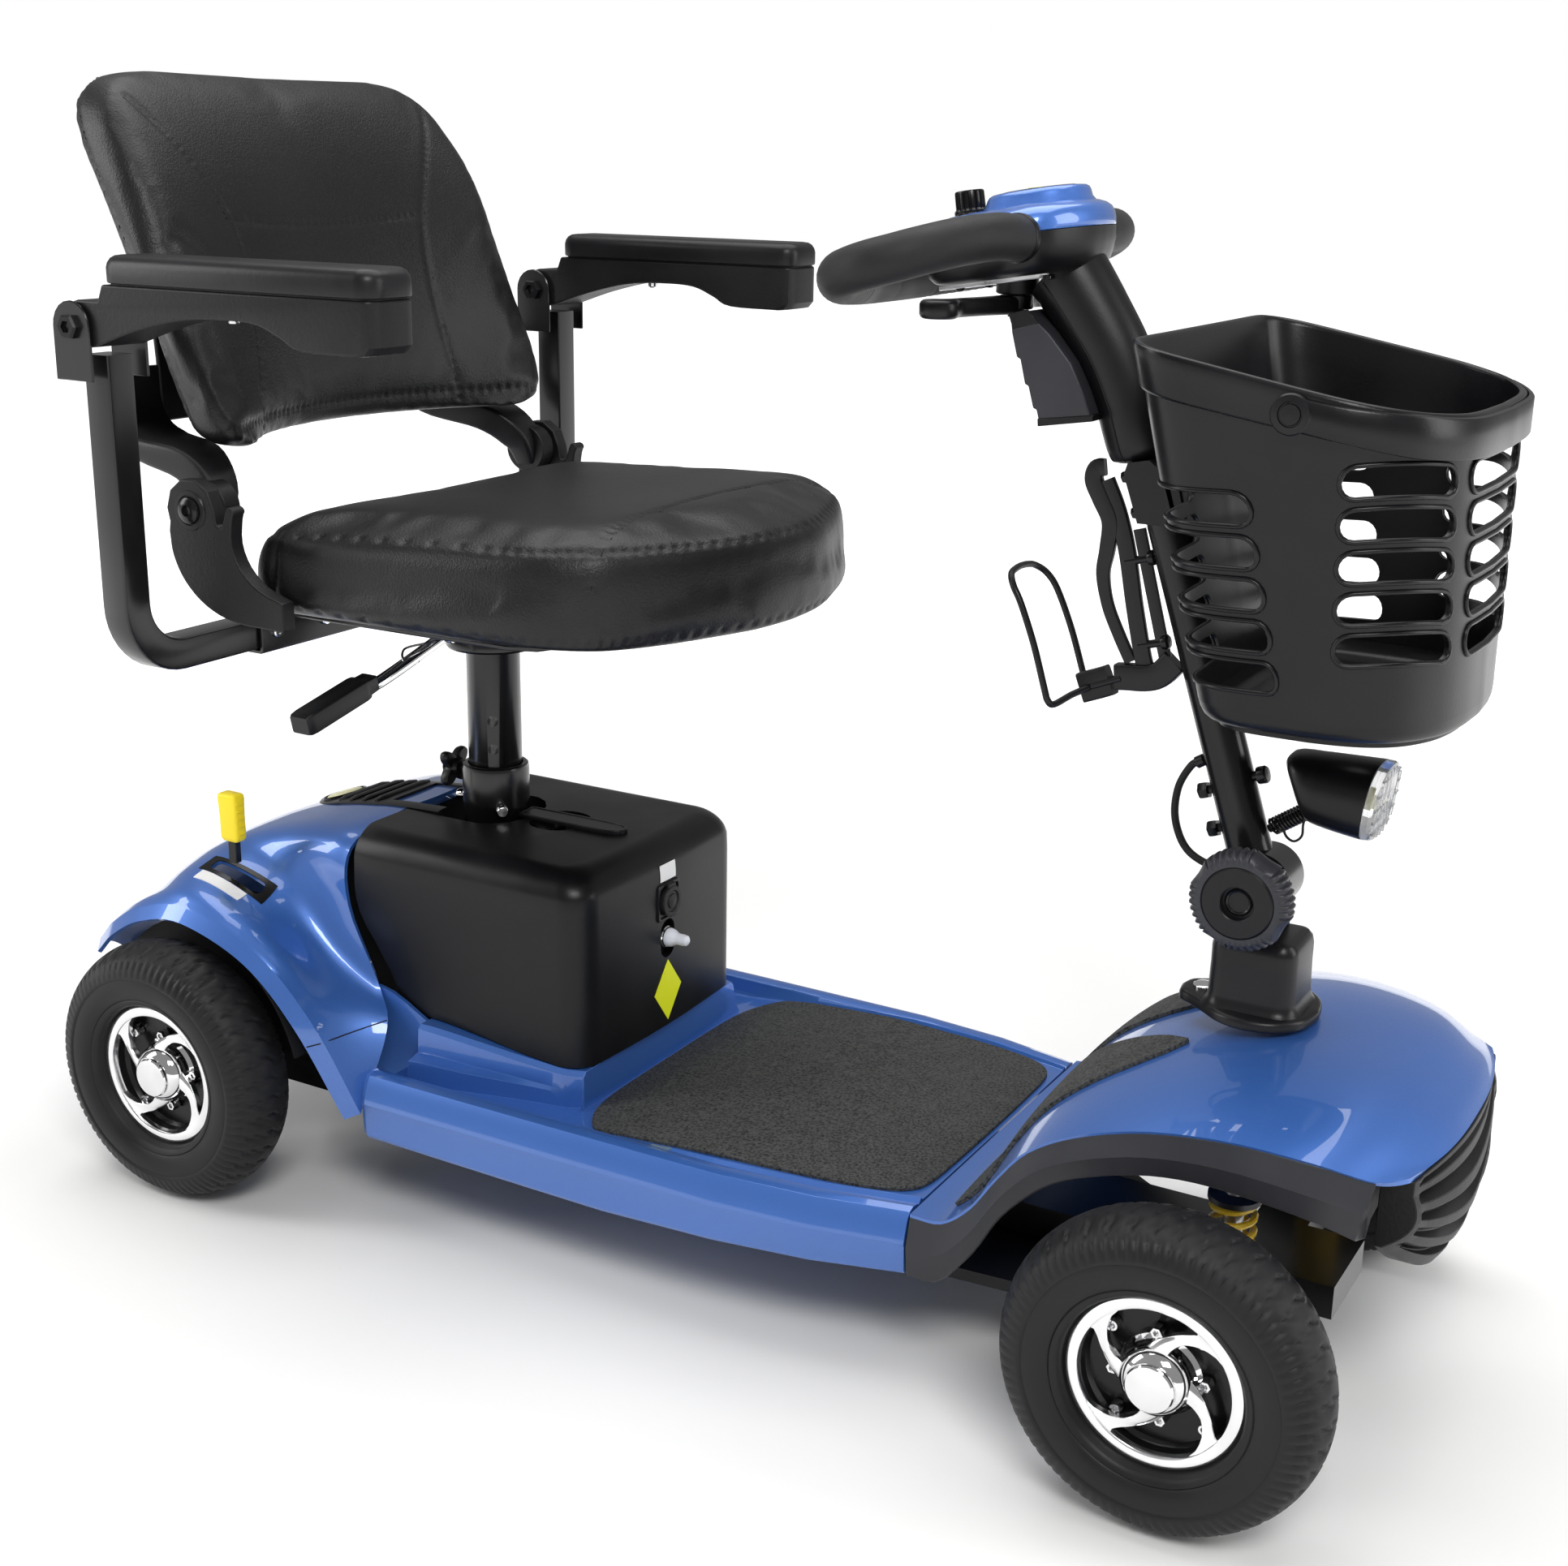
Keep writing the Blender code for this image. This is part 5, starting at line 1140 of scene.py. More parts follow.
def make_battery():
    loops = []
    for margin, lift in ((0.0035, 0.0), (0.0, 0.0), (0.0, 0.003)):
        loops.append([(x, y, plinth_height(x) + 0.0012 + lift) for x, y in battery_outline(0.158, margin)])
    radius = 0.026
    rounding = [BATTERY_TOP - radius + radius * math.sin(math.pi / 2 * step / 9) for step in range(1, 10)]
    for z in [0.178, 0.19, 0.202, 0.214, 0.226, 0.238, 0.25, 0.262, 0.274, 0.284] + rounding:
        loops.append([(x, y, z) for x, y in battery_outline(z, 0.0)])
    shape_points, shape_faces = skin(loops)
    points = []
    for x, y, z in shape_points:
        rise = max(0.0, z - (BATTERY_TOP - radius)) / radius
        pull = radius * (1 - math.sqrt(max(0.0, 1 - min(1.0, rise) ** 2)))
        if pull and x > 0.2:
            x -= pull * min(1.0, max(0.0, x - (BATTERY_FRONT - 0.05)) / 0.045)
        if pull:
            y -= math.copysign(pull * min(1.0, max(0.0, abs(y) - 0.055) / 0.06), y)
        points.append((x, y, z))
    case = build("battery_case", (points, shape_faces), "plastic", "battery_pack", "battery_box",
                 50)
    cutters = []
    for sign in (-1.0, 1.0):
        loops = []
        for depth, grow in ((0.012, 1.0), (-0.01, 0.97), (-0.014, 0.8)):
            loops.append([(0.252 + 0.021 * grow * a, sign * 0.0135 + 0.0145 * grow * b, BATTERY_TOP + depth)
                          for a, b in circle(1.0, 28)])
        cutters.append(skin(loops))
    boolean(case, cutters)
    for section, middle, depth in ((rounded(0.015, 0.015, 0.003, 4), 0.27, 0.36),
                                   (rounded(0.0105, 0.017, 0.01, 8), 0.236, 0.354)):
        boolean(case, [skin([[(x, a, middle + b) for a, b in section] for x in (0.38, depth)])])
    smooth_sharp(case, 38)

    section = rounded(0.0165, 0.0165, 0.004, 4)
    loops = [[(x, a * scale, 0.27 + b * scale) for a, b in section] for x, scale in ((0.36, 1.0),
                                                                                     (0.363, 1.0),
                                                                                     (0.3636, 0.95),
                                                                                     (0.3636, 0.85),
                                                                                     (0.3618, 0.8))]
    build("charge_port_frame", skin(loops), "smooth", "battery_pack", sharp=25)
    cap = [(0.0136, 0.0), (0.0136, 0.003), (0.0128, 0.004), (0.0095, 0.004), (0.0088, 0.003),
           (0.0065, 0.003), (0.0058, 0.004), (0.002, 0.0044), (0.0004, 0.0045)]
    build("charge_port_cap", turned(cap, (0.3632, 0.0, 0.27), (1, 0, 0), 36), "textured", "charge_cap",
          "charge_cap")
    hinge = box(0.3632, 0.3666, -0.0055, 0.0055, 0.2815, 0.286)
    bevel(build("charge_cap_hinge", hinge, "textured", "charge_cap"), 0.0008, 2)
    boot = [(0.0078, 0.0), (0.0082, 0.0015), (0.0078, 0.0034), (0.007, 0.006), (0.0056, 0.0085),
            (0.005, 0.0105), (0.005, 0.016), (0.0044, 0.0186), (0.0028, 0.02), (0.0004, 0.0206)]
    build("reset_boot", turned(boot, (0.3625, 0.0, 0.237), (1, 0, 0), 32), "boot", "reset_button",
          "reset_button")
    ring = [(0.0094, 0.0), (0.0094, 0.0022), (0.0086, 0.003), (0.008, 0.0022), (0.008, 0.0)]
    build("reset_ring", turned(ring, (0.359, 0.0, 0.237), (1, 0, 0), 32), "chrome", "battery_pack")
    label = [[(0.3625 - 0.45 * max(0.0, z - 0.293) ** 1.35, y, z) for y in (-0.0115, 0.0, 0.0115)]
             for z in np.linspace(0.2885, 0.303, 6)]
    build("plain_label", sheet(label, 0.0004), "white", "battery_pack")
    diamond = [(0.0, 0.0275), (-0.0205, 0.0), (0.0, -0.0275), (0.0205, 0.0)]
    loops = [[(x, y, 0.189 + z) for y, z in diamond] for x in (0.3619, 0.3624)]
    build("plain_diamond", skin(loops), "sticker", "battery_pack", flat=True)

    handle_half = [(0.215, 0.0), (0.2155, 0.0085), (0.22, 0.011), (0.26, 0.0116), (0.295, 0.0116),
                   (0.308, 0.0106), (0.315, 0.0078), (0.3188, 0.004), (0.3195, 0.0)]
    top = BATTERY_TOP + 0.0004
    loops = stacked(mirrored(smooth_path(handle_half, 3)), (
        (top, 0.0008), (top, 0.0), (top + 0.0026, 0.0), (top + 0.0036, 0.0008), (top + 0.0036, 0.0022),
        (top + 0.003, 0.0026)))
    build("carry_handle", fill_between(loops), "smooth", "battery_handle", "battery_handle",
          30)


# ---------------------------------------------------------------- cushions
def puffed(obj, voxel, pressure, cap, pinned):
    """Blows the piece up as cloth; pinned(point) says what stays where it is."""
    remesh = obj.modifiers.new("remesh", "REMESH")
    remesh.mode = "VOXEL"
    remesh.voxel_size = voxel
    apply_modifiers(obj)
    before = [v.co.copy() for v in obj.data.vertices]
    group = obj.vertex_groups.new(name="held")
    group.add([i for i, p in enumerate(before) if pinned(p.x - AXLE, p.y, p.z)], 1.0, "REPLACE")
    cloth = obj.modifiers.new("cloth", "CLOTH")
    settings = cloth.settings
    settings.quality = 5
    settings.mass = 0.3
    settings.use_pressure = True
    settings.uniform_pressure_force = pressure
    settings.tension_stiffness = settings.compression_stiffness = 18.0
    settings.shear_stiffness = 8.0
    settings.bending_stiffness = 0.8
    settings.vertex_group_mass = "held"
    settings.effector_weights.gravity = 0.0
    cloth.point_cache.frame_start, cloth.point_cache.frame_end = 1, 20
    for number in range(1, 21):
        scene.frame_set(number)
    apply_modifiers(obj)
    for old, vertex in zip(before, obj.data.vertices):
        move = vertex.co - old
        if move.length > cap:
            vertex.co = old + move * (cap / move.length)
    scene.frame_set(1)
    obj.vertex_groups.clear()
    smoothing = obj.modifiers.new("smoothing", "SMOOTH")
    smoothing.factor, smoothing.iterations = 0.5, 4
    finer = obj.modifiers.new("finer", "SUBSURF")
    finer.levels = finer.render_levels = 1
    apply_modifiers(obj)
    obj.data.shade_smooth()
    return obj


def object_tree(obj):
    return BVHTree.FromObject(obj, bpy.context.evaluated_depsgraph_get())


def cast_line(tree, rays):
    """Places and normals where rays, stated from the rear axle, meet an object."""
    out = []
    for origin, direction in rays:
        hit, normal, _, _ = tree.ray_cast(Vector(origin) + Vector((AXLE, 0, 0)),
                                          Vector(direction).normalized())
        if hit:
            out.append((hit - Vector((AXLE, 0, 0)), normal))
    return out


def press_seam(obj, lines):
    """Pulls the surface in along sewn lines."""
    width, depth = 0.0045, 0.0016
    places = [place + Vector((AXLE, 0, 0)) for line in lines for place, _ in line]
    near = KDTree(len(places))
    for i, place in enumerate(places):
        near.insert(place, i)
    near.balance()
    normals = [v.normal.copy() for v in obj.data.vertices]
    for vertex, normal in zip(obj.data.vertices, normals):
        distance = near.find(vertex.co)[2]
        if distance < width * 2.2:
            vertex.co -= normal * (depth * math.exp(-(distance / width) ** 2 * 2.0))


def sew(name, line, body, offset):
    """A seam: the dark join of two panels, with a row of stitches beside it."""
    pitch = 0.0046
    places = [tuple(place - normal * 0.0009) for place, normal in line]
    build(name + "_join", sweep(places, circle(0.001, 6)), "dark", body)
    stitches = []
    travelled, wanted = 0.0, pitch / 2
    for i in range(len(line) - 1):
        a, normal = line[i]
        b = line[i + 1][0]
        ahead = b - a
        length = ahead.length
        if length < 1e-6:
            continue
        ahead = ahead / length
        side = ahead.cross(normal).normalized()
        while travelled + length > wanted:
            place = a + ahead * (wanted - travelled) + side * offset + normal * 0.0003
            half = ahead * pitch * 0.33
            stitches.append(sweep([place - half - normal * 0.0004, place - half * 0.4, place + half * 0.4,
                                   place + half - normal * 0.0004], circle(0.00036, 5)))
            wanted += pitch
        travelled += length
    build(name + "_stitches", join_shapes(*stitches), "thread", body)


SEAT_MIDDLE = 0.31
# Each level of the seat pad: height, share of the outline.
SEAT_LEVELS = [
    (0.5235, 0.1), (0.5225, 0.5), (0.5225, 0.8), (0.523, 0.9), (0.526, 0.945), (0.532, 0.972),
    (0.54, 0.985),
    (0.555, 0.995), (0.57, 0.995), (0.582, 0.988), (0.59, 0.975), (0.596, 0.95), (0.6, 0.915),
    (0.603, 0.86), (0.605, 0.78), (0.6065, 0.65), (0.6075, 0.45), (0.608, 0.2), (0.608, 0.05)]


def seat_outline(share):
    half = [(0.099, 0.0), (0.099, 0.1), (0.099, 0.15), (0.101, 0.188), (0.107, 0.203), (0.122, 0.211),
            (0.18, 0.213), (0.25, 0.2135), (0.33, 0.2125), (0.372, 0.2085), (0.402, 0.199), (0.426, 0.184),
            (0.443, 0.16), (0.459, 0.128), (0.473, 0.09), (0.487, 0.045), (0.491, 0.0)]
    curve = smooth_path(half, 3)
    return mirrored([(SEAT_MIDDLE + (x - SEAT_MIDDLE) * share, y * share) for x, y in curve])


def seat_lift(x, y, z):
    """The seat rises toward the front and its rear part is dished."""
    height = (z - 0.5225) / 0.0855
    rear = max(0.0, (0.3 - x) / 0.2)
    z -= 0.013 * rear ** 1.3 * height
    z -= 0.0045 * math.exp(-((x - 0.27) / 0.11) ** 2 - (y / 0.13) ** 2) * height
    z += 0.004 * math.exp(-((x - 0.42) / 0.06) ** 2) * height
    return z


def make_seat_cushion():
    loops = [[(x, y, seat_lift(x, y, z)) for x, y in seat_outline(share)] for z, share in SEAT_LEVELS]
    seat = build("seat_pad", skin(loops), "vinyl", "seat", "seat_cushion")
    puffed(seat, 0.006, 4.0, 0.006, lambda x, y, z: z < 0.53)
    tree = object_tree(seat)
    rim, side = [], []
    for x, y in seat_outline(1.0):
        outward = Vector((x - SEAT_MIDDLE, y, 0)).normalized()
        for rays, z in ((rim, seat_lift(x, y, 0.5945)), (side, 0.532)):
            rays.append(((x + outward.x * 0.2, y + outward.y * 0.2, z), tuple(-outward)))
    rim_line, low_line = cast_line(tree, rim), cast_line(tree, side)
    rim_line.append(rim_line[0])
    low_line.append(low_line[0])
    cross = [((0.4 + 0.018 * (abs(y) / 0.2) ** 2, y, 0.75), (0, 0, -1)) for y in np.linspace(-0.2, 0.2, 48)]
    cross_line = cast_line(tree, cross)
    corners = []
    for sign in (-1.0, 1.0):
        corners.append(cast_line(tree, [((0.135, sign * 0.4, z), (0, -sign, 0))
                                        for z in np.linspace(0.534, 0.578, 10)]))
    press_seam(seat, [rim_line, low_line, cross_line] + corners)
    tree = object_tree(seat)
    for name, rays, turn in (("seat_rim", rim + rim[:1], -1.0), ("seat_low", side + side[:1], 1.0),
                             ("seat_cross", cross, 1.0)):
        sew(name, cast_line(tree, rays), "seat", offset=0.0036 * turn)


# Each level of the backrest: height, front at the centre, extra at the wings, half width, thickness.
BACK_LEVELS = [
    (0.645, 0.02, 0.06, 0.168, 0.018), (0.648, 0.023, 0.066, 0.188, 0.034),
    (0.656, 0.025, 0.068, 0.202, 0.046),
    (0.67, 0.026, 0.066, 0.208, 0.052), (0.695, 0.0255, 0.058, 0.211, 0.054),
    (0.73, 0.0245, 0.047, 0.2125, 0.054),
    (0.77, 0.021, 0.034, 0.213, 0.055), (0.81, 0.015, 0.022, 0.213, 0.055),
    (0.845, 0.006, 0.013, 0.212, 0.055),
    (0.872, -0.004, 0.007, 0.209, 0.055), (0.895, -0.015, 0.003, 0.202, 0.053),
    (0.912, -0.025, 0.001, 0.19, 0.048), (0.922, -0.0325, 0.0, 0.175, 0.04),
    (0.928, -0.038, 0.0, 0.156, 0.028), (0.9305, -0.042, 0.0, 0.132, 0.015)]


def back_section(row):
    """One level of the backrest: wings that come forward and squared sides with small round edges."""
    z, front, wing, half, thick = row
    radius = thick / 2
    corner = 0.016
    spread = np.linspace(-1.0, 1.0, 25)
    angles = np.radians(np.linspace(80, -80, 13))
    edge = front + wing

    def side(sign):
        points = []
        for a in angles:
            along = math.copysign(abs(math.sin(a)) ** 0.55, math.sin(a)) * radius
            across = abs(math.cos(a)) ** 0.55 * corner
            points.append((edge - radius + along, sign * (half - corner + across), z))
        return points

    points = [(front + wing * abs(v) ** 2.2, (half - corner) * v, z) for v in spread]
    points += side(1.0)
    points += [(front - thick + wing * abs(v) ** 2.2, (half - corner) * v, z) for v in reversed(spread)]
    points += reversed(side(-1.0))
    return points


def make_backrest():
    rows = smooth_path(BACK_LEVELS, 3)
    back = build("back_pad", skin([back_section(row) for row in rows]), "vinyl", "backrest",
                 "backrest_cushion")
    puffed(back, 0.006, 4.0, 0.005, lambda x, y, z: z < 0.652)
    tree = object_tree(back)
    rays = {}
    rays["across"] = [((0.4, y, 0.81 + 0.006 * (y / 0.12) ** 2), (-1, 0, 0))
                      for y in np.linspace(-0.116, 0.116, 30)]
    for label, sign in reversed(SIDES):
        curve = smooth_path([(0.4, 0.176, 0.908), (0.4, 0.16, 0.885), (0.4, 0.135, 0.848),
                             (0.4, 0.117, 0.81), (0.4, 0.112, 0.76), (0.4, 0.117, 0.71),
                             (0.4, 0.126, 0.655)], 7)
        rays["front_" + label] = [((x, y * sign, z), (-1, 0, 0)) for x, y, z in curve]
        edge = []
        for z, front, wing, _, thick in smooth_path(BACK_LEVELS[2:13], 4):
            edge.append(((front + wing - thick * 0.8, sign * 0.5, z), (0, -sign, 0)))
        rays["side_" + label] = edge
    rays["hem"] = [((0.4, y, 0.662), (-1, 0, 0)) for y in np.linspace(-0.198, 0.198, 50)]
    press_seam(back, [cast_line(tree, line) for line in rays.values()])
    tree = object_tree(back)
    for name, line in rays.items():
        sew("back_" + name, cast_line(tree, line), "backrest", offset=0.0036
            * (-1.0 if "left" in name else 1.0))


# ---------------------------------------------------------------- seat frame and backrest frame
BACK_HINGE = (0.074, 0.603)


def make_back_frame():
    shell = [(-0.034, 0.655), (-0.0365, 0.72), (-0.0465, 0.8), (-0.0675, 0.87)]
    curve = smooth_path([(x - 0.001, z) for x, z in shell], 5)
    grid = [[(x - 0.0015 * (1 - (y / 0.15) ** 2), y, z) for x, z in curve]
            for y in np.linspace(-0.15, 0.15, 17)]
    panel = build("back_shell", sheet(grid, 0.0042, flip=True), "textured", "backrest", "back_frame")
    bevel(panel, 0.0015, 2, 50)
    hx, hz = BACK_HINGE
    for label, side in SIDES:
        spine = smooth_path([(hx, hz - 0.014), (hx - 0.004, hz + 0.01), (hx - 0.03, hz + 0.03),
                             (-0.01, 0.643), (-0.034, 0.665), (-0.0375, 0.7)], 5)
        rows = []
        for i, (x, z) in enumerate(spine):
            x0, z0 = spine[max(0, i - 1)]
            x1, z1 = spine[min(len(spine) - 1, i + 1)]
            length = math.hypot(x1 - x0, z1 - z0)
            nx, nz = (z1 - z0) / length, -(x1 - x0) / length
            h = 0.004 + 0.01 * math.sin(math.pi * min(1.0, i / (len(spine) - 1) + 0.25)) * 0.9
            y0 = table(i / (len(spine) - 1), [(0, 0.196), (0.3, 0.176), (0.6, 0.15), (1, 0.146)])
            y1 = table(i / (len(spine) - 1), [(0, 0.215), (0.5, 0.211), (1, 0.2)])
            section = rounded((y1 - y0) / 2, h, min(h * 0.6, 0.004), 3)
            rows.append([(x + nx * b, side * ((y0 + y1) / 2 + a), z + nz * b) for a, b in section])
        build("back_strap_" + label, skin(rows), "vinyl_plain", "backrest", sharp=35)
        disc = [(0.0205, -0.009), (0.0212, -0.008), (0.0212, 0.007), (0.0205, 0.008)]
        build("back_strap_eye_" + label, turned(disc, (hx, side * 0.2065, hz), (0, side, 0), 36),
              "textured", "backrest")


def make_seat_frame():
    outline = mirrored([(0.345, 0.0), (0.345, 0.12), (0.335, 0.14), (0.312, 0.149), (0.062, 0.149),
                        (0.044, 0.142), (0.037, 0.125), (0.037, 0.0)])
    pan = build("seat_pan", prism_z(outline, 0.5075, 0.512), "steel", "seat", "seat_frame")
    bevel(pan, 0.0014, 2)
    for n, y in enumerate((-0.12, -0.06, 0.06, 0.12)):
        rib = sweep([(0.055, y, 0.514), (0.33, y, 0.514)], rounded(0.006, 0.0035, 0.0015, 2))
        build("seat_pan_rib_%d" % n, rib, "steel", "seat")
    outer = rounded(0.0165, 0.0165, 0.003, 3)
    inner = rounded(0.0136, 0.0136, 0.0015, 3)
    loops = []
    for y, section in ((-0.155, inner), (-0.155, outer), (0.155, outer), (0.155, inner)):
        loops.append([(ARM_X + a, y, 0.49 + b) for a, b in section])
    tube = build("arm_receiver", skin(loops, ring=True), "steel", "seat", sharp=25)
    bevel(tube, 0.0006, 1, 60)
    drum = [(0.03, 0.479), (0.043, 0.479), (0.0445, 0.48), (0.045, 0.4815), (0.045, 0.499), (0.052, 0.504),
            (0.062, 0.507), (0.062, 0.508)]
    build("swivel_drum", turned(drum, (POST_X, 0, 0), (0, 0, 1), 56), "steel", "seat")
    for n, x in enumerate((0.085, 0.118)):
        side_strip = box(x, x + 0.012, -0.12, 0.12, 0.502, 0.5076)
        bevel(build("seat_cross_bar_%d" % n, side_strip, "steel", "seat"), 0.001, 1)
    x, z = 0.246, 0.5075
    for label, side in SIDES:
        for n, y in enumerate((0.08, 0.138)):
            bolt("receiver_bolt_%s_%d" % (label, n), (ARM_X + 0.0163, side * y, 0.49), (1, 0, 0), "seat",
                 0.0048, 0.0035)
        make_wing_bolt("arm_wing_" + label, (ARM_X - 0.0163, side * 0.128, 0.49), (-1, 0, 0), "seat", 0.8)
        bolt("pan_bolt_" + label, (x, side * 0.115, z), (0, 0, -1), "seat", 0.006, 0.004, hexed=True)


def make_wing_bolt(name, place, axis, body, size, nodes=()):
    """A knob with four lobes on a short stem."""
    stem = [(0.0035 * size, -0.002), (0.0035 * size, 0.008 * size), (0.0075 * size, 0.009 * size),
            (0.0085 * size, 0.013 * size)]

    def wave(i, radius):
        if radius < 0.01 * size:
            return radius
        return radius * (0.72 + 0.28 * math.cos(2 * math.pi * i * 4 / 64))

    profile = stem + [(0.019 * size, 0.0135 * size), (0.02 * size, 0.0155 * size),
                      (0.02 * size, 0.019 * size), (0.0185 * size, 0.0215 * size),
                      (0.0095 * size, 0.0225 * size), (0.008 * size, 0.024 * size),
                      (0.002 * size, 0.0245 * size)]
    build(name, turned(profile, place, axis, 64, wave=wave), "smooth", body, nodes, 40)


def make_side_brackets():
    hx, hz = BACK_HINGE
    arc = [(hx + 0.0245 * math.cos(a), hz + 0.0245 * math.sin(a))
           for a in np.radians([5, 40, 75, 110, 145, 180, 205])]
    lower = smooth_path([(hx - 0.0235, 0.585), (0.053, 0.566), (0.064, 0.546), (0.085, 0.529),
                         (0.115, 0.5195), (0.164, 0.518)], 4)
    upper = smooth_path([(0.164, 0.54), (0.14, 0.548), (0.123, 0.562), (0.115, 0.58), (0.1165, 0.599),
                         (0.119, 0.606), (0.112, 0.6085), (0.106, 0.593), (hx + 0.0265, 0.5935)], 3)
    outline = arc + lower + upper
    for label, side in SIDES:
        plate = prism_y(outline, side * 0.2172, side * 0.2308)
        obj = build("side_plate_" + label, plate, "textured", "seat", "side_bracket_" + label)
        bevel(obj, 0.003, 3, 40)
        place = (hx, side * 0.23, hz)
        ring = [(0.015, -0.001), (0.0158, 0.0008), (0.015, 0.0018), (0.0118, 0.0018), (0.0112, -0.0005)]
        build("side_ring_" + label, turned(ring, place, (0, side, 0), 40), "smooth", "seat")
        head = [(0.01, -0.001), (0.0106, 0.0012), (0.01, 0.0034), (0.008, 0.0046), (0.0045, 0.005),
                (0.004, 0.0022), (0.0004, 0.002)]
        build("side_bolt_" + label, turned(head, place, (0, side, 0), 24), "gloss", "seat", sharp=25)


def make_swivel_lever():
    body = "swivel_lever"
    bar = [(0.1805, -0.0515, 0.488), (0.179, -0.08, 0.479), (0.172, -0.135, 0.46), (0.166, -0.154, 0.456)]
    curve = smooth_path(bar, 5)
    build("swivel_bar", sweep(curve, rounded(0.0062, 0.0028, 0.0012, 2)), "chrome", body, "swivel_lever")
    start, end = Vector((0.1715, -0.142, 0.463)), Vector((0.169, -0.224, 0.444))
    along = (end - start).normalized()
    loops = []
    across = along.cross(Vector((0, 0, 1))).normalized()
    lift = across.cross(along)
    length = (end - start).length
    for t, grow in ((0.0, 0.72), (0.02, 0.82), (0.12, 0.85), (0.15, 1.0), (0.2, 1.05), (0.9, 1.05),
                    (0.97, 1.0), (1.0, 0.88)):
        centre_point = start + along * (length * t)
        loops.append([centre_point + across * a + lift * b for a,
                      b in rounded(0.0098 * grow, 0.008 * grow, 0.0016, 3)])
    build("swivel_grip", skin(loops), "smooth", body, sharp=35)
    clip = smooth_path([(0.184, -0.07, 0.4835), (0.179, -0.085, 0.4835), (0.169, -0.098, 0.48),
                        (0.176, -0.106, 0.472), (0.183, -0.096, 0.4715)], 5)
    build("swivel_clip", sweep(clip, circle(0.001, 8)), "chrome", body)
    pin = [(0.0042, -0.01), (0.005, -0.009), (0.005, 0.009), (0.0042, 0.01)]
    build("swivel_pin", turned(pin, (0.18, -0.06, 0.485), (1, 0, 0), 20), "chrome", body)


def make_post():
    socket = [(0.0238, 0.104), (0.0285, 0.104), (0.0285, 0.318), (0.029, 0.3195), (0.029, 0.359),
              (0.0282, 0.3625), (0.0268, 0.3634), (0.024, 0.3634), (0.0238, 0.355)]
    build("post_socket", turned(socket, (POST_X, 0, 0), (0, 0, 1), 56, ring=True), "steel", "chassis",
          "seat_socket", 30)
    post = [(0.0215, 0.2), (0.023, 0.203), (0.023, 0.464), (0.024, 0.466), (0.0385, 0.467), (0.04, 0.469),
            (0.04, 0.476), (0.039, 0.4778)]
    column = build("post_column", turned(post, (POST_X, 0, 0), (0, 0, 1), 56), "steel", "seat_post",
                   "seat_post", 30)
    boolean(column, [turned([(0.0046, -0.04), (0.0046, 0.04)], (POST_X, 0, z), (0.55, -0.83, 0), 20)
                     for z in (0.38, 0.405)])
    smooth_sharp(column, 30)
    for n, (x, y) in enumerate(((POST_X + 0.022, -0.022), (POST_X - 0.03, -0.004), (POST_X - 0.03, 0.01))):
        place = (x, y, 0.329)
        outward = Vector((x - POST_X, y, 0)).normalized()
        end = [(0.0046, -0.004), (0.0052, 0.0), (0.0052, 0.0066), (0.0042, 0.0084), (0.0008, 0.0088)]
        build("post_bolt_%d" % n, turned(end, place, tuple(outward), 20), "chrome", "chassis")
    make_wing_bolt("height_knob", (POST_X - 0.0285, 0.0, 0.352), (-1, 0, 0), "post_knob", 1.0, "post_knob")


# ---------------------------------------------------------------- armrests
ARM_MIDDLE = 0.2015


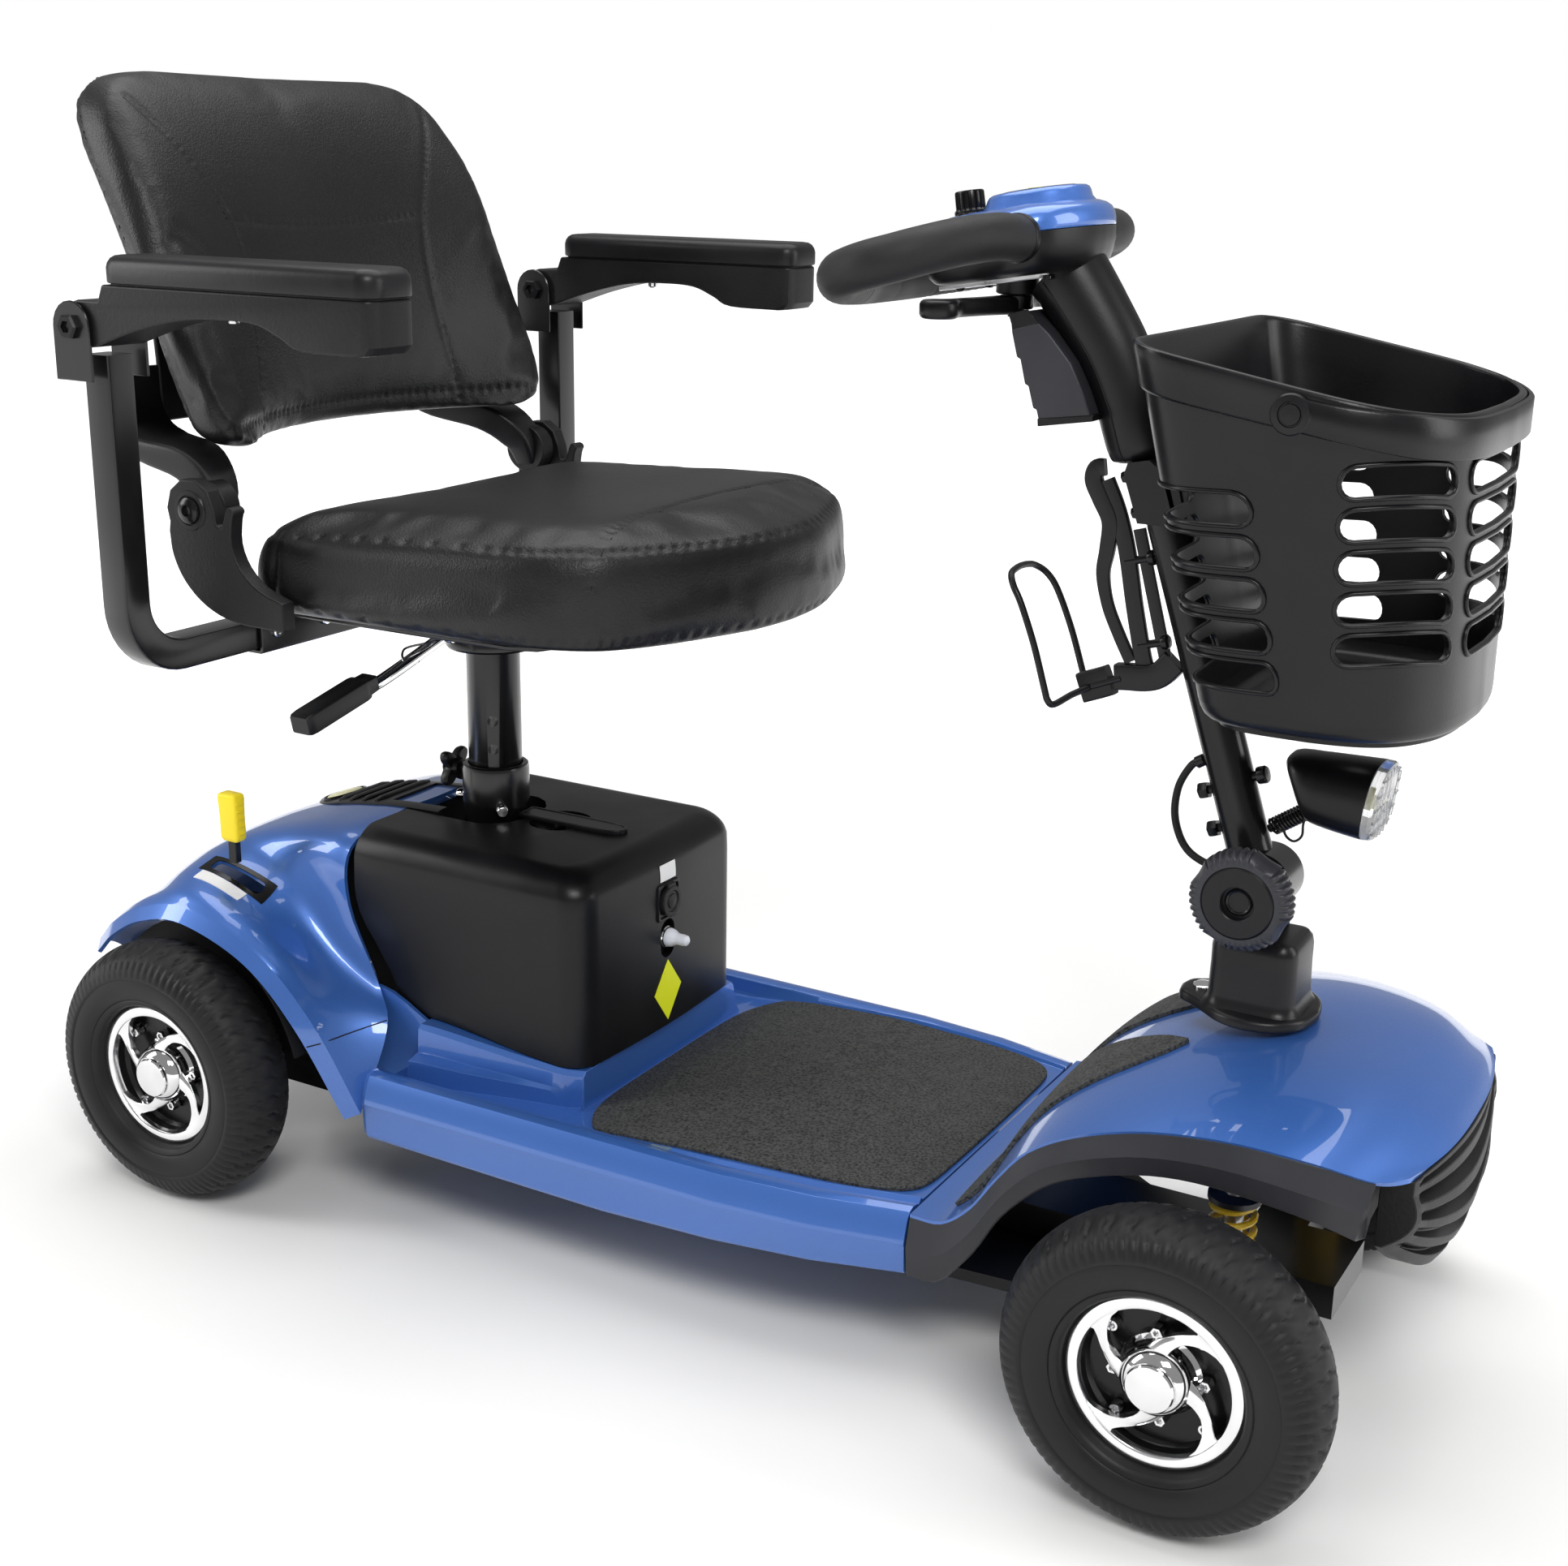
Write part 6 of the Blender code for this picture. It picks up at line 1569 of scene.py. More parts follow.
def make_armrest(label, side):
    upright, arm = "armrest_upright_" + label, "armrest_" + label
    bend = 0.045
    corner = [(side * (ARM_Y - bend * (1 - math.sin(a))), 0.49 + bend * (1 - math.cos(a)))
              for a in np.radians(np.linspace(0, 90, 11))]
    path = [(ARM_X, side * 0.02, 0.49), (ARM_X, side * 0.2, 0.49)] + [(ARM_X, y, z) for y, z in corner]
    path += [(ARM_X, side * ARM_Y, 0.6), (ARM_X, side * ARM_Y, 0.724)]
    build("arm_tube_" + label, sweep(path, rounded(0.0127, 0.0127, 0.0022, 3), up=(1, 0, 0)), "steel",
          upright, "armrest_tube_" + label, 28)
    hx, hz = ARM_X - 0.006, 0.745
    cheek = [(hx - 0.0185, 0.706), (hx + 0.0185, 0.706), (hx + 0.0185, hz)]
    cheek += [(hx + 0.0185 * math.cos(a), hz + 0.0185 * math.sin(a))
              for a in np.radians(np.linspace(15, 165, 9))]
    cheek += [(hx - 0.0185, hz)]
    for n, y in enumerate((ARM_Y - 0.0282, ARM_Y + 0.0254)):
        plate = build("arm_cheek_%s_%d" % (label, n), prism_y(cheek, side * y, side * (y + 0.0026)),
                      "steel", upright)
        bevel(plate, 0.0007, 1, 50)
        outward = side if n else -side
        bolt("arm_bolt_%s_%d" % (label, n), (hx, side * (y + (0.0026 if n else 0.0)), hz), (0, outward, 0),
             upright, 0.0095, 0.005, "gloss", True)
    base_top = 0.7758
    top = [(0.326, base_top), (0.076, base_top), (0.071, 0.764), (hx + 0.004, 0.764), (hx - 0.013, 0.759)]
    tail = [(hx + 0.0165 * math.cos(a), hz + 0.0165 * math.sin(a))
            for a in np.radians([165, 195, 225, 255, 285])]
    lower = smooth_path([(hx + 0.02, 0.731), (hx + 0.06, 0.744), (0.15, 0.754), (0.19, 0.7565),
                         (0.222, 0.755), (0.244, 0.747), (0.262, 0.7395), (0.315, 0.7385)], 4)
    nose = [(0.321, 0.7395), (0.326, 0.745)]
    outline = top + tail + lower + nose
    sections = []
    for y, tuck in ((-0.0242, 0.009), (-0.0225, 0.0045), (-0.0185, 0.0015), (-0.012, 0.0), (0.012, 0.0),
                    (0.0185, 0.0015), (0.0225, 0.0045), (0.0242, 0.009)):
        sections.append([(x - tuck * max(0.0, (x - 0.28) / 0.047), side * (ARM_Y + y), z) for x,
                         z in outline])
    base = build("arm_shell_" + label, skin(sections), "textured", arm, "arm_base_" + label,
                 30)
    bevel(base, 0.0022, 3, 50)
    loops = []
    for z, shrink in ((base_top + 0.0012, 0.0012), (base_top + 0.0018, 0.0002), (base_top + 0.003, 0.0),
                      (0.788, 0.0), (0.7915, 0.001), (0.7945, 0.0032), (0.7963, 0.0065), (0.7969, 0.011),
                      (0.797, 0.018)):
        section = rounded(0.126 - shrink, 0.0262 - shrink, max(0.004, 0.015 - shrink), 5)
        loops.append([(ARM_MIDDLE + a, side * ARM_Y + b, z) for a, b in section])
    build("arm_cushion_" + label, skin(loops), "armpad", arm, "arm_pad_" + label, 30)
    section = rounded(0.125 - 0.0022, 0.025 - 0.0022, 0.01, 4)
    loops = [[(ARM_MIDDLE + a, side * ARM_Y + b, base_top + lift) for a, b in section]
             for lift in (-0.002, 0.002)]
    build("arm_joint_" + label, skin(loops), "dark", arm)
    for n, x in enumerate((0.12, 0.17)):
        bolt("arm_screw_%s_%d" % (label, n), (x, side * (ARM_Y - 0.01), 0.7545 - 0.002 * (1 - n)),
             (0, 0, -1), arm, 0.0042, 0.003)


# ---------------------------------------------------------------- steering column and tiller
HINGE_X, HINGE_Z = 0.868, 0.386
TUBE_RADIUS = 0.016
CONSOLE_LEAN = math.radians(9.0)
CONSOLE_UP = (-math.sin(CONSOLE_LEAN), 0.0, math.cos(CONSOLE_LEAN))
CONSOLE_MIDDLE, POD_X = 0.665, 0.668


def make_socket():
    flange = smooth_path([(0.8125, 0.0), (0.8155, 0.0125), (0.825, 0.019), (0.838, 0.029), (0.854, 0.041),
                          (0.874, 0.0455), (0.895, 0.04), (0.91, 0.024), (0.915, 0.0)], 4)
    loops = stacked(mirrored(flange), (
        (0.2862, 0.0015), (0.2875, 0.0), (0.2915, 0.0), (0.2935, 0.001), (0.2945, 0.003), (0.2948, 0.008)))
    build("column_flange", fill_between(loops), "smooth", "steering_column", "tiller_socket",
          40)
    loops = []
    for z, grow in ((0.293, 0.006), (0.2955, 0.0035), (0.2985, 0.0015), (0.303, 0.0006), (0.325, 0.0),
                    (0.338, 0.0), (0.343, -0.0012), (0.346, -0.004), (0.3468, -0.009)):
        loops.append([(0.8705 + a, b, z) for a,
                      b in rounded(0.0315 + grow, 0.0298 + grow, 0.013 + grow, 7)])
    build("column_post", skin(loops), "smooth", "steering_column", sharp=35)
    for n, side in enumerate((-1.0, 1.0)):
        cheek = [(HINGE_X - 0.014, 0.34)]
        cheek += [(HINGE_X + 0.014 * math.cos(a), HINGE_Z + 0.014 * math.sin(a))
                  for a in np.radians(np.linspace(180, 0, 13))]
        cheek += [(HINGE_X + 0.014, 0.34)]
        plate = build("column_cheek_%d" % n, prism_y(cheek, side * 0.0178, side * 0.024), "smooth",
                      "steering_column")
        bevel(plate, 0.0012, 2, 50)
    loops = []
    for lift, grow in ((0.0, 1.0), (0.0018, 1.0), (0.0026, 0.85), (0.0029, 0.4)):
        loops.append([(0.83 + 0.0085 * grow * a, 0.0085 * grow * b, 0.2945 + lift) for a,
                      b in circle(1.0, 28)])
    build("column_button", skin(loops), "chrome", "steering_column", sharp=40)
    cap = [(0.01, 0.0), (0.0106, 0.0012), (0.01, 0.0032), (0.006, 0.0036), (0.0004, 0.0036)]
    build("column_hinge_cap", turned(cap, (HINGE_X, 0.024, HINGE_Z), (0, 1, 0), 36), "gloss",
          "steering_column")


def make_angle_knob():
    sides = 448

    def wave(i, radius):
        """Four groups of seven ribs with a smooth hollow between the groups."""
        if radius < 0.031:
            return radius
        share = (4.0 * i / sides + 0.12) % 1.0
        if share > 0.64:
            return radius - 0.0022 * math.sin(math.pi * (share - 0.64) / 0.36)
        groove = 0.5 - 0.5 * math.cos(2 * math.pi * 7 * share / 0.64)
        return radius - 0.0019 * (1.0 - groove) ** 1.5

    profile = [(0.013, 0.03), (0.016, 0.0305), (0.0165, 0.0425), (0.03, 0.044), (0.0345, 0.045),
               (0.0362, 0.047), (0.0366, 0.05), (0.0366, 0.057), (0.0358, 0.06), (0.0335, 0.0625),
               (0.0305, 0.064), (0.0262, 0.0642), (0.0258, 0.0636), (0.0258, 0.0545), (0.013, 0.0545)]
    build("tilt_knob", turned(profile, (HINGE_X, 0, HINGE_Z), (0, -1, 0), sides, ring=True, wave=wave),
          "trim", "angle_knob", "angle_knob", 40)
    face = [(0.0262, 0.06), (0.026, 0.0634), (0.0245, 0.065), (0.0125, 0.0656), (0.0118, 0.065),
            (0.0112, 0.056), (0.009, 0.0556), (0.0004, 0.0554)]
    build("tilt_knob_face", turned(face, (HINGE_X, 0, HINGE_Z), (0, -1, 0), 64), "plastic", "angle_knob",
          sharp=28)
    nut = [(0.01, 0.0555), (0.0102, 0.06), (0.0085, 0.0612), (0.0074, 0.0606), (0.006, 0.058),
           (0.0004, 0.0578)]
    build("tilt_knob_nut", turned(nut, (HINGE_X, 0, HINGE_Z), (0, -1, 0), 40), "gloss", "angle_knob",
          sharp=28)


def tube_point(z):
    share = (z - 0.409) / (0.64 - 0.409)
    return 0.8535 - share * 0.0775


def make_tube():
    hub = [(0.015, -0.0172), (0.0225, -0.0168), (0.023, -0.016), (0.023, 0.016), (0.0225, 0.0168),
           (0.015, 0.0172)]
    build("tiller_hub", turned(hub, (HINGE_X, 0, HINGE_Z), (0, 1, 0), 48), "steel", "tiller", sharp=30)
    path = [(0.86, 0, 0.393), (0.8535, 0, 0.409), (tube_point(0.52), 0, 0.52),
            (tube_point(0.668), 0, 0.668)]
    build("tiller_pipe", sweep(path, circle(TUBE_RADIUS, 40), up=(0, 1, 0)), "gloss", "tiller",
          "tiller_tube")
    front = Vector((0.231, 0, 0.0775)).normalized()
    for n, (z, way) in enumerate(((0.454, 1.0), (0.45, -1.0), (0.423, -1.0))):
        place = Vector((tube_point(z), 0, z)) + front * (way * (TUBE_RADIUS - 0.001))
        head = [(0.0036, 0.0), (0.0036, 0.004), (0.006, 0.004), (0.0064, 0.0052), (0.0064, 0.0098),
                (0.0054, 0.0112), (0.0004, 0.0116)]
        build("tiller_bolt_%d" % n, turned(head, place, tuple(front * way), 6 if way < 0 else 24), "gloss",
              "tiller", sharp=25)
    route = side_path([(0.814, 0.464), (0.807, 0.459), (0.799, 0.442), (0.798, 0.42), (0.806, 0.4),
                       (0.82, 0.39), (0.8415, 0.386)], 8)
    build("control_cable", sweep(route, circle(0.0028, 14), up=(0, 1, 0)), "foam", "tiller", "column_cable")
    for n, place in enumerate((route[0], route[-1])):
        collar = [(0.003, -0.004), (0.0044, -0.003), (0.0044, 0.003), (0.003, 0.004)]
        first, second = (route[0], route[1]) if n == 0 else (route[-2], route[-1])
        ahead = Vector(second) - Vector(first)
        build("cable_collar_%d" % n, turned(collar, place, tuple(ahead), 20), "smooth", "tiller")


# Middle of the neck cover at each level, from the bottom up: x, z, radius.
NECK = [(0.757, 0.672, 0.011), (0.7568, 0.6733, 0.0165), (0.7562, 0.676, 0.0205), (0.755, 0.68, 0.023),
        (0.7535, 0.686, 0.0243), (0.75, 0.698, 0.025), (0.744, 0.715, 0.0252), (0.731, 0.743, 0.0258),
        (0.7145, 0.768, 0.0268), (0.697, 0.792, 0.028), (0.69, 0.8, 0.0282)]


def make_neck():
    rows = smooth_path(NECK, 4)
    squash = 0.94
    loops, seam = [], []
    for i, (x, z, radius) in enumerate(rows):
        x0, z0 = rows[max(0, i - 1)][:2]
        x1, z1 = rows[min(len(rows) - 1, i + 1)][:2]
        length = math.hypot(x1 - x0, z1 - z0)
        ax, az = (z1 - z0) / length, -(x1 - x0) / length
        loops.append([(x + ax * radius * a, radius * squash * b, z + az * radius * a) for a,
                      b in circle(1.0, 40)])
        if 6 < i < len(rows) - 1:
            angle = math.radians(250)
            a, b = math.cos(angle) * 1.004, math.sin(angle) * 1.004
            seam.append((x + ax * radius * a, radius * squash * b, z + az * radius * a))
    build("neck_shell", skin(loops), "plastic", "tiller", "tiller_neck", 45)
    build("neck_seam_right", sweep(seam, circle(0.0006, 6)), "dark", "tiller")
    build("neck_seam_left", sweep([(x, -y, z) for x, y, z in seam], circle(0.0006, 6)), "dark", "tiller")


def console_plan(scale):
    half = [(0.594, 0.0), (0.5945, 0.018), (0.598, 0.033), (0.608, 0.0445), (0.626, 0.051), (0.648, 0.056),
            (0.664, 0.063), (0.676, 0.0665), (0.69, 0.066), (0.702, 0.056), (0.712, 0.036), (0.7175, 0.018),
            (0.719, 0.0)]
    curve = smooth_path(half, 4)
    return mirrored([(CONSOLE_MIDDLE + (x - CONSOLE_MIDDLE) * scale, y * scale) for x, y in curve])


def console_height(x, lift):
    return 0.783 + math.tan(CONSOLE_LEAN) * (x - 0.596) + lift


def console_loops(levels):
    """The console's outline at (lift, scale) levels."""
    return [[(x, y, console_height(x, lift)) for x, y in console_plan(scale)] for lift, scale in levels]


def pod_loops(shape, levels):
    """The raised gauge pod's outline at (lift, scale) levels."""
    loops = []
    for lift, grow in levels:
        plan = [(POD_X + 0.036 * grow * a, 0.0345 * grow * b) for a, b in shape]
        loops.append([(x, y, console_height(x, lift)) for x, y in plan])
    return loops


def make_console():
    loops = console_loops(((0.002, 0.1), (0.0005, 0.5), (0.0005, 0.78), (0.001, 0.84), (0.003, 0.9),
                           (0.007, 0.955), (0.013, 0.985), (0.019, 0.998), (0.024, 1.0), (0.0282, 1.0),
                           (0.0282, 0.9)))
    build("console_bowl", skin(loops), "plastic", "tiller", "console_lower", 40)
    loops = console_loops(((0.0286, 0.9), (0.0286, 0.992), (0.0292, 1.0), (0.034, 0.994), (0.0385, 0.972),
                           (0.042, 0.935), (0.0448, 0.87), (0.0468, 0.78), (0.048, 0.65), (0.0486, 0.45),
                           (0.0488, 0.15)))
    build("console_cap", skin(loops), "blue", "tiller", "console_top", 40)
    loops = pod_loops(squared_circle(0.85, 48), ((0.038, 1.12), (0.047, 1.07), (0.05, 1.0), (0.0545, 0.96),
                                                 (0.0566, 0.925), (0.0578, 0.87), (0.0582, 0.8),
                                                 (0.0576, 0.6), (0.0574, 0.2)))
    build("console_pod", skin(loops), "blue", "tiller", sharp=40)
    loops = pod_loops(circle(1.0, 48), ((0.056, 0.74), (0.0584, 0.74), (0.0588, 0.7), (0.0588, 0.3)))
    build("gauge_window", skin(loops), "gloss", "tiller", sharp=30)
    light = [(0.0022, 0.0), (0.0022, 0.0008), (0.0012, 0.0013), (0.0003, 0.0014)]
    for n, (y, material) in enumerate(((-0.014, "cream"), (0.0, "sticker"), (0.014, "white"))):
        place = (POD_X, y, console_height(POD_X, 0.0588))
        build("gauge_lamp_%d" % n, turned(light, place, CONSOLE_UP, 16), material, "tiller")
    button = [(0.007, 0.0), (0.0074, 0.0018), (0.0066, 0.003), (0.003, 0.0034), (0.0004, 0.0034)]
    for label, side in SIDES:
        place = (0.628, side * 0.03, console_height(0.628, 0.045))
        build("horn_button_" + label, turned(button, place, CONSOLE_UP, 28), "gloss", "tiller")
    under = []
    for lift, scale in ((-0.0022, 0.7), (-0.0022, 0.745), (-0.0016, 0.76), (0.0008, 0.76)):
        under.append([(x - 0.01, y * 0.86, console_height(x - 0.01, lift)) for x, y in console_plan(scale)])
    build("console_underplate", skin(under), "alloy_soft", "tiller", sharp=30)
    for n, (x, y) in enumerate(((0.622, -0.024), (0.622, 0.024), (0.69, -0.03), (0.69, 0.03))):
        bolt("underplate_screw_%d" % n, (x, y, console_height(x, -0.002)), (0, 0, -1), "tiller", 0.0032,
             0.0018, "gloss")


GRIP_HALF = [(0.683, 0.064, 0.8222), (0.683, 0.078, 0.8231), (0.682, 0.095, 0.824), (0.6775, 0.118, 0.8232),
             (0.669, 0.141, 0.8205), (0.655, 0.162, 0.8155), (0.643, 0.171, 0.8115),
             (0.629, 0.1745, 0.8075), (0.615, 0.1705, 0.8035), (0.6, 0.158, 0.7992), (0.585, 0.134, 0.7945),
             (0.572, 0.106, 0.7912), (0.559, 0.072, 0.7885), (0.5505, 0.035, 0.7865), (0.548, 0.0, 0.786)]


def make_handlebar():
    half = smooth_path(GRIP_HALF, 14)
    path = half + [(x, -y, z) for x, y, z in reversed(half[:-1])]
    sides = 28
    points, faces = sweep(path, circle(0.0155, sides))
    middle = Vector((0.622, 0.0, 0.802))
    out = []
    for i, base in enumerate(path):
        inward = (middle - Vector(base)).normalized()
        rib = 0.35 < abs(base[1]) / 0.15 < 1.1 and base[0] < 0.61
        groove = 0.0008 if rib and i % 3 == 0 else 0.0
        for j in range(sides):
            point = Vector(points[i * sides + j])
            facing = (point - Vector(base)).normalized()
            toward = facing.dot(inward) - 0.35 * facing.z
            if groove and toward > 0.15:
                point -= facing * groove * min(1.0, (toward - 0.15) * 4)
            out.append(point)
    build("handle_loop", (out, faces), "foam", "tiller", "handlebar", 50)
    for label, side in SIDES:
        ring = [(0.014, -0.004), (0.016, -0.0036), (0.0164, -0.002), (0.0164, 0.002), (0.0158, 0.0032),
                (0.014, 0.0034)]
        build("handle_collar_" + label, turned(ring, (0.683, side * 0.068, 0.8224), (0, side, 0.07), 40),
              "plastic", "tiller", sharp=35)


def make_controls():
    place = (0.618, 0.0, 0.829)

    def ribs(i, radius):
        return radius - (0.0011 if 0.0095 < radius < 0.011 and i % 6 in (0, 1) else 0.0)

    profile = [(0.01, 0.004), (0.0118, 0.0045), (0.0118, 0.008), (0.0106, 0.0095), (0.0104, 0.0205),
               (0.01, 0.0216), (0.009, 0.022), (0.0072, 0.0218), (0.0064, 0.0212), (0.0004, 0.0212)]
    build("dial_knob", turned(profile, place, CONSOLE_UP, 96, wave=ribs), "gloss", "speed_knob",
          "speed_knob", 28)
    collar = [(0.0165, -0.006), (0.0165, 0.0015), (0.015, 0.0032), (0.01, 0.0034)]
    build("dial_collar", turned(collar, place, CONSOLE_UP, 40), "plastic", "tiller")

    x, z = 0.655, 0.7805
    half = [(x + 0.007, 0.0), (x + 0.006, 0.01), (x - 0.004, 0.03), (x - 0.01, 0.05), (x - 0.0125, 0.064),
            (x - 0.01, 0.072), (x - 0.0085, 0.08), (x - 0.011, 0.0875), (x - 0.018, 0.0925),
            (x - 0.0265, 0.0925), (x - 0.0335, 0.087), (x - 0.0355, 0.079), (x - 0.032, 0.071),
            (x - 0.025, 0.065), (x - 0.0215, 0.05), (x - 0.016, 0.025), (x - 0.0135, 0.01),
            (x - 0.013, 0.0)]
    loops = stacked(mirrored(smooth_path(half, 3)), (
        (z - 0.0125, 0.0026), (z - 0.0115, 0.001), (z - 0.0095, 0.0), (z - 0.003, 0.0), (z - 0.001, 0.001),
        (z, 0.0026)))
    build("throttle_paddles", skin(loops), "smooth", "throttle_lever", "throttle_lever",
          35)
    hub = [(0.005, -0.015), (0.0062, -0.0145), (0.0062, -0.01), (0.011, -0.009), (0.0118, -0.008),
           (0.0118, 0.0002), (0.009, 0.0006)]
    build("throttle_hub", turned(hub, (x, 0, z), (0, 0, 1), 32), "gloss", "throttle_lever", sharp=30)
    boss = [(0.014, 0.0012), (0.015, 0.002), (0.015, 0.012), (0.008, 0.0125)]
    build("throttle_boss", turned(boss, (x, 0, z), (0, 0, 1), 32), "plastic", "tiller")

    case = [(0.664, 0.77), (0.676, 0.7725), (0.694, 0.758), (0.711, 0.739), (0.721, 0.72), (0.729, 0.701),
            (0.69, 0.6955), (0.687, 0.706), (0.6845, 0.7065), (0.68, 0.722), (0.6775, 0.7225),
            (0.673, 0.74), (0.6705, 0.7405), (0.666, 0.757)]
    body = build("case_shell", prism_y(case, -0.0315, 0.0315), "trim", "tiller", "accessory_case")
    bevel(body, 0.0026, 3, 40)
    for n, y in enumerate((-0.0322, 0.0312)):
        flap = [(0.663, 0.77), (0.6772, 0.7737), (0.686, 0.765), (0.667, 0.76)]
        bevel(build("case_lip_%d" % n, prism_y(flap, y, y + 0.001), "plastic", "tiller"), 0.0003, 1)
    base = [(0.6885, 0.7), (0.73, 0.7055), (0.73, 0.701), (0.689, 0.6945)]
    bevel(build("case_foot", prism_y(base, -0.0324, 0.0324), "plastic", "tiller"), 0.0008, 2)


# ---------------------------------------------------------------- basket
BASKET_BOTTOM, BASKET_MIDDLE = 0.52, 0.917
SLOT_PITCH, SLOT_RADIUS = 0.0262, 0.0092
WALL_SCALE = 0.215  # height of the wall, for flat coordinates of even proportions


def rim_height(x):
    return 0.766 - 0.185 * (x - 0.798)


def basket_outline(t, margin=0.0):
    """Plan outline of the basket: 0 at the bottom, 1 at the rim; the first point is at the rear."""
    rear = 0.845 - 0.053 * t
    front = 1.003 - 0.008 * t
    half = 0.124 + 0.026 * t
    key = [(rear, 0.0), (rear, (half - 0.034) * 0.5), (rear, half - 0.034), (rear + 0.0035, half - 0.018),
           (rear + 0.014, half - 0.0065), (rear + 0.03, half - 0.001), (rear + 0.06, half),
           (front - 0.075, half - 0.001), (front - 0.048, half - 0.008), (front - 0.026, half - 0.024),
           (front - 0.01, half - 0.052), (front - 0.0025, half - 0.085), (front, 0.0)]
    curve = smooth_path(key, 6)
    loop = curve + [(x, -y) for x, y in reversed(curve[1:-1])]
    return inset(loop, margin) if margin else loop


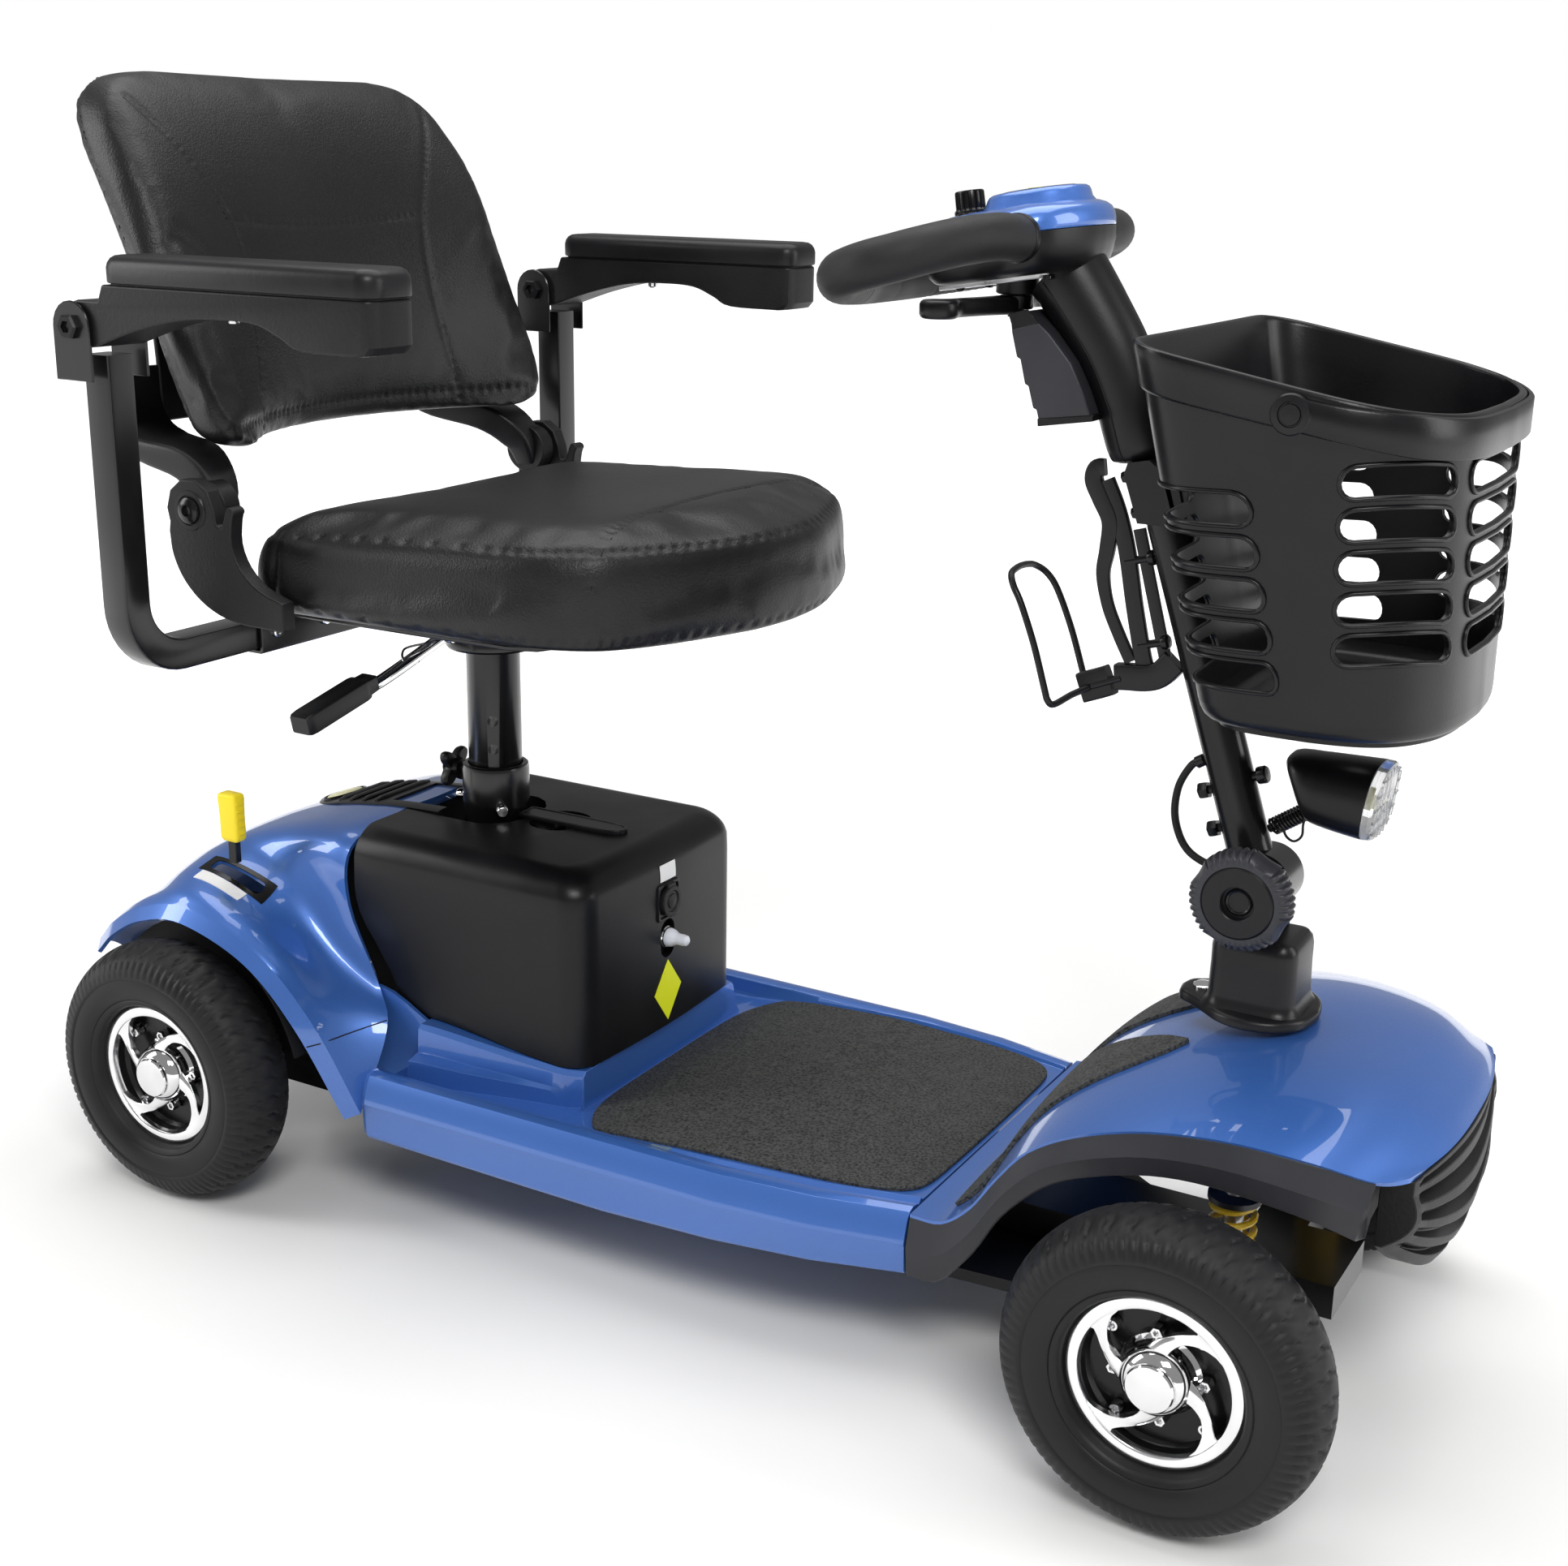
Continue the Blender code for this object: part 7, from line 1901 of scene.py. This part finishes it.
def make_basket():
    levels = np.linspace(0.0, 1.0, 21)
    outlines = [np.array(basket_outline(t)) for t in levels]
    middle = np.array(basket_outline(0.5))
    steps = np.linalg.norm(np.roll(middle, -1, axis=0) - middle, axis=1)
    along = np.concatenate([[0.0], np.cumsum(steps)])
    round_length = along[-1]

    def wall_point(u, t, out=0.0):
        u = u % round_length
        i = int(np.searchsorted(along, u, "right") - 1) % len(middle)
        f = (u - along[i]) / steps[i]
        k = min(int(t * 20), 19)
        g = t * 20 - k
        j = (i + 1) % len(middle)
        a = outlines[k][i] * (1 - f) + outlines[k][j] * f
        b = outlines[k + 1][i] * (1 - f) + outlines[k + 1][j] * f
        p = a * (1 - g) + b * g
        if out:
            tangent = outlines[k][j] - outlines[k][i]
            tangent = tangent / np.linalg.norm(tangent)
            p = p + np.array((tangent[1], -tangent[0])) * out * sense
        x = float(p[0])
        return (x, float(p[1]), BASKET_BOTTOM + (rim_height(x) - BASKET_BOTTOM) * t)

    sense = 1.0
    probe = np.array(wall_point(round_length * 0.25, 0.5, 0.01)) - np.array(wall_point(round_length * 0.25,
                                                                                       0.5))
    if probe[1] * wall_point(round_length * 0.25, 0.5)[1] < 0:
        sense = -1.0

    def place_of(x, y):
        gap = np.hypot(middle[:, 0] - x, middle[:, 1] - y)
        return float(along[int(np.argmin(gap))])

    groups = [((0.82, 0.06), (0.884, 0.137), 0.668, -0.0015), ((0.934, 0.137), (0.99, 0.078), 0.69, 0.003)]
    slots = []
    for row in range(5):
        for start, end, top, bow in groups:
            u0, u1 = place_of(*start), place_of(*end)
            height = top - SLOT_PITCH * row
            slots.append((u0, u1, height, bow))
            slots.append((round_length - u1, round_length - u0, height, bow))
        u0 = place_of(0.998, 0.056)
        slots.append((u0, round_length - u0, 0.69 - SLOT_PITCH * row, 0.0))

    def slot_outline(u0, u1, height, bow, grow=0.0):
        radius = SLOT_RADIUS + grow
        points = []
        for end, sign in ((u1 - SLOT_RADIUS, 1.0), (u0 + SLOT_RADIUS, -1.0)):
            for a in np.radians(np.linspace(-90, 90, 9)):
                points.append((end + sign * radius * math.cos(a), sign * radius * math.sin(a)))
        out = []
        for i in range(len(points)):
            a, b = points[i], points[(i + 1) % len(points)]
            count = max(1, int(abs(b[0] - a[0]) / 0.007))
            for s in range(count):
                f = s / count
                u, v = a[0] + (b[0] - a[0]) * f, a[1] + (b[1] - a[1]) * f
                share = min(1.0, max(0.0, (u - u0) / (u1 - u0)))
                z = height + v + bow * math.sin(math.pi * share)
                x = wall_point(u, 0.5)[0]
                out.append((u, (z - BASKET_BOTTOM) / (rim_height(x) - BASKET_BOTTOM)))
        return out

    low, high = 0.075, 0.885
    verts, edges = [], []

    def add_loop(points):
        base = len(verts)
        verts.extend(Vector((u, t * WALL_SCALE)) for u, t in points)
        edges.extend((base + i, base + (i + 1) % len(points)) for i in range(len(points)))

    columns = [float(u) for u in along]
    add_loop([(u, low) for u in columns] + [(u, high) for u in reversed(columns)])
    outlines_2d = [slot_outline(*slot) for slot in slots]
    for outline in outlines_2d:
        add_loop(outline)

    def inside(u, t, polygon):
        hit = False
        for (x0, y0), (x1, y1) in zip(polygon, polygon[1:] + polygon[:1]):
            if (y0 > t) != (y1 > t) and u < (x1 - x0) * (t - y0) / (y1 - y0) + x0:
                hit = not hit
        return hit

    wide = [slot_outline(*slot, grow=0.0016) for slot in slots]
    boxes = [(min(p[0] for p in w), max(p[0] for p in w), min(p[1] for p in w), max(p[1] for p in w))
             for w in wide]
    for u in columns[1:-1]:
        for t in np.linspace(low, high, 34)[1:-1]:
            near = [w for w, (a, b, c, d) in zip(wide, boxes) if a <= u <= b and c <= t <= d]
            if not any(inside(u, t, w) for w in near):
                verts.append(Vector((u, t * WALL_SCALE)))
    flat, _, triangles, _, _, _ = delaunay_2d_cdt(verts, edges, [], 0, 1e-6)
    holes = list(zip(outlines_2d, boxes))
    faces = []
    for tri in triangles:
        u = sum(flat[i].x for i in tri) / 3
        t = sum(flat[i].y for i in tri) / 3 / WALL_SCALE
        if not any(a <= u <= b and c <= t <= d and inside(u, t, polygon) for polygon,
                   (a, b, c, d) in holes):
            faces.append(tuple(tri))
    points = []
    for p in flat:
        u = min(max(p.x, 0.0), round_length - 1e-7) if abs(p.x - round_length) > 1e-6 else 0.0
        points.append(wall_point(u, p.y / WALL_SCALE))
    wall = build("basket_wall", (points, faces), "basket", "basket", "basket", 40)
    bm = bmesh.new()
    bm.from_mesh(wall.data)
    bmesh.ops.remove_doubles(bm, verts=bm.verts, dist=0.00003)
    loose = [v for v in bm.verts if not v.link_faces]
    bmesh.ops.delete(bm, geom=loose, context="VERTS")
    bmesh.ops.recalc_face_normals(bm, faces=bm.faces)
    bm.faces.ensure_lookup_table()
    outward = 0.0
    for face in bm.faces:
        c = face.calc_center_median()
        outward += face.normal.x * (c.x - AXLE - 0.905) + face.normal.y * c.y
    if outward < 0:
        bmesh.ops.reverse_faces(bm, faces=bm.faces)
    bm.to_mesh(wall.data)
    bm.free()
    thick = wall.modifiers.new("thickness", "SOLIDIFY")
    thick.thickness = 0.0028
    thick.offset = -1.0
    apply_modifiers(wall)
    smooth_sharp(wall, 38)

    beads = []
    for u0, u1, height, bow in slots:
        beads.append(sweep([wall_point(u, s, 0.0004) for u, s in slot_outline(u0, u1, height, bow, 0.001)],
                           circle(0.0016, 8), closed=True))
    build("basket_slot_beads", join_shapes(*beads), "basket", "basket", sharp=60)

    def ring(t, out=0.0):
        return [wall_point(float(u), t, out) for u in along[:-1]]

    band = [ring(*level) for level in (
        (0.88, -0.0028), (0.88, 0.0), (0.884, 0.0022), (0.892, 0.003), (0.96, 0.003), (0.985, 0.003),
        (0.996, 0.0022), (1.0, 0.0008), (1.0, -0.0012), (0.995, -0.0026), (0.985, -0.003))]
    build("basket_rim", skin(band, ring=True), "basket", "basket", sharp=45)

    def shrunk(t, share):
        return [(BASKET_MIDDLE + (x - BASKET_MIDDLE) * share, y * share, z) for x, y, z in ring(t)]

    base = [shrunk(*level) for level in (
        (0.08, 1.0), (0.055, 0.996), (0.036, 0.982), (0.024, 0.958), (0.018, 0.925), (0.016, 0.9),
        (0.0, 0.895),
        (0.0, 0.865), (0.01, 0.85), (0.012, 0.5), (0.012, 0.05), (0.026, 0.05), (0.026, 0.5), (0.026, 0.88),
        (0.034, 0.935), (0.05, 0.96), (0.08, 0.966))]
    build("basket_base", skin(base, ring=True), "basket", "basket", sharp=40)


BAIL_X = 0.903


def make_basket_handle():
    hinge_z = rim_height(BAIL_X) - 0.016
    out = basket_outline(0.93, -0.0048)
    side = [(x, y) for x, y in out if y >= 0.0 and x >= BAIL_X - 0.004]
    half = [(x, y, rim_height(x) - 0.015) for x, y in side]
    path = half + [(x, -y, z) for x, y, z in reversed(half) if y > 0.001]
    loops = []
    last = len(path) - 1
    points = [Vector(p) for p in path]
    for i, point in enumerate(points):
        ahead = points[min(i + 1, last)] - points[max(i - 1, 0)]
        ahead.z = 0
        ahead.normalize()
        outward = Vector((ahead.y, -ahead.x, 0))
        if outward.dot(Vector((point.x - 0.9, point.y, 0))) < 0:
            outward = -outward
        share = min(1.0, min(i, last - i) / 14)
        half = 0.01 + 0.003 * share
        section = [(-0.0012, -half), (0.0016, -half + 0.0006), (0.0024, -half + 0.0018),
                   (0.0024, half - 0.0018), (0.0016, half - 0.0006), (-0.0012, half),
                   (-0.0016, half - 0.001), (-0.0016, -half + 0.001)]
        loops.append([point + outward * a + Vector((0, 0, b + 0.0012 * share)) for a, b in section])
    build("bail_band", skin(loops), "basket", "basket_handle", "basket_handle", 35)
    for label, side in SIDES:
        disc = [(0.0118, -0.001), (0.0128, 0.0004), (0.0128, 0.0022), (0.0118, 0.0034), (0.0078, 0.0038),
                (0.0074, 0.0028), (0.0066, 0.0028), (0.0062, 0.004), (0.0004, 0.0042)]
        build("bail_eye_" + label, turned(disc, (BAIL_X, side * 0.1524, hinge_z), (0, side, 0), 40),
              "basket", "basket_handle", sharp=30)


def make_bracket():
    body = "tiller"
    block = [(0.796, 0.63), (0.785, 0.664), (0.788, 0.67), (0.808, 0.67), (0.817, 0.633), (0.814, 0.627)]
    clamp = build("bracket_block", prism_y(block, -0.028, 0.028), "plastic", body, "basket_bracket")
    recess = [(0.8, 0.636), (0.793, 0.663), (0.804, 0.663), (0.811, 0.636)]
    boolean(clamp, [prism_y(recess, -0.03, -0.0262), prism_y(recess, 0.0262, 0.03)])
    smooth_sharp(clamp, 30)
    bevel(clamp, 0.001, 2, 40)
    rear = [(0.764, 0.633), (0.752, 0.666), (0.7545, 0.674), (0.77, 0.677), (0.779, 0.67), (0.789, 0.64),
            (0.787, 0.633)]
    back = build("bracket_clamp", prism_y(rear, -0.0255, 0.0255), "smooth", body)
    boolean(back, [sweep([(tube_point(0.56), 0, 0.56), (tube_point(0.7), 0, 0.7)],
                         circle(TUBE_RADIUS + 0.0002, 32), up=(0, 1, 0))])
    smooth_sharp(back, 30)
    bevel(back, 0.001, 2, 50)
    for n, (y, z) in enumerate(((-0.0205, 0.664), (0.0205, 0.664), (-0.0205, 0.64), (0.0205, 0.64))):
        x = 0.7535 + (0.664 - z) * 0.37
        bolt("bracket_bolt_%d" % n, (x, y, z), (-0.93, 0, -0.35), body, 0.0044, 0.004, "gloss", True)
        strap = box(0.764, 0.8, y - 0.004, y + 0.004, z - 0.005, z + 0.006)
        bevel(build("bracket_strap_%d" % n, strap, "smooth", body), 0.001, 1)


def make_bottle_holder():
    body = "tiller"
    outer = side_path([(0.729, 0.666), (0.7225, 0.6645), (0.721, 0.656), (0.727, 0.644), (0.735, 0.628),
                       (0.734, 0.608), (0.732, 0.59), (0.737, 0.568), (0.747, 0.547), (0.757, 0.529)], 6)
    count = len(outer) - 1
    scales = [0.75 + 0.35 * math.sin(math.pi * min(1.0, 0.25 + i / count)) for i in range(count + 1)]
    build("holder_leaf", sweep(outer, rounded(0.006, 0.003, 0.0014, 3), scales=scales, up=(0, 1, 0)),
          "smooth", body, "bottle_holder", 40)
    spine = side_path([(0.73, 0.657), (0.74, 0.636), (0.749, 0.608), (0.757, 0.57), (0.766, 0.533),
                       (0.77, 0.524)], 5)
    build("holder_spine", sweep(spine, rounded(0.0062, 0.0026, 0.0012, 3), up=(0, 1, 0)), "smooth", body,
          sharp=40)
    rail = [(0.757, 0, 0.625), (0.783, 0, 0.533)]
    build("holder_rail", sweep(rail, rounded(0.0045, 0.002, 0.0008, 2), up=(0, 1, 0)), "smooth", body,
          sharp=40)
    for n, (x, z) in enumerate(((0.756, 0.602), (0.77, 0.543))):
        pin = [(0.003, -0.006), (0.003, 0.012), (0.0052, 0.012), (0.0056, 0.0135), (0.0056, 0.016),
               (0.004, 0.0175), (0.0004, 0.0178)]
        build("holder_bolt_%d" % n, turned(pin, (x - 0.002, 0, z), (0.95, 0, 0.25), 20), "gloss", body,
              sharp=25)
    foot = side_path([(0.79, 0.534), (0.78, 0.523), (0.769, 0.519), (0.756, 0.518), (0.747, 0.517)], 4)
    build("holder_foot", sweep(foot, rounded(0.0095, 0.0058, 0.002, 3), up=(0, 1, 0)), "smooth", body,
          sharp=40)
    for n, y in enumerate((-0.0045, 0.0045)):
        build("holder_rod_%d" % n, sweep([(0.752, y, 0.517), (0.73, y, 0.508)], circle(0.0024, 12)),
              "smooth", body)
    jaw = side_path([(0.743, 0.514), (0.735, 0.5105), (0.721, 0.505)], 4)
    build("holder_clamp", sweep(jaw, rounded(0.011, 0.0056, 0.0022, 3), up=(0, 1, 0)), "plastic", body,
          sharp=40)
    half = [(0.728, 0.006, 0.507), (0.72, 0.017, 0.503), (0.712, 0.03, 0.4975), (0.709, 0.035, 0.501),
            (0.706, 0.0355, 0.51), (0.696, 0.0345, 0.54), (0.684, 0.033, 0.568), (0.676, 0.03, 0.58),
            (0.67, 0.021, 0.5865), (0.6685, 0.01, 0.5885), (0.668, 0.0, 0.589)]
    curve = smooth_path(half, 5)
    path = curve + [(x, -y, z) for x, y, z in reversed(curve[:-1])]
    build("holder_hoop", sweep(path, circle(0.0025, 12)), "smooth", body)


LAMP_FACE_X, LAMP_Z, LAMP_LEAN = 0.9466, 0.4565, 0.12


def lamp_loop(x, low, high, half, grow=1.0):
    """A rounded-square section of the lamp that leans forward at the top."""
    middle, tall = (low + high) / 2, (high - low) / 2
    return [(x + LAMP_LEAN * b * tall, half * a * grow, middle + tall * b * grow) for a,
            b in squared_circle(0.8, 36)]


def make_headlight():
    body = "headlight"
    rows = [(0.8795, 0.4745, 0.4812, 0.014), (0.8825, 0.469, 0.482, 0.02), (0.887, 0.46, 0.4825, 0.0245),
            (0.8925, 0.448, 0.4828, 0.0275), (0.8975, 0.439, 0.483, 0.029), (0.903, 0.435, 0.4832, 0.03),
            (0.92, 0.4315, 0.4836, 0.031), (0.939, 0.429, 0.484, 0.0322)]
    loops = [lamp_loop(*row) for row in smooth_path(rows, 3)]
    build("lamp_shell", skin(loops), "plastic", body, "headlight_body", 45)

    mouth = (0.429, 0.484, 0.0322)
    reflector = [lamp_loop(x, *mouth, grow) for x, grow in (
        (0.9388, 0.97), (0.9392, 0.9), (0.9375, 0.7), (0.936, 0.4), (0.9355, 0.1))]
    build("lamp_reflector", skin(reflector), "chrome", body, sharp=30)
    glass = [lamp_loop(x, *mouth, grow) for x, grow in (
        (0.9392, 0.985), (0.9394, 1.0), (0.944, 0.99), (0.9458, 0.955), (0.9466, 0.88), (0.9468, 0.5),
        (0.9468, 0.05))]
    build("lamp_lens", skin(glass), "lens", body, "headlight_lens", 25)
    facets = []
    for n in range(-3, 4):
        y = n * 0.008
        reach = math.sqrt(max(0.0, 1 - (y / 0.032) ** 2)) * 0.0245
        ends = [(LAMP_FACE_X + LAMP_LEAN * rise, y, LAMP_Z + rise) for rise in (-reach, reach)]
        facets.append(sweep(ends, circle(0.0012, 6), up=(0, 1, 0)))
    for n in range(-2, 3):
        z = n * 0.0095
        reach = math.sqrt(max(0.0, 1 - (z / 0.0275) ** 2)) * 0.03
        ends = [(LAMP_FACE_X + LAMP_LEAN * z, y, LAMP_Z + z) for y in (-reach, reach)]
        facets.append(sweep(ends, circle(0.001, 6)))
    build("lamp_facets", join_shapes(*facets), "lens", body)
    bulb = [(0.006, 0.0), (0.006, 0.002), (0.0045, 0.004), (0.0004, 0.005)]
    build("lamp_led", turned(bulb, (0.9362, 0, LAMP_Z), (1, 0, 0), 20), "cream", body)
    start, end = Vector((0.87, 0, 0.4245)), Vector((0.8925, 0, 0.44))
    ahead = (end - start).normalized()
    side = Vector((0, 1, 0))
    lift = ahead.cross(side)
    coil = []
    turns = 11
    for i in range(turns * 12 + 1):
        a = 2 * math.pi * i / 12
        place = start + (end - start) * (i / (turns * 12))
        coil.append(place + (side * math.cos(a) + lift * math.sin(a)) * 0.0056)
    build("lamp_spring", sweep(coil, circle(0.0011, 6)), "gloss", body)
    core = [start - ahead * 0.003, start, end, end + ahead * 0.014]
    build("lamp_stem", sweep(core, circle(0.003, 12), up=(0, 1, 0)), "dark", body)
    ball = [(0.0004, -0.0065), (0.004, -0.0052), (0.0062, -0.002), (0.0062, 0.002), (0.004, 0.0052),
            (0.0004, 0.0065)]
    build("lamp_ball", turned(ball, tuple(end + ahead * 0.004), (0, 1, 0), 24), "gloss", body)
    wire = smooth_path([(0.878, -0.004, 0.427), (0.882, -0.006, 0.421), (0.888, -0.007, 0.419),
                        (0.893, -0.007, 0.424), (0.893, -0.006, 0.433), (0.896, -0.005, 0.443),
                        (0.905, -0.004, 0.445)], 5)
    build("lamp_wire", sweep(wire, circle(0.0009, 8)), "foam", body)


# ---------------------------------------------------------------- running gear
def finish_frame():
    """The plain metal and plastic parts keep their CAD shape and get their finish here."""
    finish = {"chassis_frame": "steel", "under_cover": "textured", "transaxle": "iron",
              "knuckle_left": "iron", "knuckle_right": "iron", "battery_cells": "trim"}
    for node, material in finish.items():
        mesh_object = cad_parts[node]
        mesh_object.data.materials.clear()
        mesh_object.data.materials.append(MAT[material])


def coil_spring(name, place, height, radius, wire, turns, material, body):
    coil = []
    for i in range(turns * 16 + 1):
        a = 2 * math.pi * i / 16
        coil.append((place[0] + radius * math.cos(a), place[1] + radius * math.sin(a), place[2] + height * i
                     / (turns * 16)))
    build(name, sweep(coil, circle(wire, 8)), material, body)


def make_suspension():
    for label, side in SIDES:
        x, y = 0.9, side * 0.118
        coil_spring("front_spring_" + label, (x, y, 0.128), 0.066, 0.0145, 0.0026, 6, "springs", "chassis")
        rod = [(0.006, 0.118), (0.007, 0.12), (0.007, 0.2), (0.006, 0.202)]
        build("front_damper_" + label, turned(rod, (x, y, 0), (0, 0, 1), 24), "bare", "chassis")
        for n, z in enumerate((0.124, 0.197)):
            cup = [(0.01, z - 0.003), (0.0185, z - 0.002), (0.0185, z + 0.002), (0.01, z + 0.003)]
            build("spring_seat_%s_%d" % (label, n), turned(cup, (x, y, 0), (0, 0, 1), 28), "iron",
                  "chassis")


for make in (make_wheels, make_deck, make_bonnet, make_trim, make_bumper, make_shroud, make_vent,
             make_freewheel, make_battery, make_seat_cushion, make_backrest, make_back_frame,
             make_seat_frame, make_side_brackets, make_swivel_lever, make_post):
    make()
for label, side in SIDES:
    make_armrest(label, side)
for make in (make_socket, make_angle_knob, make_tube, make_neck, make_console, make_handlebar,
             make_controls, make_basket, make_basket_handle, make_bracket, make_bottle_holder,
             make_headlight, make_suspension, finish_frame):
    make()
